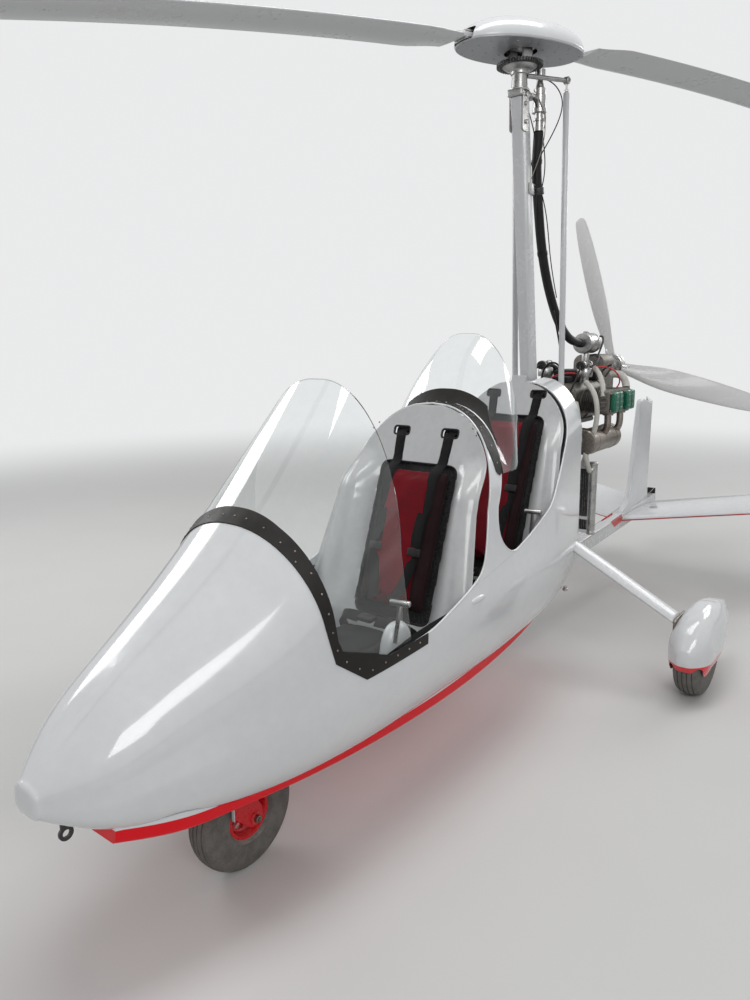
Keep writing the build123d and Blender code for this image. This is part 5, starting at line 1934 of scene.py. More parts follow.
    def cushions(self, shop: Workshop, cloth: bpy.types.Material, dark: bpy.types.Material) -> None:
        """Builds the back and the seat cushion.

        Args:
            shop: Where the finishes are.
            cloth: The panelled cloth.
            dark: The black cloth.
        """
        back_axes = Matrix.Translation(self.origin * MM) @ self.axes
        low, high = self.along(self.window[0]) + 34, self.along(self.window[1]) - 17
        half = self.window_half - 17
        back = self.pillow(f"{self.label}_back_cushion", (-half, low, -12), (half, high, 34), 12, back_axes)
        back = swollen(back, self.seam, 0.011)
        shop.dress(back, Slot.RED_FABRIC, Body.AIRFRAME, finish=cloth)
        seat_y = self.spot(0, self.base_z, 0).y
        half = self.window_half - 2
        pad = self.pillow(f"{self.label}_seat_cushion", (-half, seat_y - 428, self.pan_z + 4),
                          (half, seat_y - 54, self.pan_z + self.pad - 12), 10, Matrix.Identity(4))
        pad = swollen(pad, self.seam, 0.009)
        shop.dress(pad, Slot.RED_FABRIC, Body.AIRFRAME, finish=dark)

    def harness(self, shop: Workshop) -> None:
        """Builds the shoulder straps, the lap belt, the adjusters and the buckle.

        Args:
            shop: Where the finishes are.
        """
        belts, metal = [], []
        top = self.window[1]
        for side in (-1, 1):
            x = side * self.slot_x
            path = [(x, self.slot_z + 2, -24), (x, self.slot_z, -3), (x * 0.99, self.slot_z - 16, 5),
                    (x * 0.97, (self.slot_z + top) / 2, 5), (x * 0.94, top + 4, 8), (x * 0.91, top - 40, 42),
                    (x * 0.86, top - 170, 49), (x * 0.78, top - 330, 52), (x * 0.6, self.base_z + 120, 60),
                    (x * 0.36, self.base_z + 62, 80)]
            points = [tuple(self.spot(*spot)) for spot in path]
            belts.append(ribbon("shoulder_belt", points, self.belt, 2.2))
            tail = [self.spot(x * 0.80, top - 300, 57), self.spot(x * 0.79, top - 250, 58),
                    self.spot(x * 0.83, top - 180, 55)]
            belts.append(ribbon("belt_end", [tuple(spot) for spot in tail], self.belt, 2.0))
            place = self.spot(x * 0.79, top - 318, 56)
            clip = brick("adjuster", mm(-28, -15, -3), mm(28, 15, 4), 0.002)
            clip.matrix_world = Matrix.Translation(place * MM) @ self.axes
            metal.append(settle(clip))
            seat_y = self.spot(0, self.base_z, 0).y
            lap = [(side * (self.window_half + 8), seat_y - 40, 470), (side * (self.window_half - 4), seat_y - 80, 552),
                   (side * 110, seat_y - 120, 592), (side * 36, seat_y - 135, 600)]
            belts.append(ribbon("lap_belt", lap, self.belt, 2.2, sideways=(0.0, 0.75, 0.65)))
        buckle_y = self.spot(0, self.base_z, 0).y - 138
        metal.append(brick("buckle", mm(-34, buckle_y - 26, 596), mm(34, buckle_y + 24, 614), 0.006))
        gathered(f"{self.label}_belts", belts, shop, Slot.BLACK_WEBBING)
        gathered(f"{self.label}_buckles", metal, shop, Slot.BLACK_PLASTIC)


@dataclass
class Cabin:
    """Both seats, the controls and the floor."""

    seats: tuple[Seat, ...] = field(default_factory=lambda: (
        Seat("front", "seat_shell_front", -668, 1300, (560, 1120), 172, 1235, 80, 1165),
        Seat("rear", "seat_shell_rear", 58, 1375, (560, 1235), 160, 1330, 56, 1250),
    ))

    def levers(self, shop: Workshop) -> None:
        """Builds the two bright T handled levers beside each seat.

        Args:
            shop: Where the finishes are.
        """
        parts = []
        for foot, head in (((205, -1150, 640), (198, -1142, 722)), ((262, -1262, 640), (278, -1252, 772)),
                           ((168, -62, 760), (150, -69, 822)), ((205, -205, 700), (222, -214, 858))):
            parts.append(stick("shaft", mm(*foot), mm(*head), 0.0068, None, 20))
            parts.append(stick("grip", mm(head[0] - 34, head[1] - 8, head[2]), mm(head[0] + 34, head[1] + 8, head[2]),
                               0.0105, None, 24, 0.003))
        gathered("trim_levers", parts, shop, Slot.BRIGHT_METAL)

    def console(self, shop: Workshop) -> None:
        """Builds the pale rounded pod beside the front seat and the foot of its levers.

        Args:
            shop: Where the finishes are.
        """
        def ring(size: float, height: float) -> list[Point]:
            """Lays one oval ring of the dome."""
            return [mm(232 + 44 * size * math.cos(a), -1215 + 74 * size * math.sin(a), height)
                    for a in [2 * math.pi * k / 40 for k in range(41)]]

        rings = [ring(1.0, 428)]
        for step in range(13):
            turn = step / 12 * math.pi / 2
            rings.append(ring(math.cos(turn) ** 0.7 if step < 12 else 0.0, 560 + 128 * math.sin(turn)))
        shop.dress(settle(skin("dome", capped(rings)), 50), Slot.SEAT_GREY)

    def controls(self, shop: Workshop) -> None:
        """Builds the sticks, the pedals and the blank instrument housing.

        Args:
            shop: Where the finishes are.
        """
        dark = []
        for y in (-1440, -715):
            dark.append(run("stick", [mm(0, y, 428), mm(0, y, 520), mm(0, y + 6, 620), mm(0, y + 40, 780)], 0.0105))
            grip = [(0, 10), (6, 15), (24, 17), (52, 15.5), (76, 18), (98, 19), (108, 15), (112, 0)]
            piece = turned("grip", [(0, 0), *grip], (0, 0, 0), "Z", 28)
            piece.matrix_world = Matrix.Translation(mm(0, y + 40, 774)) @ Euler((-0.12, 0, 0)).to_matrix().to_4x4()
            dark.append(settle(piece))
            boot = [(0, 0), (0, 52), (6, 50), (12, 40), (20, 42), (28, 31), (38, 30), (46, 17), (56, 15), (56, 0)]
            dark.append(turned("boot", boot, (0, y, 427), "Z", 32))
        for x in (-95, 95):
            dark.append(run("pedal_arm", [mm(x, -1800, 428), mm(x, -1806, 500), mm(x, -1800, 590)], 0.008))
            dark.append(brick("pedal", mm(x - 44, -1808, 540), mm(x + 44, -1796, 610), 0.004))
        outline = rounded([(-0.110, 0.700), (0.110, 0.700), (0.104, 0.862), (-0.104, 0.862)], 0.035, 6)
        housing = prism("housing", outline, -1.59, -1.53, "Y")
        dark += [eased(housing, 0.006, 3), brick("housing_leg", mm(-24, -1578, 427), mm(24, -1542, 705), 0.006)]
        gathered("cockpit_sticks", dark, shop, Slot.BLACK_PLASTIC, Body.AIRFRAME, "cockpit_controls")
        dials = []
        for x, z, radius in ((-62, 815, 27), (0, 815, 27), (62, 815, 27), (-62, 748, 23), (0, 748, 27), (62, 748, 23)):
            profile = [(0, 0), (0, radius), (4, radius + 3), (6, radius + 3), (6, radius - 1), (3, radius - 3), (3, 0)]
            dials.append(turned("dial", profile, (x, -1532, z), "Y", 32))
        gathered("blank_dials", dials, shop, Slot.BLACK_METAL)

    def build(self, shop: Workshop, form: SectionForm) -> None:
        """Builds everything inside the pod.

        Args:
            shop: Where the finishes are.
            form: The pod's form.
        """
        base = dict(smooth=0.78, rough=0.94, grain=60, bump=0.22, weave=420, sheen=0.05, dust=0.01, specular=0.12)
        cloth = CushionFinish("panelled seat cloth", (0.38, 0.004, 0.018), (0.24, 0.003, 0.011),
                              gap=(0.02, 0.004, 0.005), **base)
        dark = Finish("black seat cloth", (0.016, 0.016, 0.017), (0.009, 0.009, 0.01), **base)
        cloths = cloth.make(shop.effects), dark.make(shop.effects)
        for seat in self.seats:
            seat.shell(shop, form)
            seat.trims(shop)
            seat.cushions(shop, *cloths)
            seat.harness(shop)
        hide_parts("seat_cushions")
        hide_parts("harness_straps")
        self.levers(shop)
        self.console(shop)
        self.controls(shop)
        shop.softened("cockpit_floor", Slot.FLOOR_BOARD, Body.AIRFRAME, 1)


# Undercarriage


@dataclass
class Wheel:
    """One wheel's ribbed tyre and cast rim, in millimetres."""

    label: str
    body: Body
    centre: Point
    radius: float
    width: float
    rim_radius: float = 78
    holes: int = 5
    ribs: int = 5
    groove: float = 4.5
    steps: int = 96

    def tyre(self, shop: Workshop) -> None:
        """Turns the tyre with its ribs.

        Args:
            shop: Where the finishes are.
        """
        half, bead = self.width / 2, 0.34 * self.width
        shoulder = self.radius - 0.16 * self.width
        low = self.rim_radius + 0.6
        side = [(bead, low), (half * 0.93, low + 9), (half, (low + shoulder) / 2), (half * 0.97, shoulder - 12),
                (half * 0.9, shoulder - 2)]
        tread_half = half * 0.84
        pitch = 2 * tread_half / self.ribs
        crown = []
        for index in range(self.ribs):
            start = tread_half - index * pitch
            for along in (start - 2.2, start - pitch / 2, start - pitch + 2.2):
                crown.append((along, self.crown(along, half)))
            if index < self.ribs - 1:
                bottom = self.crown(start - pitch, half) - self.groove
                crown += [(start - pitch + 1.4, bottom), (start - pitch - 1.4, bottom)]
        outline = side + crown + [(-along, radius) for along, radius in reversed(side)]
        tyre = turned(f"{self.label}_tyre_ribbed", outline, self.centre, "X", self.steps)
        shop.dress(settle(tyre, 28), Slot.GREY_TYRE, self.body, f"{self.label}_tyre")

    def crown(self, along: float, half: float) -> float:
        """Gives the tread's radius at one place across it."""
        return self.radius - 0.17 * self.width * (abs(along) / half) ** 2.4

    def rim(self, shop: Workshop) -> None:
        """Turns the rim, cuts its openings and adds its bearing and bolts.

        Args:
            shop: Where the finishes are.
        """
        out, bead = self.rim_radius, 0.34 * self.width
        half = self.width / 2 - 14
        side = [(-bead - 1, out - 9), (-bead - 1, out + 1), (-bead + 3, out + 1.5), (-bead + 8, out - 2),
                (0, out - 11), (bead - 8, out - 2), (bead - 3, out + 1.5), (bead + 1, out + 1),
                (bead + 1, out - 9), (bead - 6, out - 13), (13, out - 17), (9, out - 24), (8, 35), (14, 30),
                (half, 27), (half, 12), (-half, 12), (-half, 27), (-14, 30), (-8, 35), (-9, out - 24),
                (-13, out - 17), (-bead + 6, out - 13)]
        rim = turned("rim", side, self.centre, "X", self.steps)
        low, high, reach = 37, out - 23, 0.62 * math.pi / self.holes
        for index in range(self.holes):
            turn = 2 * math.pi * index / self.holes + 0.5
            corners = [(low, -reach * 0.62), (high, -reach), (high + 1.5, 0), (high, reach), (low, reach * 0.62)]
            outline = [(self.centre[1] + r * math.cos(turn + a), self.centre[2] + r * math.sin(turn + a))
                       for r, a in corners]
            middle = self.centre[0]
            carve(rim, slab("opening", rounded(outline, 6, 4), middle - 60, middle + 60, "X"))
        shop.dress(settle(eased(rim, 0.0011, angle=40), 32), Slot.RED_PAINT, self.body, f"{self.label}_rim")
        bolts = []
        for side_sign in (-1, 1):
            for index in range(self.holes):
                turn = 2 * math.pi * (index + 0.5) / self.holes + 0.5
                spot = Vector(mm(self.centre[0] + side_sign * 8, self.centre[1] + 47 * math.cos(turn),
                                 self.centre[2] + 47 * math.sin(turn)))
                bolts.append(fastener("bolt", spot, Vector((side_sign, 0, 0)), 4.2, 4.5))
            bolts.append(turned("bearing", [(0, 14), (0, 24), (2.5, 24), (2.5, 14)],
                                (self.centre[0] + side_sign * half - 1.2, *self.centre[1:]), "X", 40))
        gathered(f"{self.label}_rim_bolts", bolts, shop, Slot.STEEL, self.body)

    def build(self, shop: Workshop) -> None:
        """Builds the wheel.

        Args:
            shop: Where the finishes are.
        """
        self.tyre(shop)
        self.rim(shop)


@dataclass
class NoseGear:
    """The nose wheel's red fork, in millimetres."""

    steer_y: float = -1765
    axle: tuple[float, float] = (-1710, 180)
    inside: float = 58
    plate: float = 7
    crown: tuple[float, float] = (370, 382)
    leg_half: float = 28

    def leg(self, side: int) -> Piece:
        """Builds one side plate of the fork.

        Args:
            side: 1 for port, -1 for starboard.

        Returns:
            The plate with its rounded edges.
        """
        y, z = self.axle
        front, rear = self.steer_y - self.leg_half, self.steer_y + self.leg_half
        outline = [(front, self.crown[1]), (rear, self.crown[1]), (rear + 4, 300), (y + 30, z + 22),
                   (y + 30, z - 14), (y + 8, z - 29), (y - 22, z - 24), (front, z + 40)]
        start = side * self.inside
        low, high = sorted((start, start + side * self.plate))
        return eased(slab("fork_plate", rounded(outline, 14, 5), low, high, "X"), 0.0018, 3)

    def build(self, shop: Workshop) -> None:
        """Builds the fork, its pin, its axle ends and its pale strips.

        Args:
            shop: Where the finishes are.
        """
        half = self.inside + self.plate
        parts = [self.leg(1), self.leg(-1)]
        parts.append(brick("crown", mm(-half, self.steer_y - self.leg_half, self.crown[0]),
                           mm(half, self.steer_y + self.leg_half, self.crown[1]), 0.004))
        profile = [(-14, 0), (-14, 20), (6, 20), (10, 12), (84, 12), (86, 10), (86, 0)]
        parts.append(turned("pin", profile, (0, self.steer_y, 382), "Z", 32))
        for side in (1, -1):
            boss = [(0, 0), (0, 21), (side * 4, 20), (side * 5, 0)]
            parts.append(turned("boss", boss, (side * half, *self.axle), "X", 32))
        gathered("nose_fork_welded", parts, shop, Slot.RED_PAINT, Body.STEERING, "nose_fork")
        strips, nuts = [], []
        for side in (1, -1):
            x = side * (self.inside + self.plate / 2)
            strips.append(brick("strip", mm(x - 6, self.steer_y - self.leg_half - 1.6, 212),
                                mm(x + 6, self.steer_y - self.leg_half + 1, 292), 0.0008))
            nuts.append(stick("nut", mm(side * (half + 4), *self.axle), mm(side * (half + 15), *self.axle),
                              0.0125, 0.0125, 6, 0.001))
            nuts.append(stick("stub", mm(side * (half + 14), *self.axle), mm(side * (half + 21), *self.axle),
                              0.006, 0.006, 20, 0.001))
        nuts.append(stick("axle", mm(-half - 6, *self.axle), mm(half + 6, *self.axle), 0.0097, None, 24))
        gathered("fork_strips", strips, shop, Slot.WHITE_METAL, Body.STEERING)
        gathered("nose_axle_nuts", nuts, shop, Slot.STEEL, Body.STEERING)


@dataclass
class MainGear:
    """The bowed leg, the spats and the stub axles, in millimetres."""

    track: float = 800
    axle_y: float = 285
    tyre_radius: float = 190
    tyre_width: float = 118
    wall: float = 3
    rows: tuple[tuple[float, ...], ...] = (
        (-225, 24, 235, 205, 265), (-185, 64, 235, 150, 325), (-70, 92, 240, 122, 394),
        (70, 92, 250, 126, 404), (200, 78, 262, 160, 385), (320, 48, 280, 225, 348),
        (420, 12, 300, 285, 318),
    )
    red_line: float = 0.2

    def spat(self) -> Piece:
        """Builds the port spat as a hollow teardrop, open below.

        Returns:
            The spat.
        """
        rows = [(place, half, middle - 5, half, middle + 5, low, high, half * 0.5, half * 0.16)
                for place, half, middle, low, high in self.rows]
        form = SectionForm(rows)
        start, end = self.rows[0][0], self.rows[-1][0]
        count = 60

        def ring(place: float, size: float) -> list[Point]:
            """Lays one section, drawn in towards its middle."""
            middle = Vector((0, place * MM, sum(form.row(place)[4:6]) / 2 * MM))
            spots = []
            for index in range(count + 1):
                spot = Vector(form.spot(place, 2 * index / count - 1))
                spot = middle + (spot - middle) * size
                spots.append((spot.x + self.track * MM, spot.y + self.axle_y * MM, spot.z))
            return spots

        rings = []
        for step in range(1, 6):
            turn = step / 6 * math.pi / 2
            rings.append(ring(start + 6 * (1 - math.cos(turn)), math.sin(turn) ** 0.8))
        for step in range(61):
            part = step / 60
            rings.append(ring(start + 6 + (end - start - 10) * (0.5 - 0.5 * math.cos(part * math.pi)), 1.0))
        for step in range(5, 0, -1):
            turn = step / 6 * math.pi / 2
            rings.append(ring(end - 4 * (1 - math.cos(turn)), math.sin(turn) ** 0.8))
        spat = skin("left_spat", capped(rings))
        thicken(spat, self.wall * MM)
        room = self.tyre_width / 2 + 11
        carve(spat, brick("opening", mm(self.track - room, self.axle_y - self.tyre_radius - 11, 0),
                          mm(self.track + room, self.axle_y + self.tyre_radius + 11, 205), 0.03, 6))
        return settle(carve(spat, leg_way(0.003)), 32)

    def build(self, shop: Workshop) -> None:
        """Builds both spats, and rounded copies of the leg and the axles.

        Args:
            shop: Where the finishes are.
        """
        port = self.spat()
        starboard = settle(other_side(port, "right_spat"), 32)
        paint = SkirtFinish(
            "spat paint", SHELL_WHITE, SHELL_SHADE, 0.10, 0.18, coat=0.5, coat_rough=0.04, grain=30,
            bump=0.02, dust=0.14, line=((-1.0, self.red_line), (1.0, self.red_line)),
        ).make(shop.effects)
        gathered("wheel_spats_painted", [port, starboard], shop, Slot.WHITE_SHELL, Body.AIRFRAME,
                 "wheel_spats", finish=paint)
        shop.softened("gear_leg", Slot.WHITE_METAL, Body.AIRFRAME, 0.6, 60, 1)
        shop.softened("main_axles", Slot.STEEL, Body.AIRFRAME, 1.2)


# Rotor and mast


@dataclass
class Rotor:
    """The blades, the hub under its cover, the ring gear and the head, in millimetres."""

    bar_z: float = 2745
    teeter_z: float = 2783
    parked: float = 2.5
    azimuth: float = 21
    tip: float = 4113
    droop: float = 480
    root: float = 326
    root_chord: float = 165
    full: float = 500
    chord: float = 222
    thickness: float = 26
    cover_low: float = 2722
    cover_rise: float = 110
    cover_half: tuple[float, float] = (165, 310)
    ring: tuple[float, float, float] = (95, 2668, 12)
    mast_top: float = 2550
    drive: tuple[float, float] = (35, 118)

    def __post_init__(self) -> None:
        """Works out where the rotor is parked."""
        lift = Matrix.Translation((0, 0, self.teeter_z * MM))
        self.turn = Matrix.Rotation(math.radians(-self.azimuth), 4, "Z")
        self.place = self.turn @ lift @ Matrix.Rotation(math.radians(self.parked), 4, "X") @ lift.inverted()

    def put(self, piece: Piece, place: Matrix) -> Piece:
        """Turns a piece that was built with its blades along Y to where it is parked."""
        piece.matrix_world = place @ piece.matrix_world
        return settle(piece, 32)

    def section(self, radius: float, count: int = 36) -> list[Point]:
        """Lays the forward blade's section at one radius.

        Args:
            radius: The distance from the hub.
            count: Points round it.

        Returns:
            The closed ring.
        """
        share = min(1.0, max(0.0, (radius - self.root) / (self.full - self.root)))
        share = share * share * (3 - 2 * share)
        chord = self.root_chord + (self.chord - self.root_chord) * share
        thick = 20 + (self.thickness - 20) * share
        drop = self.droop * (radius / 4115) ** 2
        ring = []
        for index in range(count + 1):
            turn = 2 * math.pi * index / count
            s = 0.5 - 0.5 * math.cos(turn)
            half = thick * (1.4845 * math.sqrt(s) - 0.63 * s - 1.758 * s ** 2 + 1.4215 * s ** 3 - 0.518 * s ** 4)
            half = max(half, 0.6 * s)
            way = 1 if turn <= math.pi else -1
            ring.append(mm(0.28 * chord - s * chord, -radius, self.bar_z - drop + way * half))
        return ring

    def blades(self, shop: Workshop) -> None:
        """Builds both blades with their root blocks and tip caps.

        Args:
            shop: Where the finishes are.
        """
        radii = [self.root + (self.full - self.root) * step / 14 for step in range(15)]
        radii += [self.full + (self.tip - self.full) * step / 46 for step in range(1, 47)]
        blade = skin("blade", capped([self.section(radius) for radius in radii]))
        stub = brick("stub", mm(-36, -350, self.bar_z - 8.5), mm(36, -202, self.bar_z + 8.5), 0.003)
        blade = joined("forward_blade", [settle(blade, 32), stub])
        twin = copied(blade, "aft_blade", Matrix.Rotation(math.pi, 4, "Z"))
        for piece in (blade, twin):
            self.put(piece, self.place)
        shop.dress(blade, Slot.ROTOR_SKIN, Body.ROTOR, "rotor_blades")
        shop.dress(twin, Slot.ROTOR_SKIN, Body.ROTOR)

    def dome(self, rise: float, inset: float, count: int = 96) -> list[Point]:
        """Lays one level of the cover.

        Args:
            rise: Its height over the flat plate.
            inset: How far inside the surface.
            count: Points round it.

        Returns:
            The closed ring.
        """
        share = min(1.0, max(0.0, (rise - 7) / (self.cover_rise - 7)))
        size = (1 - share ** 2.1) ** 0.5
        wide, long = (half * (0.14 + 0.86 * size) - inset for half in self.cover_half)
        if rise < 7:
            wide, long = (value - (7 - rise) * 0.9 for value in (wide, long))
        ring = []
        for index in range(count + 1):
            turn = 2 * math.pi * index / count
            cosine, sine = math.cos(turn), math.sin(turn)
            ring.append(mm(wide * math.copysign(abs(cosine) ** 0.9, cosine),
                           long * math.copysign(abs(sine) ** 0.9, sine), self.cover_low + rise))
        return ring

    def cover(self, shop: Workshop) -> None:
        """Builds the pale cover, its flat riveted underside and its blade openings.

        Args:
            shop: Where the finishes are.
        """
        levels = [0, 2, 4.5, 7, 11, 17, 25, 34, 44, 55, 66, 77, 87, 95, 102, 107, self.cover_rise]
        rings = [self.dome(level, 0) for level in levels]
        top = [mm(0, 0, self.cover_low + self.cover_rise + 0.8)] * len(rings[0])
        crown = skin("cover", [*rings, top])
        thicken(crown, 0.0025)
        plate_ring = [(x, y) for x, y, _ in self.dome(4, 1.5)[:-1]]
        plate = prism("plate", plate_ring, (self.cover_low + 0.6) * MM, (self.cover_low + 3) * MM, "Z")
        carve(plate, stick("hole", mm(0, 0, 2700), mm(0, 0, 2740), 0.068, None, 64))
        for side in (1, -1):
            low, high = sorted((side * 252, side * 360))
            way = brick("way", mm(-60, low, self.cover_low + 3.4), mm(60, high, self.bar_z + 26), 0.012, 4)
            carve(crown, way)
        self.put(crown, self.place)
        shop.dress(crown, Slot.WHITE_SHELL, Body.ROTOR, "hub_cover",
                   finish=shop.plain_white)
        self.put(plate, self.place)
        shop.dress(plate, Slot.WHITE_METAL, Body.ROTOR, finish=shop.plate_grey)
        rivets = []
        for x in (-108, -58, 0, 58, 108):
            reach = self.cover_half[1] * math.sqrt(max(0.0, 1 - (abs(x) / self.cover_half[0]) ** 2)) - 16
            for step in range(9):
                y = -reach + 2 * reach * step / 8
                if math.hypot(x, y) > 88:
                    spot = self.place @ Vector(mm(x, y, self.cover_low + 0.6))
                    rivets.append(fastener("rivet", spot, self.place.to_3x3() @ Vector((0, 0, -1)), 5.4, 2.2))
        gathered("cover_rivets", rivets, shop, Slot.BRIGHT_METAL, Body.ROTOR)

    def hub(self, shop: Workshop) -> None:
        """Adds the bar's bolts and rounds its edges.

        Args:
            shop: Where the finishes are.
        """
        shop.softened("hub_bar", Slot.BRIGHT_METAL, Body.ROTOR, 1.5)
        bolts = []
        for side in (1, -1):
            for y in (158, 186, 222, 262, 292):
                for x in (-17, 17):
                    for way in (1, -1):
                        spot = self.place @ Vector(mm(x, side * y, self.bar_z + way * 16))
                        out = self.place.to_3x3() @ Vector((0, 0, way))
                        foot, tip = spot - out * 0.001, spot + out * 0.006
                        bolts.append(stick("bolt", tuple(foot), tuple(tip), 0.0075, None, 6, 0.0008))
        gathered("hub_bolts", bolts, shop, Slot.STEEL, Body.ROTOR)

    def gear(self, shop: Workshop) -> None:
        """Builds the toothed ring, its spider and the teeter towers.

        Args:
            shop: Where the finishes are.
        """
        radius, low, thick = self.ring
        teeth = 52
        outline = []
        for index in range(teeth):
            for part, size in ((0.0, -6.5), (0.25, -6.5), (0.42, 0), (0.78, 0)):
                turn = 2 * math.pi * (index + part) / teeth
                outline.append(((radius + size) * MM * math.cos(turn), (radius + size) * MM * math.sin(turn)))
        ring = prism("ring", outline, low * MM, (low + thick) * MM, "Z")
        carve(ring, stick("bore", mm(0, 0, low - 5), mm(0, 0, low + thick + 5), 0.070, None, 72))
        self.put(ring, self.turn)
        parts = [ring]
        for index in range(24):
            turn = 2 * math.pi * index / 24
            spot = Vector(mm(79 * math.cos(turn), 79 * math.sin(turn), low + 0.4))
            parts.append(fastener("rivet", self.turn @ spot, Vector((0, 0, -1)), 3.6, 3))
        gathered("toothed_ring", parts, shop, Slot.BLACK_METAL, Body.ROTOR_DRIVE)
        bright = []
        profile = [(0, 0), (0, 20), (88, 20), (92, 34), (104, 40), (110, 58), (118, 66), (118, 70.5), (130, 70.5),
                   (130, 60), (134, 34), (134, 0)]
        base = low - 118
        bright.append(turned("spider", [(along + base, radius) for along, radius in profile], (0, 0, 0), "Z", 64))
        for side in (1, -1):
            x = sorted((side * 40, side * 48))
            side_view = [(-26, low + 10), (26, low + 10), (22, self.teeter_z + 14), (-22, self.teeter_z + 14)]
            bright.append(eased(slab("tower", rounded(side_view, 9), *x, "X"), 0.0012))
            bright.append(stick("nut", mm(side * 48, 0, self.teeter_z), mm(side * 56, 0, self.teeter_z), 0.013,
                                None, 6, 0.001))
        bright.append(stick("pin", mm(-54, 0, self.teeter_z), mm(54, 0, self.teeter_z), 0.0078, None, 24))
        for piece in bright:
            self.put(piece, self.turn)
        gathered("ring_spider", bright, shop, Slot.BRIGHT_METAL, Body.ROTOR_DRIVE, "ring_gear")

    def head(self, shop: Workshop) -> None:
        """Builds the head on the mast, its arms and cheek plates.

        Args:
            shop: Where the finishes are.
        """
        top, base = self.ring[1] - 2, self.mast_top + 30
        parts = [brick("block", mm(-33, -44, self.mast_top + 1), mm(33, 44, base), 0.005)]
        profile = [(base - 4, 20.4), (base - 4, 42), (base + 4, 42), (base + 8, 34), (top - 30, 31), (top - 26, 37),
                   (top - 6, 37), (top - 2, 33), (top, 33), (top, 20.4)]
        parts.append(turned("tower", profile, (0, 0, 0), "Z", 56))
        arm_z = base + 60
        for side in (1, -1):
            parts.append(stick("arm", mm(side * 24, 20, arm_z - 4), mm(side * 118, 196, arm_z), 0.0095, 0.0085, 24))
            eye = [(-11, 6), (-11, 13), (-9, 15), (9, 15), (11, 13), (11, 6)]
            parts.append(turned("eye", eye, (side * 119, 198, arm_z), "X", 32))
            parts.append(stick("eye_bolt", mm(side * 119 - 17, 198, arm_z), mm(side * 119 + 17, 198, arm_z), 0.0058,
                               None, 20, 0.001))
            low, high = sorted((side * 25.6, side * 31.5))
            cheek = prism("cheek", [(y * MM, z * MM) for y, z in rounded(
                [(-22, self.mast_top - 128), (30, self.mast_top - 128), (26, self.mast_top + 24),
                 (-26, self.mast_top + 24)], 14)], low * MM, high * MM, "X")
            parts.append(cheek)
            for y, z in ((0, self.mast_top - 24), (5, self.mast_top - 92), (0, self.mast_top + 12)):
                spot = mm(side * 31, y, z)
                parts.append(stick("bolt", spot, mm(side * 38, y, z), 0.009, None, 6, 0.001))
        parts.append(brick("bracket", mm(-6, 40, self.mast_top + 8), mm(42, self.drive[1] - 26, self.mast_top + 24),
                           0.002))
        gathered("rotor_head_machined", parts, shop, Slot.BRIGHT_METAL, Body.AIRFRAME, "rotor_head")

    def starter(self, shop: Workshop) -> None:
        """Builds the drive's bright housing, its collars and its pinion.

        Args:
            shop: Where the finishes are.
        """
        x, y = self.drive
        base = self.mast_top
        profile = [(-110, 0), (-110, 20), (-72, 20), (-70, 24), (-62, 24), (-60, 17), (-40, 17), (-38, 30),
                   (-22, 30), (-20, 27), (30, 27), (32, 24), (56, 24), (60, 18), (78, 14), (96, 14),
                   (96, 20), (130, 20), (130, 0)]
        body = turned("starter", [(along + base, radius) for along, radius in profile], (x, y, 0), "Z", 48)
        parts = [body]
        for index in range(10):
            turn = 2 * math.pi * index / 10
            parts.append(stick("tooth", mm(x + 19.6 * math.cos(turn), y + 19.6 * math.sin(turn), base + 98),
                               mm(x + 19.6 * math.cos(turn), y + 19.6 * math.sin(turn), base + 129), 0.0024, None, 8))
        gathered("rotor_starter", parts, shop, Slot.BRIGHT_METAL, Body.AIRFRAME, "prerotator")

    def build(self, shop: Workshop) -> None:
        """Builds every piece of the rotor.

        Args:
            shop: Where the finishes are.
        """
        self.blades(shop)
        self.cover(shop)
        self.hub(shop)
        self.gear(shop)
        self.head(shop)
        self.starter(shop)


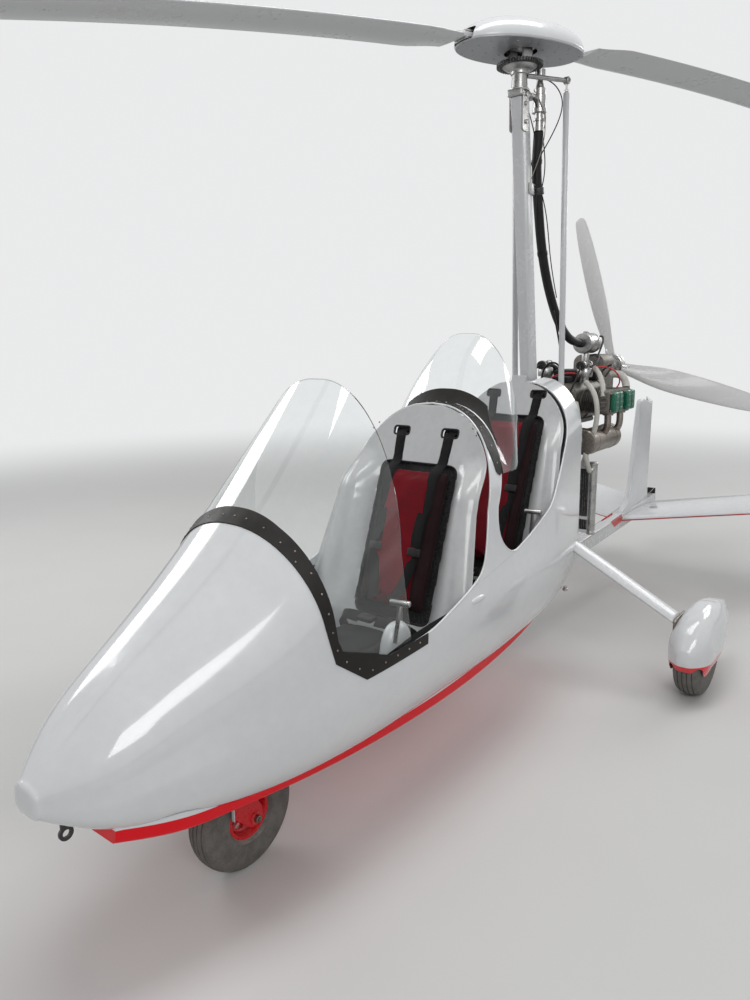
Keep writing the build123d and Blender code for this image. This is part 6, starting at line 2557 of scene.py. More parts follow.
@dataclass
class Mast:
    """The mast with its sleeve, clamp, rods and wires, in millimetres."""

    foot: tuple[float, float] = (285, 440)
    lean: float = 7.5
    top: float = 2549.7
    half: tuple[float, float] = (25, 40)
    sleeve: tuple[Point, ...] = (
        (35, 118, 2438), (24, 132, 2290), (20, 172, 2120), (16, 230, 1950), (8, 330, 1790), (2, 460, 1650),
        (0, 600, 1568), (0, 753, 1540),
    )

    def middle(self, height: float) -> float:
        """Gives the mast's centre line at one height."""
        return self.foot[0] - (height - self.foot[1]) * math.tan(math.radians(self.lean))

    def tube(self, shop: Workshop) -> None:
        """Builds the leaning box tube and the leg's clamp.

        Args:
            shop: Where the finishes are.
        """
        rings = []
        low = self.foot[1] - 4
        corners = rounded([(-self.half[0], -self.half[1]), (self.half[0], -self.half[1]),
                           (self.half[0], self.half[1]), (-self.half[0], self.half[1])], 7, 4)
        for height in (low, 900, 1400, 1900, 2300, self.top):
            rings.append([mm(x, self.middle(height) + y, height) for x, y in (*corners, corners[0])])
        tube = skin("mast_tube", capped(rings))
        parts = [settle(tube, 30)]
        for z_low, z_high in ((682.5, 692), (638, 647.5)):
            parts.append(brick("clamp", mm(-60, 91, z_low), mm(60, 216, z_high), 0.0025))
        for x in (-48, 48):
            parts.append(stick("clamp_bolt", mm(x, 98, 636), mm(x, 98, 698), 0.006, None, 16))
        gathered("mast_box", parts, shop, Slot.WHITE_METAL, Body.AIRFRAME, "mast")

    def hose(self, shop: Workshop) -> None:
        """Builds the drive's black sleeve with its collars, ties and clamp.

        Args:
            shop: Where the finishes are.
        """
        line = curve_through(self.sleeve, 10)
        piece = run("sleeve", [tuple(spot * MM) for spot in line], 0.0212, smooth=False, sides=6)
        parts = [piece]
        for index in (8, 30, 52, 68):
            spot, ahead = line[index], (line[index + 1] - line[index]).normalized() * 9
            parts.append(stick("tie", tuple((spot - ahead) * MM), tuple((spot + ahead) * MM), 0.0232, None, 32, 0.001))
        gathered("drive_sleeve_ribbed", parts, shop, Slot.HOSE_BLACK, Body.AIRFRAME, "drive_sleeve")
        upper, lower = Vector(self.sleeve[1]), Vector(self.sleeve[2])
        spot = upper.lerp(lower, 0.5)
        ahead = (lower - upper).normalized() * 15
        clamp = [stick("clamp", tuple((spot - ahead) * MM), tuple((spot + ahead) * MM), 0.0272, None, 40, 0.002),
                 brick("arm", mm(4, self.middle(spot.z) + 38, spot.z - 11), mm(24, spot.y - 18, spot.z + 11), 0.002)]
        gathered("sleeve_clamp", clamp, shop, Slot.BLACK_METAL)
        plate = brick("plate", mm(26, self.middle(spot.z) + 4, spot.z - 22),
                      mm(30, self.middle(spot.z) + 62, spot.z + 24), 0.001)
        shop.dress(plate, Slot.BRIGHT_METAL)

    def rods(self, shop: Workshop) -> None:
        """Builds the two pale push rods with their threaded ends.

        Args:
            shop: Where the finishes are.
        """
        pale, ends = [], []
        for side in (1, -1):
            high, low = Vector((side * 119, 198, 2626)), Vector((side * 119, 280, 800))
            run_down = (low - high).normalized()
            pale.append(stick("rod", tuple((high + run_down * 34) * MM), tuple((low - run_down * 40) * MM), 0.0132,
                              None, 28, 0.002))
            for end, way in ((high, run_down), (low, -run_down)):
                ends.append(stick("thread", tuple(end * MM), tuple((end + way * 42) * MM), 0.0055, None, 16))
                ends.append(stick("nut", tuple((end + way * 22) * MM), tuple((end + way * 31) * MM), 0.010, None, 6,
                                  0.001))
        gathered("push_rods_painted", pale, shop, Slot.WHITE_METAL, Body.AIRFRAME, "push_rods")
        gathered("push_rod_ends", ends, shop, Slot.BRIGHT_METAL)

    def wires(self, shop: Workshop) -> None:
        """Runs the cables that hang round the head and down the mast.

        Args:
            shop: Where the finishes are.
        """
        black = [
            ((30, 92, 2640), (60, 150, 2652), (104, 190, 2600), (112, 196, 2520), (70, 170, 2420), (34, 92, 2300)),
            ((-20, 60, 2600), (20, 96, 2470), (40, 112, 2350), (34, 110, 2200), (30, 128, 2080)),
            ((32, 60, 2560), (50, 120, 2500), (30, 160, 2420), (52, 176, 2300), (40, 150, 2210)),
            ((10, 86, 2330), (40, 130, 2230), (48, 190, 2130), (44, 230, 2010), (30, 300, 1880), (24, 380, 1760)),
        ]
        gathered("mast_cables", routed("wire", black, 0.0024, 3), shop, Slot.HOSE_BLACK)
        pale = [((42, 96, 2560), (66, 130, 2520), (58, 150, 2470), (40, 140, 2440)),
                ((36, 60, 2590), (92, 150, 2480), (60, 110, 2360), (34, 60, 2240))]
        gathered("mast_leads", routed("wire", pale, 0.0019, 3), shop, Slot.STEEL)

    def build(self, shop: Workshop) -> None:
        """Builds every piece of the mast.

        Args:
            shop: Where the finishes are.
        """
        self.tube(shop)
        self.hose(shop)
        self.rods(shop)
        self.wires(shop)


# What is fixed to the pod


@dataclass
class PodTrim:
    """The belly, the bulkhead, the dark lining and the screws, in millimetres."""

    form: SectionForm
    tray_rows: tuple[tuple[float, float, float], ...] = (
        (-2208, 124, 412), (-2080, 184, 392), (-1930, 200, 366), (-1700, 212, 334), (-1500, 220, 312),
        (-1100, 236, 294), (-450, 222, 298), (-200, 204, 318), (150, 160, 352),
    )
    tray_wall: float = 3.5
    tray_corner: float = 16
    bulkhead: tuple[float, float] = (220.5, 225)
    bulkhead_gap: float = 42
    lining_turn: float = 0.43
    front_screws: Outline = (
        (-1655, 1030), (-1648, 975), (-1642, 920), (-1636, 865), (-1628, 810), (-1616, 755), (-1586, 712),
        (-1540, 676), (-1490, 656), (-1435, 661), (-1380, 664), (-1325, 666), (-1270, 667),
    )
    rear_screws: Outline = ((-672, 1140), (-664, 1200), (-652, 1262), (-634, 1322))
    shell_screws: Outline = ((-706, 1262), (-716, 1240))
    blister: Point = (366, -915, 704)

    def tray_ring(self, y: float, half: float, low: float) -> list[Point]:
        """Lays the belly tray's section, from its port edge in the hull to its starboard edge."""
        reach, edge, _, _, bottom, _, flat, _ = self.form.row(y)
        share = min(1.0, max(0.0, (half - flat) / (reach - flat)))
        top = edge - (edge - bottom) * math.sqrt(1 - share * share) + 3
        corner = min(self.tray_corner, (top - low) * 0.9)
        port = [(half + (top - low) * 0.12, top)]
        for step in range(9):
            turn = step / 8 * math.pi / 2
            port.append((half - corner + corner * math.cos(turn), low + corner - corner * math.sin(turn)))
        port += [((half - corner) * step / 6, low) for step in range(5, -1, -1)]
        return [mm(x, y, z) for x, z in port] + [mm(-x, y, z) for x, z in reversed(port[:-1])]

    def skirt(self, shop: Workshop) -> None:
        """Builds the shallow belly tray, red under the sloping line and cut for the nose wheel.

        Args:
            shop: Where the finishes are.
        """
        places, halves, lows = zip(*self.tray_rows)
        half_line, low_line = SmoothLine(places, halves), SmoothLine(places, lows)
        stops = [places[0] + (places[-1] - places[0]) * step / 90 for step in range(91)]
        rings = [self.tray_ring(y, half_line.at(y), low_line.at(y)) for y in stops]
        tray = thicken(skin("belly_tray", rings), self.tray_wall * MM, -1.0)
        front = rings[0]
        plate = prism("tray_front", [(x, z) for x, _, z in front], places[0] * MM, (places[0] + 4) * MM, "Y")
        carve(tray, well_cut(0.45))
        gathered("belly_tray_shallow", [settle(tray, 35), plate], shop, Slot.BELLY_SHELL, Body.AIRFRAME,
                 "belly_fairing", finish=shop.tray_paint)

    def inside(self, shop: Workshop) -> None:
        """Builds the dark lining under the sills and the bulkhead behind the rear seat.

        Args:
            shop: Where the finishes are.
        """
        lining = self.form.sheet("dark_lining", -2150, 214, 90, 90, 6.6, (-self.lining_turn, self.lining_turn))
        thicken(lining, 0.0012, -1.0)
        carve(lining, well_cut(0.45))
        carve(lining, leg_way(0.004))
        shop.dress(settle(lining, 35), Slot.FLOOR_BOARD)
        place = self.bulkhead[0]
        rim = [self.form.spot(place, 2 * step / 96 - 1, 5.6) for step in range(96)]
        plate = prism("rear_bulkhead", [(x, z) for x, _, z in rim], *(value * MM for value in self.bulkhead), "Y")
        carve(plate, brick("gap", mm(-self.bulkhead_gap, 200, 300), mm(self.bulkhead_gap, 240, 1500), 0.004))
        carve(plate, brick("clamp_room", mm(-130, 200, 612), mm(130, 240, 714), 0.004))
        shop.dress(settle(plate, 35), Slot.WHITE_SHELL, finish=shop.plain_white)

    def screw(self, y: float, z: float, side: int, radius: float, lift: float) -> Piece:
        """Adds a screw on the pod's side.

        Args:
            y: Its place along the pod.
            z: Its height.
            side: 1 for port and -1 for starboard.
            radius: Its radius.
            lift: How far outside the pod's surface its foot is.

        Returns:
            The screw.
        """
        x = self.form.half(y, z, -lift)
        slope = (self.form.half(y, z + 8) - self.form.half(y, z - 8)) / 16
        run_out = (self.form.half(y + 8, z) - self.form.half(y - 8, z)) / 16
        out = Vector((side, -run_out, -slope)).normalized()
        return fastener("screw", Vector(mm(side * x, y, z)), out, radius, 2.4)

    def screws(self, shop: Workshop) -> None:
        """Adds the screws along both bands and the two black ones on the seat frame.

        Args:
            shop: Where the finishes are.
        """
        bright, dark = [], []
        for side in (1, -1):
            bright += [self.screw(y, z, side, 3.5, 3.2) for y, z in (*self.front_screws, *self.rear_screws)]
            dark += [self.screw(y, z, side, 4.2, -0.2) for y, z in self.shell_screws]
        for y, low in ((-1668, 1072), (-620, 1342)):
            if y < -1000:
                turns = [0.62 + 0.38 * step / 7 for step in range(8)]
            else:
                turns = [0.80 + 0.2 * step / 4 for step in range(5)]
            for turn in turns:
                for way in (1, -1):
                    spot = Vector(self.form.spot(y, way * turn, -3.2))
                    if spot.z < low * MM * 0.9 or (turn == 1.0 and way < 0):
                        continue
                    before, after = (Vector(self.form.spot(y, way * (turn + step), -3.2)) for step in (-0.01, 0.01))
                    along = after - before
                    out = Vector((-along.z, 0, along.x)) if way < 0 else Vector((along.z, 0, -along.x))
                    out = out.normalized() if turn < 0.99 else Vector((0, 0, 1))
                    if out.dot(spot - Vector((0, spot.y, 0.7))) < 0:
                        out = -out
                    bright.append(fastener("screw", spot, out, 3.5, 2.4))
        gathered("band_screws", bright, shop, Slot.STEEL)
        gathered("frame_screws", dark, shop, Slot.BLACK_METAL)

    def bumps(self, shop: Workshop) -> None:
        """Adds the blister on each side and the drain under the leg root.

        Args:
            shop: Where the finishes are.
        """
        parts = []
        x, y, z = self.blister
        for side in (1, -1):
            rings = []
            for step in range(9):
                turn = step / 8 * math.pi / 2
                size = math.cos(turn) ** 0.8 if step < 8 else 0.0
                rings.append([mm(side * (self.form.half(y + 46 * size * math.cos(a), z) - 2 + 9 * math.sin(turn)),
                                 y + 46 * size * math.cos(a), z + 13 * size * math.sin(a))
                              for a in [2 * math.pi * k / 32 for k in range(33)]])
            parts.append(tidy_normals(skin("blister", rings)))
        gathered("side_blisters", [settle(part, 50) for part in parts], shop, Slot.WHITE_SHELL, finish=shop.plain_white)
        drain = [(0, 0), (0, 9), (-10, 9), (-12, 13), (-20, 13), (-22, 9), (-26, 0)]
        drains = [turned("drain", drain, (side * 205, 196, self.form.row(196)[4] + 6), "Z", 28) for side in (1, -1)]
        gathered("pod_drains", drains, shop, Slot.BRIGHT_METAL)
        patches = []
        for side in (1, -1):
            low, high = sorted((side * 30.2, side * 31.4))
            outline = [(1236, 486), (1416, 498), (1440, 452), (1300, 440)]
            patches.append(slab("patch", outline, low, high, "X"))
        gathered("keel_patches", patches, shop, Slot.RED_PAINT)

    def build(self, shop: Workshop) -> None:
        """Builds every piece that is fixed to the pod.

        Args:
            shop: Where the finishes are.
        """
        self.skirt(shop)
        self.inside(shop)
        self.screws(shop)
        self.bumps(shop)


# Power unit


@dataclass
class PowerUnit:
    """The flat four engine with its intake, exhaust, radiator and lines, in millimetres."""

    crank_z: float = 1262
    block_y: tuple[float, float] = (380, 860)
    cylinder_y: tuple[float, float] = (525, 690)
    bank_shift: float = 32
    radiator_y: float = 490
    radiator_z: tuple[float, float] = (610, 960)
    radiator_half: float = 185

    def bank(self, side: int) -> list[float]:
        """Gives where one side's cylinders are along Y. The port ones are shifted."""
        return [place + (self.bank_shift if side > 0 else 0) for place in self.cylinder_y]

    def cylinders(self, shop: Workshop) -> None:
        """Builds the finned barrels, the heads, the green covers and their bolts.

        Args:
            shop: Where the finishes are.
        """
        alloy, green, bolts = [], [], []
        for side in (1, -1):
            for y in self.bank(side):
                profile = [(110.5, 0), (110.5, 52), (116, 52), (118, 45)]
                for index in range(9):
                    along = 121 + index * 9.2
                    profile += [(along, 45), (along + 0.8, 60), (along + 3.0, 60), (along + 3.8, 45)]
                profile += [(205, 45), (205, 0)]
                barrel = [(side * along, radius) for along, radius in profile]
                alloy.append(turned("barrel", barrel, (0, y, self.crank_z), "X", 48))
                low, high = sorted((side * 203, side * 262))
                outline = rounded([(y - 59, self.crank_z - 59), (y + 59, self.crank_z - 59),
                                   (y + 59, self.crank_z + 59), (y - 59, self.crank_z + 59)], 16, 4)
                alloy.append(settle(eased(slab("head", outline, low, high, "X"), 0.003), 35))
                for z in (-38, -19, 0, 19, 38):
                    rib = sorted((side * 214, side * 250))
                    alloy.append(brick("rib", mm(rib[0], y - 62, self.crank_z + z - 2),
                                       mm(rib[1], y + 62, self.crank_z + z + 2), 0.0012, 1))
                for shift in (-27, 27):
                    lobe = rounded([(y + shift - 25, self.crank_z - 47), (y + shift + 25, self.crank_z - 47),
                                    (y + shift + 25, self.crank_z + 50), (y + shift - 25, self.crank_z + 50)], 14, 4)
                    low, high = sorted((side * 262.4, side * 290))
                    green.append(settle(eased(slab("cover", lobe, low, high, "X"), 0.007, 3), 35))
                    for z in (-24, 1.5, 27):
                        rib = sorted((side * 284, side * 292))
                        green.append(brick("rib", mm(rib[0], y + shift - 18, self.crank_z + z - 2.6),
                                           mm(rib[1], y + shift + 18, self.crank_z + z + 2.6), 0.0016, 2))
                for z in (-40, 43):
                    for shift in (-53, 0, 53):
                        bolts.append(stick("bolt", mm(side * 262, y + shift, self.crank_z + z),
                                           mm(side * 271, y + shift, self.crank_z + z), 0.0062, None, 6, 0.0008))
        gathered("finned_cylinders", alloy, shop, Slot.CAST_ENGINE, Body.AIRFRAME, "engine_cylinders")
        gathered("green_covers", green, shop, Slot.GREEN_COVER, Body.AIRFRAME, "valve_covers")
        gathered("head_bolts", bolts, shop, Slot.STEEL)

    def case(self, shop: Workshop) -> None:
        """Builds the ribbed crankcase and dresses the gearbox.

        Args:
            shop: Where the finishes are.
        """
        low, high = self.crank_z - 95, self.crank_z + 90
        outline = rounded([(-108, low + 26), (-74, low), (74, low), (108, low + 26), (108, high - 30), (78, high),
                           (-78, high), (-108, high - 30)], 14, 4)
        parts = [settle(eased(slab("case", outline, *self.block_y, "Y"), 0.006, 3), 35)]
        for y in (400, 445, 620, 790, 835):
            ring = rounded([(-111, low + 22), (-78, low - 3), (78, low - 3), (111, low + 22), (111, high - 26),
                            (80, high + 3), (-80, high + 3), (-111, high - 26)], 14, 4)
            parts.append(settle(eased(slab("rib", ring, y - 4, y + 4, "Y"), 0.0018), 35))
        front = [(-2, 0), (-2, 62), (-14, 62), (-20, 54), (-34, 50), (-40, 30), (-40, 0)]
        parts.append(turned("front_cover", front, (0, self.block_y[0], self.crank_z), "Y", 48))
        gathered("crankcase", parts, shop, Slot.CAST_ENGINE, Body.AIRFRAME, "engine_block")
        shop.softened("gearbox", Slot.CAST_ENGINE, Body.AIRFRAME, 3)
        bolts = []
        for index in range(10):
            turn = 2 * math.pi * index / 10
            x, z = 72 * math.cos(turn), 1346 + 108 * math.sin(turn)
            bolts.append(stick("bolt", mm(x, 1008, z), mm(x, 1018, z), 0.0075, None, 6, 0.001))
        gathered("gearbox_bolts", bolts, shop, Slot.STEEL)

    def intake(self, shop: Workshop) -> None:
        """Builds the carburettors, the airbox, the drum and their clips.

        Args:
            shop: Where the finishes are.
        """
        dark, bright = [], []
        top = self.crank_z + 90.5
        for side in (1, -1):
            x = side * 105
            body = [(0, 0), (0, 24), (8, 24), (10, 20), (26, 20), (28, 36), (34, 38), (66, 38), (72, 34), (76, 22),
                    (84, 22), (86, 25), (96, 25), (98, 18), (98, 0)]
            bright.append(turned("carburettor", body, (x, 560, top), "Z", 40))
            dark.append(run("runner", [mm(x, 500, top + 85), mm(x, 560, top + 85), mm(x * 0.97, 620, top + 80),
                                       mm(x * 0.8, 664, top + 40)], 0.021))
            for y in (520, 600):
                bright.append(turned("clip", [(-5, 20), (-5, 23), (5, 23), (5, 20)], (x, y, top + 85), "Y", 32))
        dark.append(brick("airbox", mm(-66, 560, top), mm(66, 720, self.crank_z + 150), 0.012, 4))
        gathered("intake_boots", dark, shop, Slot.BLACK_PLASTIC, Body.AIRFRAME, "induction")
        drum = [(0, 0), (0, 30), (3, 50), (10, 52), (26, 52), (28, 49), (36, 49), (38, 53), (46, 53), (48, 49),
                (120, 49), (122, 53), (130, 53), (132, 49), (158, 48), (166, 40), (167, 0)]
        bright.append(turned("drum", drum, (0, 758, 1540), "Y", 56))
        bright.append(stick("drum_foot", mm(0, 815, top), mm(0, 815, 1510), 0.0195, None, 32, 0.002))
        bright.append(brick("drum_lug", mm(-14, 800, 1584), mm(14, 824, 1602), 0.004))
        gathered("intake_castings", bright, shop, Slot.BRIGHT_METAL)

    def exhaust(self, shop: Workshop) -> None:
        """Builds the header pipes, their flanges and the silencer.

        Args:
            shop: Where the finishes are.
        """
        can = [(0, 0), (0, 40), (4, 56), (12, 62), (60, 62), (62, 63.5), (68, 63.5), (70, 62), (282, 62), (284, 63.5),
               (290, 63.5), (292, 62), (338, 62), (346, 56), (350, 40), (350, 0)]
        parts = [turned("silencer", can, (180, 400, 1075), "Y", 56)]
        low = self.crank_z - 59.5
        for side in (1, -1):
            for y in self.bank(side):
                line = curve_through([(side * 235, y, low), (side * 235, y, 1150), (side * 226, y, 1118),
                                      (180 + side * 20, y, 1084), (180, y, 1080)], 6)
                parts.append(run("header", [tuple(spot * MM) for spot in line], 0.0168, smooth=False))
                flange = [(0, 16), (0, 26), (-6, 26), (-6, 16)]
                parts.append(turned("flange", flange, (side * 235, y, low), "Z", 32))
        gathered("exhaust_pipes", parts, shop, Slot.STEEL, Body.AIRFRAME, "exhaust")

    def radiator(self, shop: Workshop) -> None:
        """Builds the finned core, its bright tanks and its pale straps.

        Args:
            shop: Where the finishes are.
        """
        y, half = self.radiator_y, self.radiator_half
        low, high = self.radiator_z
        core = [brick("core", mm(-half, y - 12, low), mm(half, y + 12, high), 0.002)]
        count = 34
        for index in range(count):
            x = -half + 6 + (2 * half - 12) * index / (count - 1)
            core.append(brick("tube", mm(x - 1.6, y - 17, low + 2), mm(x + 1.6, y + 17, high - 2), 0.001, 1))
        gathered("radiator_core", core, shop, Slot.BLACK_METAL, Body.AIRFRAME, "radiator")
        bright = []
        for side in (1, -1):
            tank = [(-10, 0), (-10, 18), (-4, 24), (6, 24), (8, 22), (344, 22), (346, 24), (354, 24), (360, 18),
                    (360, 0)]
            bright.append(turned("tank", tank, (side * (half + 14), y, low), "Z", 40))
            bright.append(stick("spout", mm(side * (half + 14), y, high - 30),
                                mm(side * (half + 14), y - 46, high - 30), 0.016, None, 28, 0.002))
        gathered("radiator_tanks", bright, shop, Slot.BRIGHT_METAL)
        straps = [brick("strap", mm(-half - 4, y - 19, z), mm(half + 4, y + 19, z + 16), 0.0015)
                  for z in (low - 2, low + 66, high - 26)]
        gathered("radiator_straps", straps, shop, Slot.WHITE_METAL)

    def lines(self, shop: Workshop) -> None:
        """Runs the pale coolant hoses, the fuel and oil lines and the wires.

        Args:
            shop: Where the finishes are.
        """
        y = self.radiator_y
        pale = [
            ((199, y - 40, 930), (200, y - 80, 960), (180, 420, 1050), (150, 400, 1150), (140, 410, 1230),
             (120, 430, 1262)),
            ((150, 470, 1360), (210, 430, 1330), (240, 420, 1240), (225, 430, 1130), (180, 440, 1010),
             (150, 470, 950)),
            ((40, 640, 1440), (120, 600, 1445), (190, 560, 1400), (220, 520, 1330), (228, 500, 1290)),
            ((-199, y - 40, 930), (-200, y - 80, 980), (-170, 420, 1080), (-150, 410, 1180), (-120, 430, 1250)),
        ]
        parts = routed("hose", pale, 0.0125)
        parts += routed("elbow", [((160, 770, 1380), (210, 780, 1400), (240, 770, 1360), (246, 760, 1322))], 0.019)
        finish = Finish("silicone hose", (0.56, 0.55, 0.5), (0.48, 0.47, 0.43), 0.32, 0.5, grain=80, bump=0.1,
                        dust=0.15).make(shop.effects)
        gathered("coolant_hoses", parts, shop, Slot.WHITE_METAL, finish=finish)
        red = [((120, 560, 1420), (190, 620, 1440), (238, 690, 1400), (236, 720, 1330), (190, 700, 1300)),
               ((-20, 420, 1370), (20, 400, 1400), (70, 420, 1410), (100, 470, 1400))]
        gathered("red_leads", routed("lead", red, 0.0034, 3), shop, Slot.RED_PAINT)
        black = [
            ((60, 740, 1480), (130, 700, 1500), (170, 610, 1460), (150, 520, 1430)),
            ((30, 430, 1360), (60, 400, 1420), (30, 380, 1480), (-40, 390, 1440), (-60, 420, 1370)),
            ((105, 500, 1438), (130, 450, 1420), (120, 400, 1350), (90, 380, 1280)),
            ((-105, 500, 1438), (-130, 450, 1420), (-120, 400, 1350), (-90, 380, 1280)),
            ((90, 840, 1400), (160, 800, 1450), (200, 720, 1440), (180, 640, 1380)),
            ((0, 925, 1560), (60, 930, 1600), (80, 880, 1560), (70, 800, 1470)),
            ((24, 350, 1700), (40, 390, 1560), (60, 400, 1460), (60, 410, 1370)),
        ]
        gathered("engine_leads", routed("lead", black, 0.0046, 3), shop, Slot.HOSE_BLACK)
        boxes = [brick("coil", mm(-92, 742, 1354), mm(92, 800, 1400), 0.006),
                 brick("module", mm(-70, 440, 1353), mm(70, 500, 1385), 0.005)]
        gathered("ignition_boxes", boxes, shop, Slot.BLACK_PLASTIC)

    def build(self, shop: Workshop) -> None:
        """Builds every piece of the power unit.

        Args:
            shop: Where the finishes are.
        """
        self.case(shop)
        self.cylinders(shop)
        self.intake(shop)
        self.exhaust(shop)
        self.radiator(shop)
        self.lines(shop)
        shop.softened("engine_bearer", Slot.BLACK_METAL, Body.AIRFRAME, 1)
        shop.softened("chassis_frame", Slot.BLACK_METAL, Body.AIRFRAME, 1.5)


# Tail and propeller


@dataclass
class Tail:
    """The fins, the tailplane, the rudder and the keel, in millimetres."""

    leading_y: float = 1420
    chord: float = 670
    root: tuple[float, float] = (30.5, 455)
    tip_x: float = 868
    dihedral: float = 10.8
    thickness: float = 48
    centre: Outline = (
        (1450, 470), (1470, 506), (1562, 545), (1610, 657), (1644, 847), (1662, 999), (1696, 1176),
        (1760, 1180), (1915, 1140), (1915, 490),
    )
    end: Outline = (
        (1500, 470), (1560, 420), (2060, 420), (2110, 460), (2080, 1000), (2040, 1040), (1760, 1040),
        (1700, 1000),
    )

    def fin(self, name: str, outline: Outline, x: float, thick: float, radius: float
            ) -> Piece:
        """Builds a fin with rounded edges from its side view.

        Args:
            name: The piece's name.
            outline: Its rim as (y, z) points.
            x: Where its middle is.
            thick: Its thickness.
            radius: How round its corners are.

        Returns:
            The fin.
        """
        fin = slab(name, rounded(outline, radius, 6), x - thick / 2, x + thick / 2, "X")
        return settle(eased(fin, thick * 0.44 * MM, 5, 60), 40)

    def ring(self, x: float, first: float, last: float, count: int, lift: float) -> list[Point]:
        """Lays part of the tailplane's section at one span place.

        Args:
            x: The place along the span.
            first: Where the part starts, in turns from the tail over the top.
            last: Where it ends.
            count: Points along it.
            lift: How far outside the surface.

        Returns:
            The points.
        """
        middle = self.root[1] + x * math.tan(math.radians(self.dihedral))
        ring = []
        for index in range(count + 1):
            turn = 2 * math.pi * (first + (last - first) * index / count)
            s = 0.5 + 0.5 * math.cos(turn)
            half = self.thickness * (1.4845 * math.sqrt(s) - 0.63 * s - 1.758 * s * s + 1.4215 * s ** 3
                                     - 0.5036 * s ** 4)
            half = max(half, 1.4 * s) + lift
            ring.append(mm(x, self.leading_y + s * self.chord - lift * (1 - s),
                           middle + math.copysign(half, math.sin(turn))))
        return ring

    def plane(self, shop: Workshop) -> None:
        """Builds the tailplane with the red strip under its leading edge.

        Args:
            shop: Where the finishes are.
        """
        spans = [self.root[0] + (self.tip_x - self.root[0]) * step / 12 for step in range(13)]
        port = skin("left_plane", capped([self.ring(x, 0, 1, 48, 0) for x in spans]))
        starboard = other_side(port, "right_plane")
        gathered("tailplane_skins", [settle(port, 35), settle(starboard, 35)], shop, Slot.WHITE_SHELL,
                 Body.AIRFRAME, "tailplane", finish=shop.plain_white)
        strips = [self.ring(x, 0.505, 0.62 if x > 120 else 0.72 - 0.1 * (x - 30) / 90, 10, 0.5) for x in spans]
        strip = thicken(skin("strip", strips), 0.0004, 0)
        twin = other_side(strip, "strip_twin")
        gathered("tail_stripes", [settle(strip, 35), settle(twin, 35)], shop, Slot.RED_PAINT)

    def build(self, shop: Workshop) -> None:
        """Builds every piece of the tail.

        Args:
            shop: Where the finishes are.
        """
        fins = [self.fin("centre_fin", self.centre, 0, 30, 26), self.fin("left_fin", self.end, 880, 22, 34),
                self.fin("right_fin", self.end, -880, 22, 34)]
        for z in (620, 1080):
            fins.append(brick("lug", mm(-5, 1908, z - 4), mm(5, 1931, z + 4), 0.001))
            fins.append(turned("eye", [(-4, 4.3), (-4, 9), (4, 9), (4, 4.3)], (0, 1931, z), "Z", 24))
        gathered("tail_fin_skins", fins, shop, Slot.WHITE_SHELL, Body.AIRFRAME, "tail_fins",
                 finish=shop.plain_white)
        self.plane(shop)
        shop.softened("rudder", Slot.WHITE_SHELL, Body.RUDDER, 1.5, 30, 2)
        bpy.data.objects["rudder_finished"].data.materials[0] = shop.plain_white
        shop.softened("keel_tube", Slot.WHITE_METAL, Body.AIRFRAME, 1)
        plug = brick("keel_plug", mm(-26, 2048, 476), mm(26, 2064, 552), 0.004)
        shop.dress(plug, Slot.BLACK_PLASTIC)
        route = ((1990, 560), (1700, 500), (1200, 470), (420, 452))
        cables = routed("rudder_cable", [[(side * 34, y, z) for y, z in route] for side in (-1, 1)], 0.0016, 3)
        gathered("rudder_cables", cables, shop, Slot.STEEL)


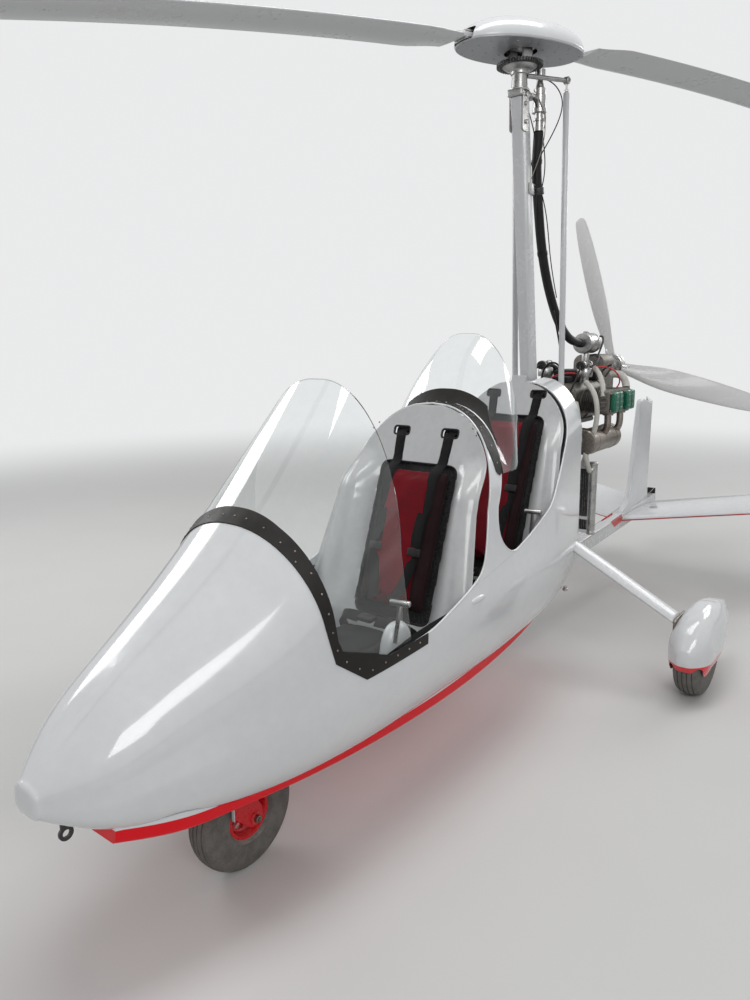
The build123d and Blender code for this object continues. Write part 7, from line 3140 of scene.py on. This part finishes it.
@dataclass
class Propeller:
    """The three twisted blades and their hub, in millimetres."""

    centre: Point = (0, 1215, 1410)
    radius: float = 850
    first_angle: float = 106
    stations: tuple[tuple[float, ...], ...] = (
        (50, 62, 44, 40), (130, 84, 36, 37), (240, 118, 26, 32), (440, 128, 17, 24), (650, 108, 11, 18),
        (800, 78, 7.5, 15), (850, 60, 6, 14),
    )

    def section(self, radius: float, count: int = 32) -> list[Point]:
        """Lays a blade's section on a blade that points to port.

        Args:
            radius: The distance from the axis.
            count: Points round it.

        Returns:
            The closed ring.
        """
        chord, thick, pitch = (SmoothLine(*zip(*((row[0], row[k]) for row in self.stations))).at(radius)
                               for k in (1, 2, 3))
        round_off = min(1.0, max(0.0, (self.radius - radius) / 26))
        chord *= 0.35 + 0.65 * math.sqrt(round_off * (2 - round_off))
        turn = math.radians(pitch)
        along, out = Vector((0, math.sin(turn), math.cos(turn))), Vector((0, -math.cos(turn), math.sin(turn)))
        ring = []
        for index in range(count + 1):
            angle = 2 * math.pi * index / count
            s = 0.5 - 0.5 * math.cos(angle)
            half = thick * (1.4845 * math.sqrt(s) - 0.63 * s - 1.758 * s * s + 1.4215 * s ** 3 - 0.5036 * s ** 4)
            half = max(half, 0.8 * s) * (1 if angle <= math.pi else -0.8)
            spot = Vector((radius, 0, 0)) + along * (s - 0.5) * chord + out * half
            ring.append(tuple(spot * MM))
        return ring

    def build(self, shop: Workshop) -> None:
        """Builds the blades, their cuffs and the bolted hub.

        Args:
            shop: Where the finishes are.
        """
        radii = [64 + (self.radius - 90) * step / 34 for step in range(35)]
        radii = [r for r in radii if r < self.radius - 27] + [self.radius - 26 + 26 * step / 6 for step in range(7)]
        blade = settle(skin("blade", capped([self.section(radius) for radius in radii])), 35)
        centre = Matrix.Translation(mm(*self.centre))
        blades, cuffs = [], []
        for index in range(3):
            turn = Matrix.Rotation(-math.radians(self.first_angle + 120 * index), 4, "Y")
            blades.append(copied(blade, "blade", centre @ turn))
            cuff = stick("cuff", mm(34, 0, 0), mm(98, 0, 0), 0.027, 0.022, 32, 0.003)
            cuffs.append(copied(cuff, "cuff", centre @ turn))
            bpy.data.objects.remove(cuff)
        bpy.data.objects.remove(blade)
        gathered("prop_blades_twisted", blades, shop, Slot.PROP_WHITE, Body.PROPELLER, "prop_blades")
        profile = [(-205, 0), (-205, 29), (-40, 29), (-36, 40), (-32, 62), (-12, 62), (-8, 57), (8, 57), (12, 62),
                   (32, 62), (35, 58), (36, 34), (56, 30), (60, 25), (60, 0)]
        hub = turned("hub", profile, self.centre, "Y", 64)
        parts = [hub, *cuffs]
        for index in range(6):
            turn = 2 * math.pi * (index + 0.5) / 6
            x, z = 46 * math.cos(turn), 46 * math.sin(turn)
            for way in (1, -1):
                y = self.centre[1] + way * 32
                parts.append(stick("bolt", mm(x, y - way, self.centre[2] + z), mm(x, y + way * 8, self.centre[2] + z),
                                   0.0078, None, 6, 0.001))
        gathered("prop_hub_bolted", parts, shop, Slot.BRIGHT_METAL, Body.PROPELLER, "prop_hub")


NODE_SLOTS: dict[str, Slot] = {
    entry["node"]: Slot(entry["material_slot"]) for entry in frame["record"]["subparts"]
}

WHEELS = (
    Wheel("nose", Body.NOSE_WHEEL, (0, -1710, 180), 180, 100),
    Wheel("left", Body.LEFT_WHEEL, (800, 285, 190), 190, 118),
    Wheel("right", Body.RIGHT_WHEEL, (-800, 285, 190), 190, 118),
)


def main() -> None:
    """Builds the gyrocopter round the frame."""
    logging.basicConfig(level=logging.INFO, format="%(message)s")
    Studio().build()
    shop = Workshop()
    for node, slot in NODE_SLOTS.items():
        shop.repaint(node, slot)
    pod = Pod()
    pod.build(shop)
    PodTrim(pod.form).build(shop)
    Cabin().build(shop, pod.form)
    for wheel in WHEELS:
        wheel.build(shop)
    NoseGear().build(shop)
    MainGear().build(shop)
    Rotor().build(shop)
    Mast().build(shop)
    PowerUnit().build(shop)
    Propeller().build(shop)
    Tail().build(shop)


if __name__ == "__main__":
    main()
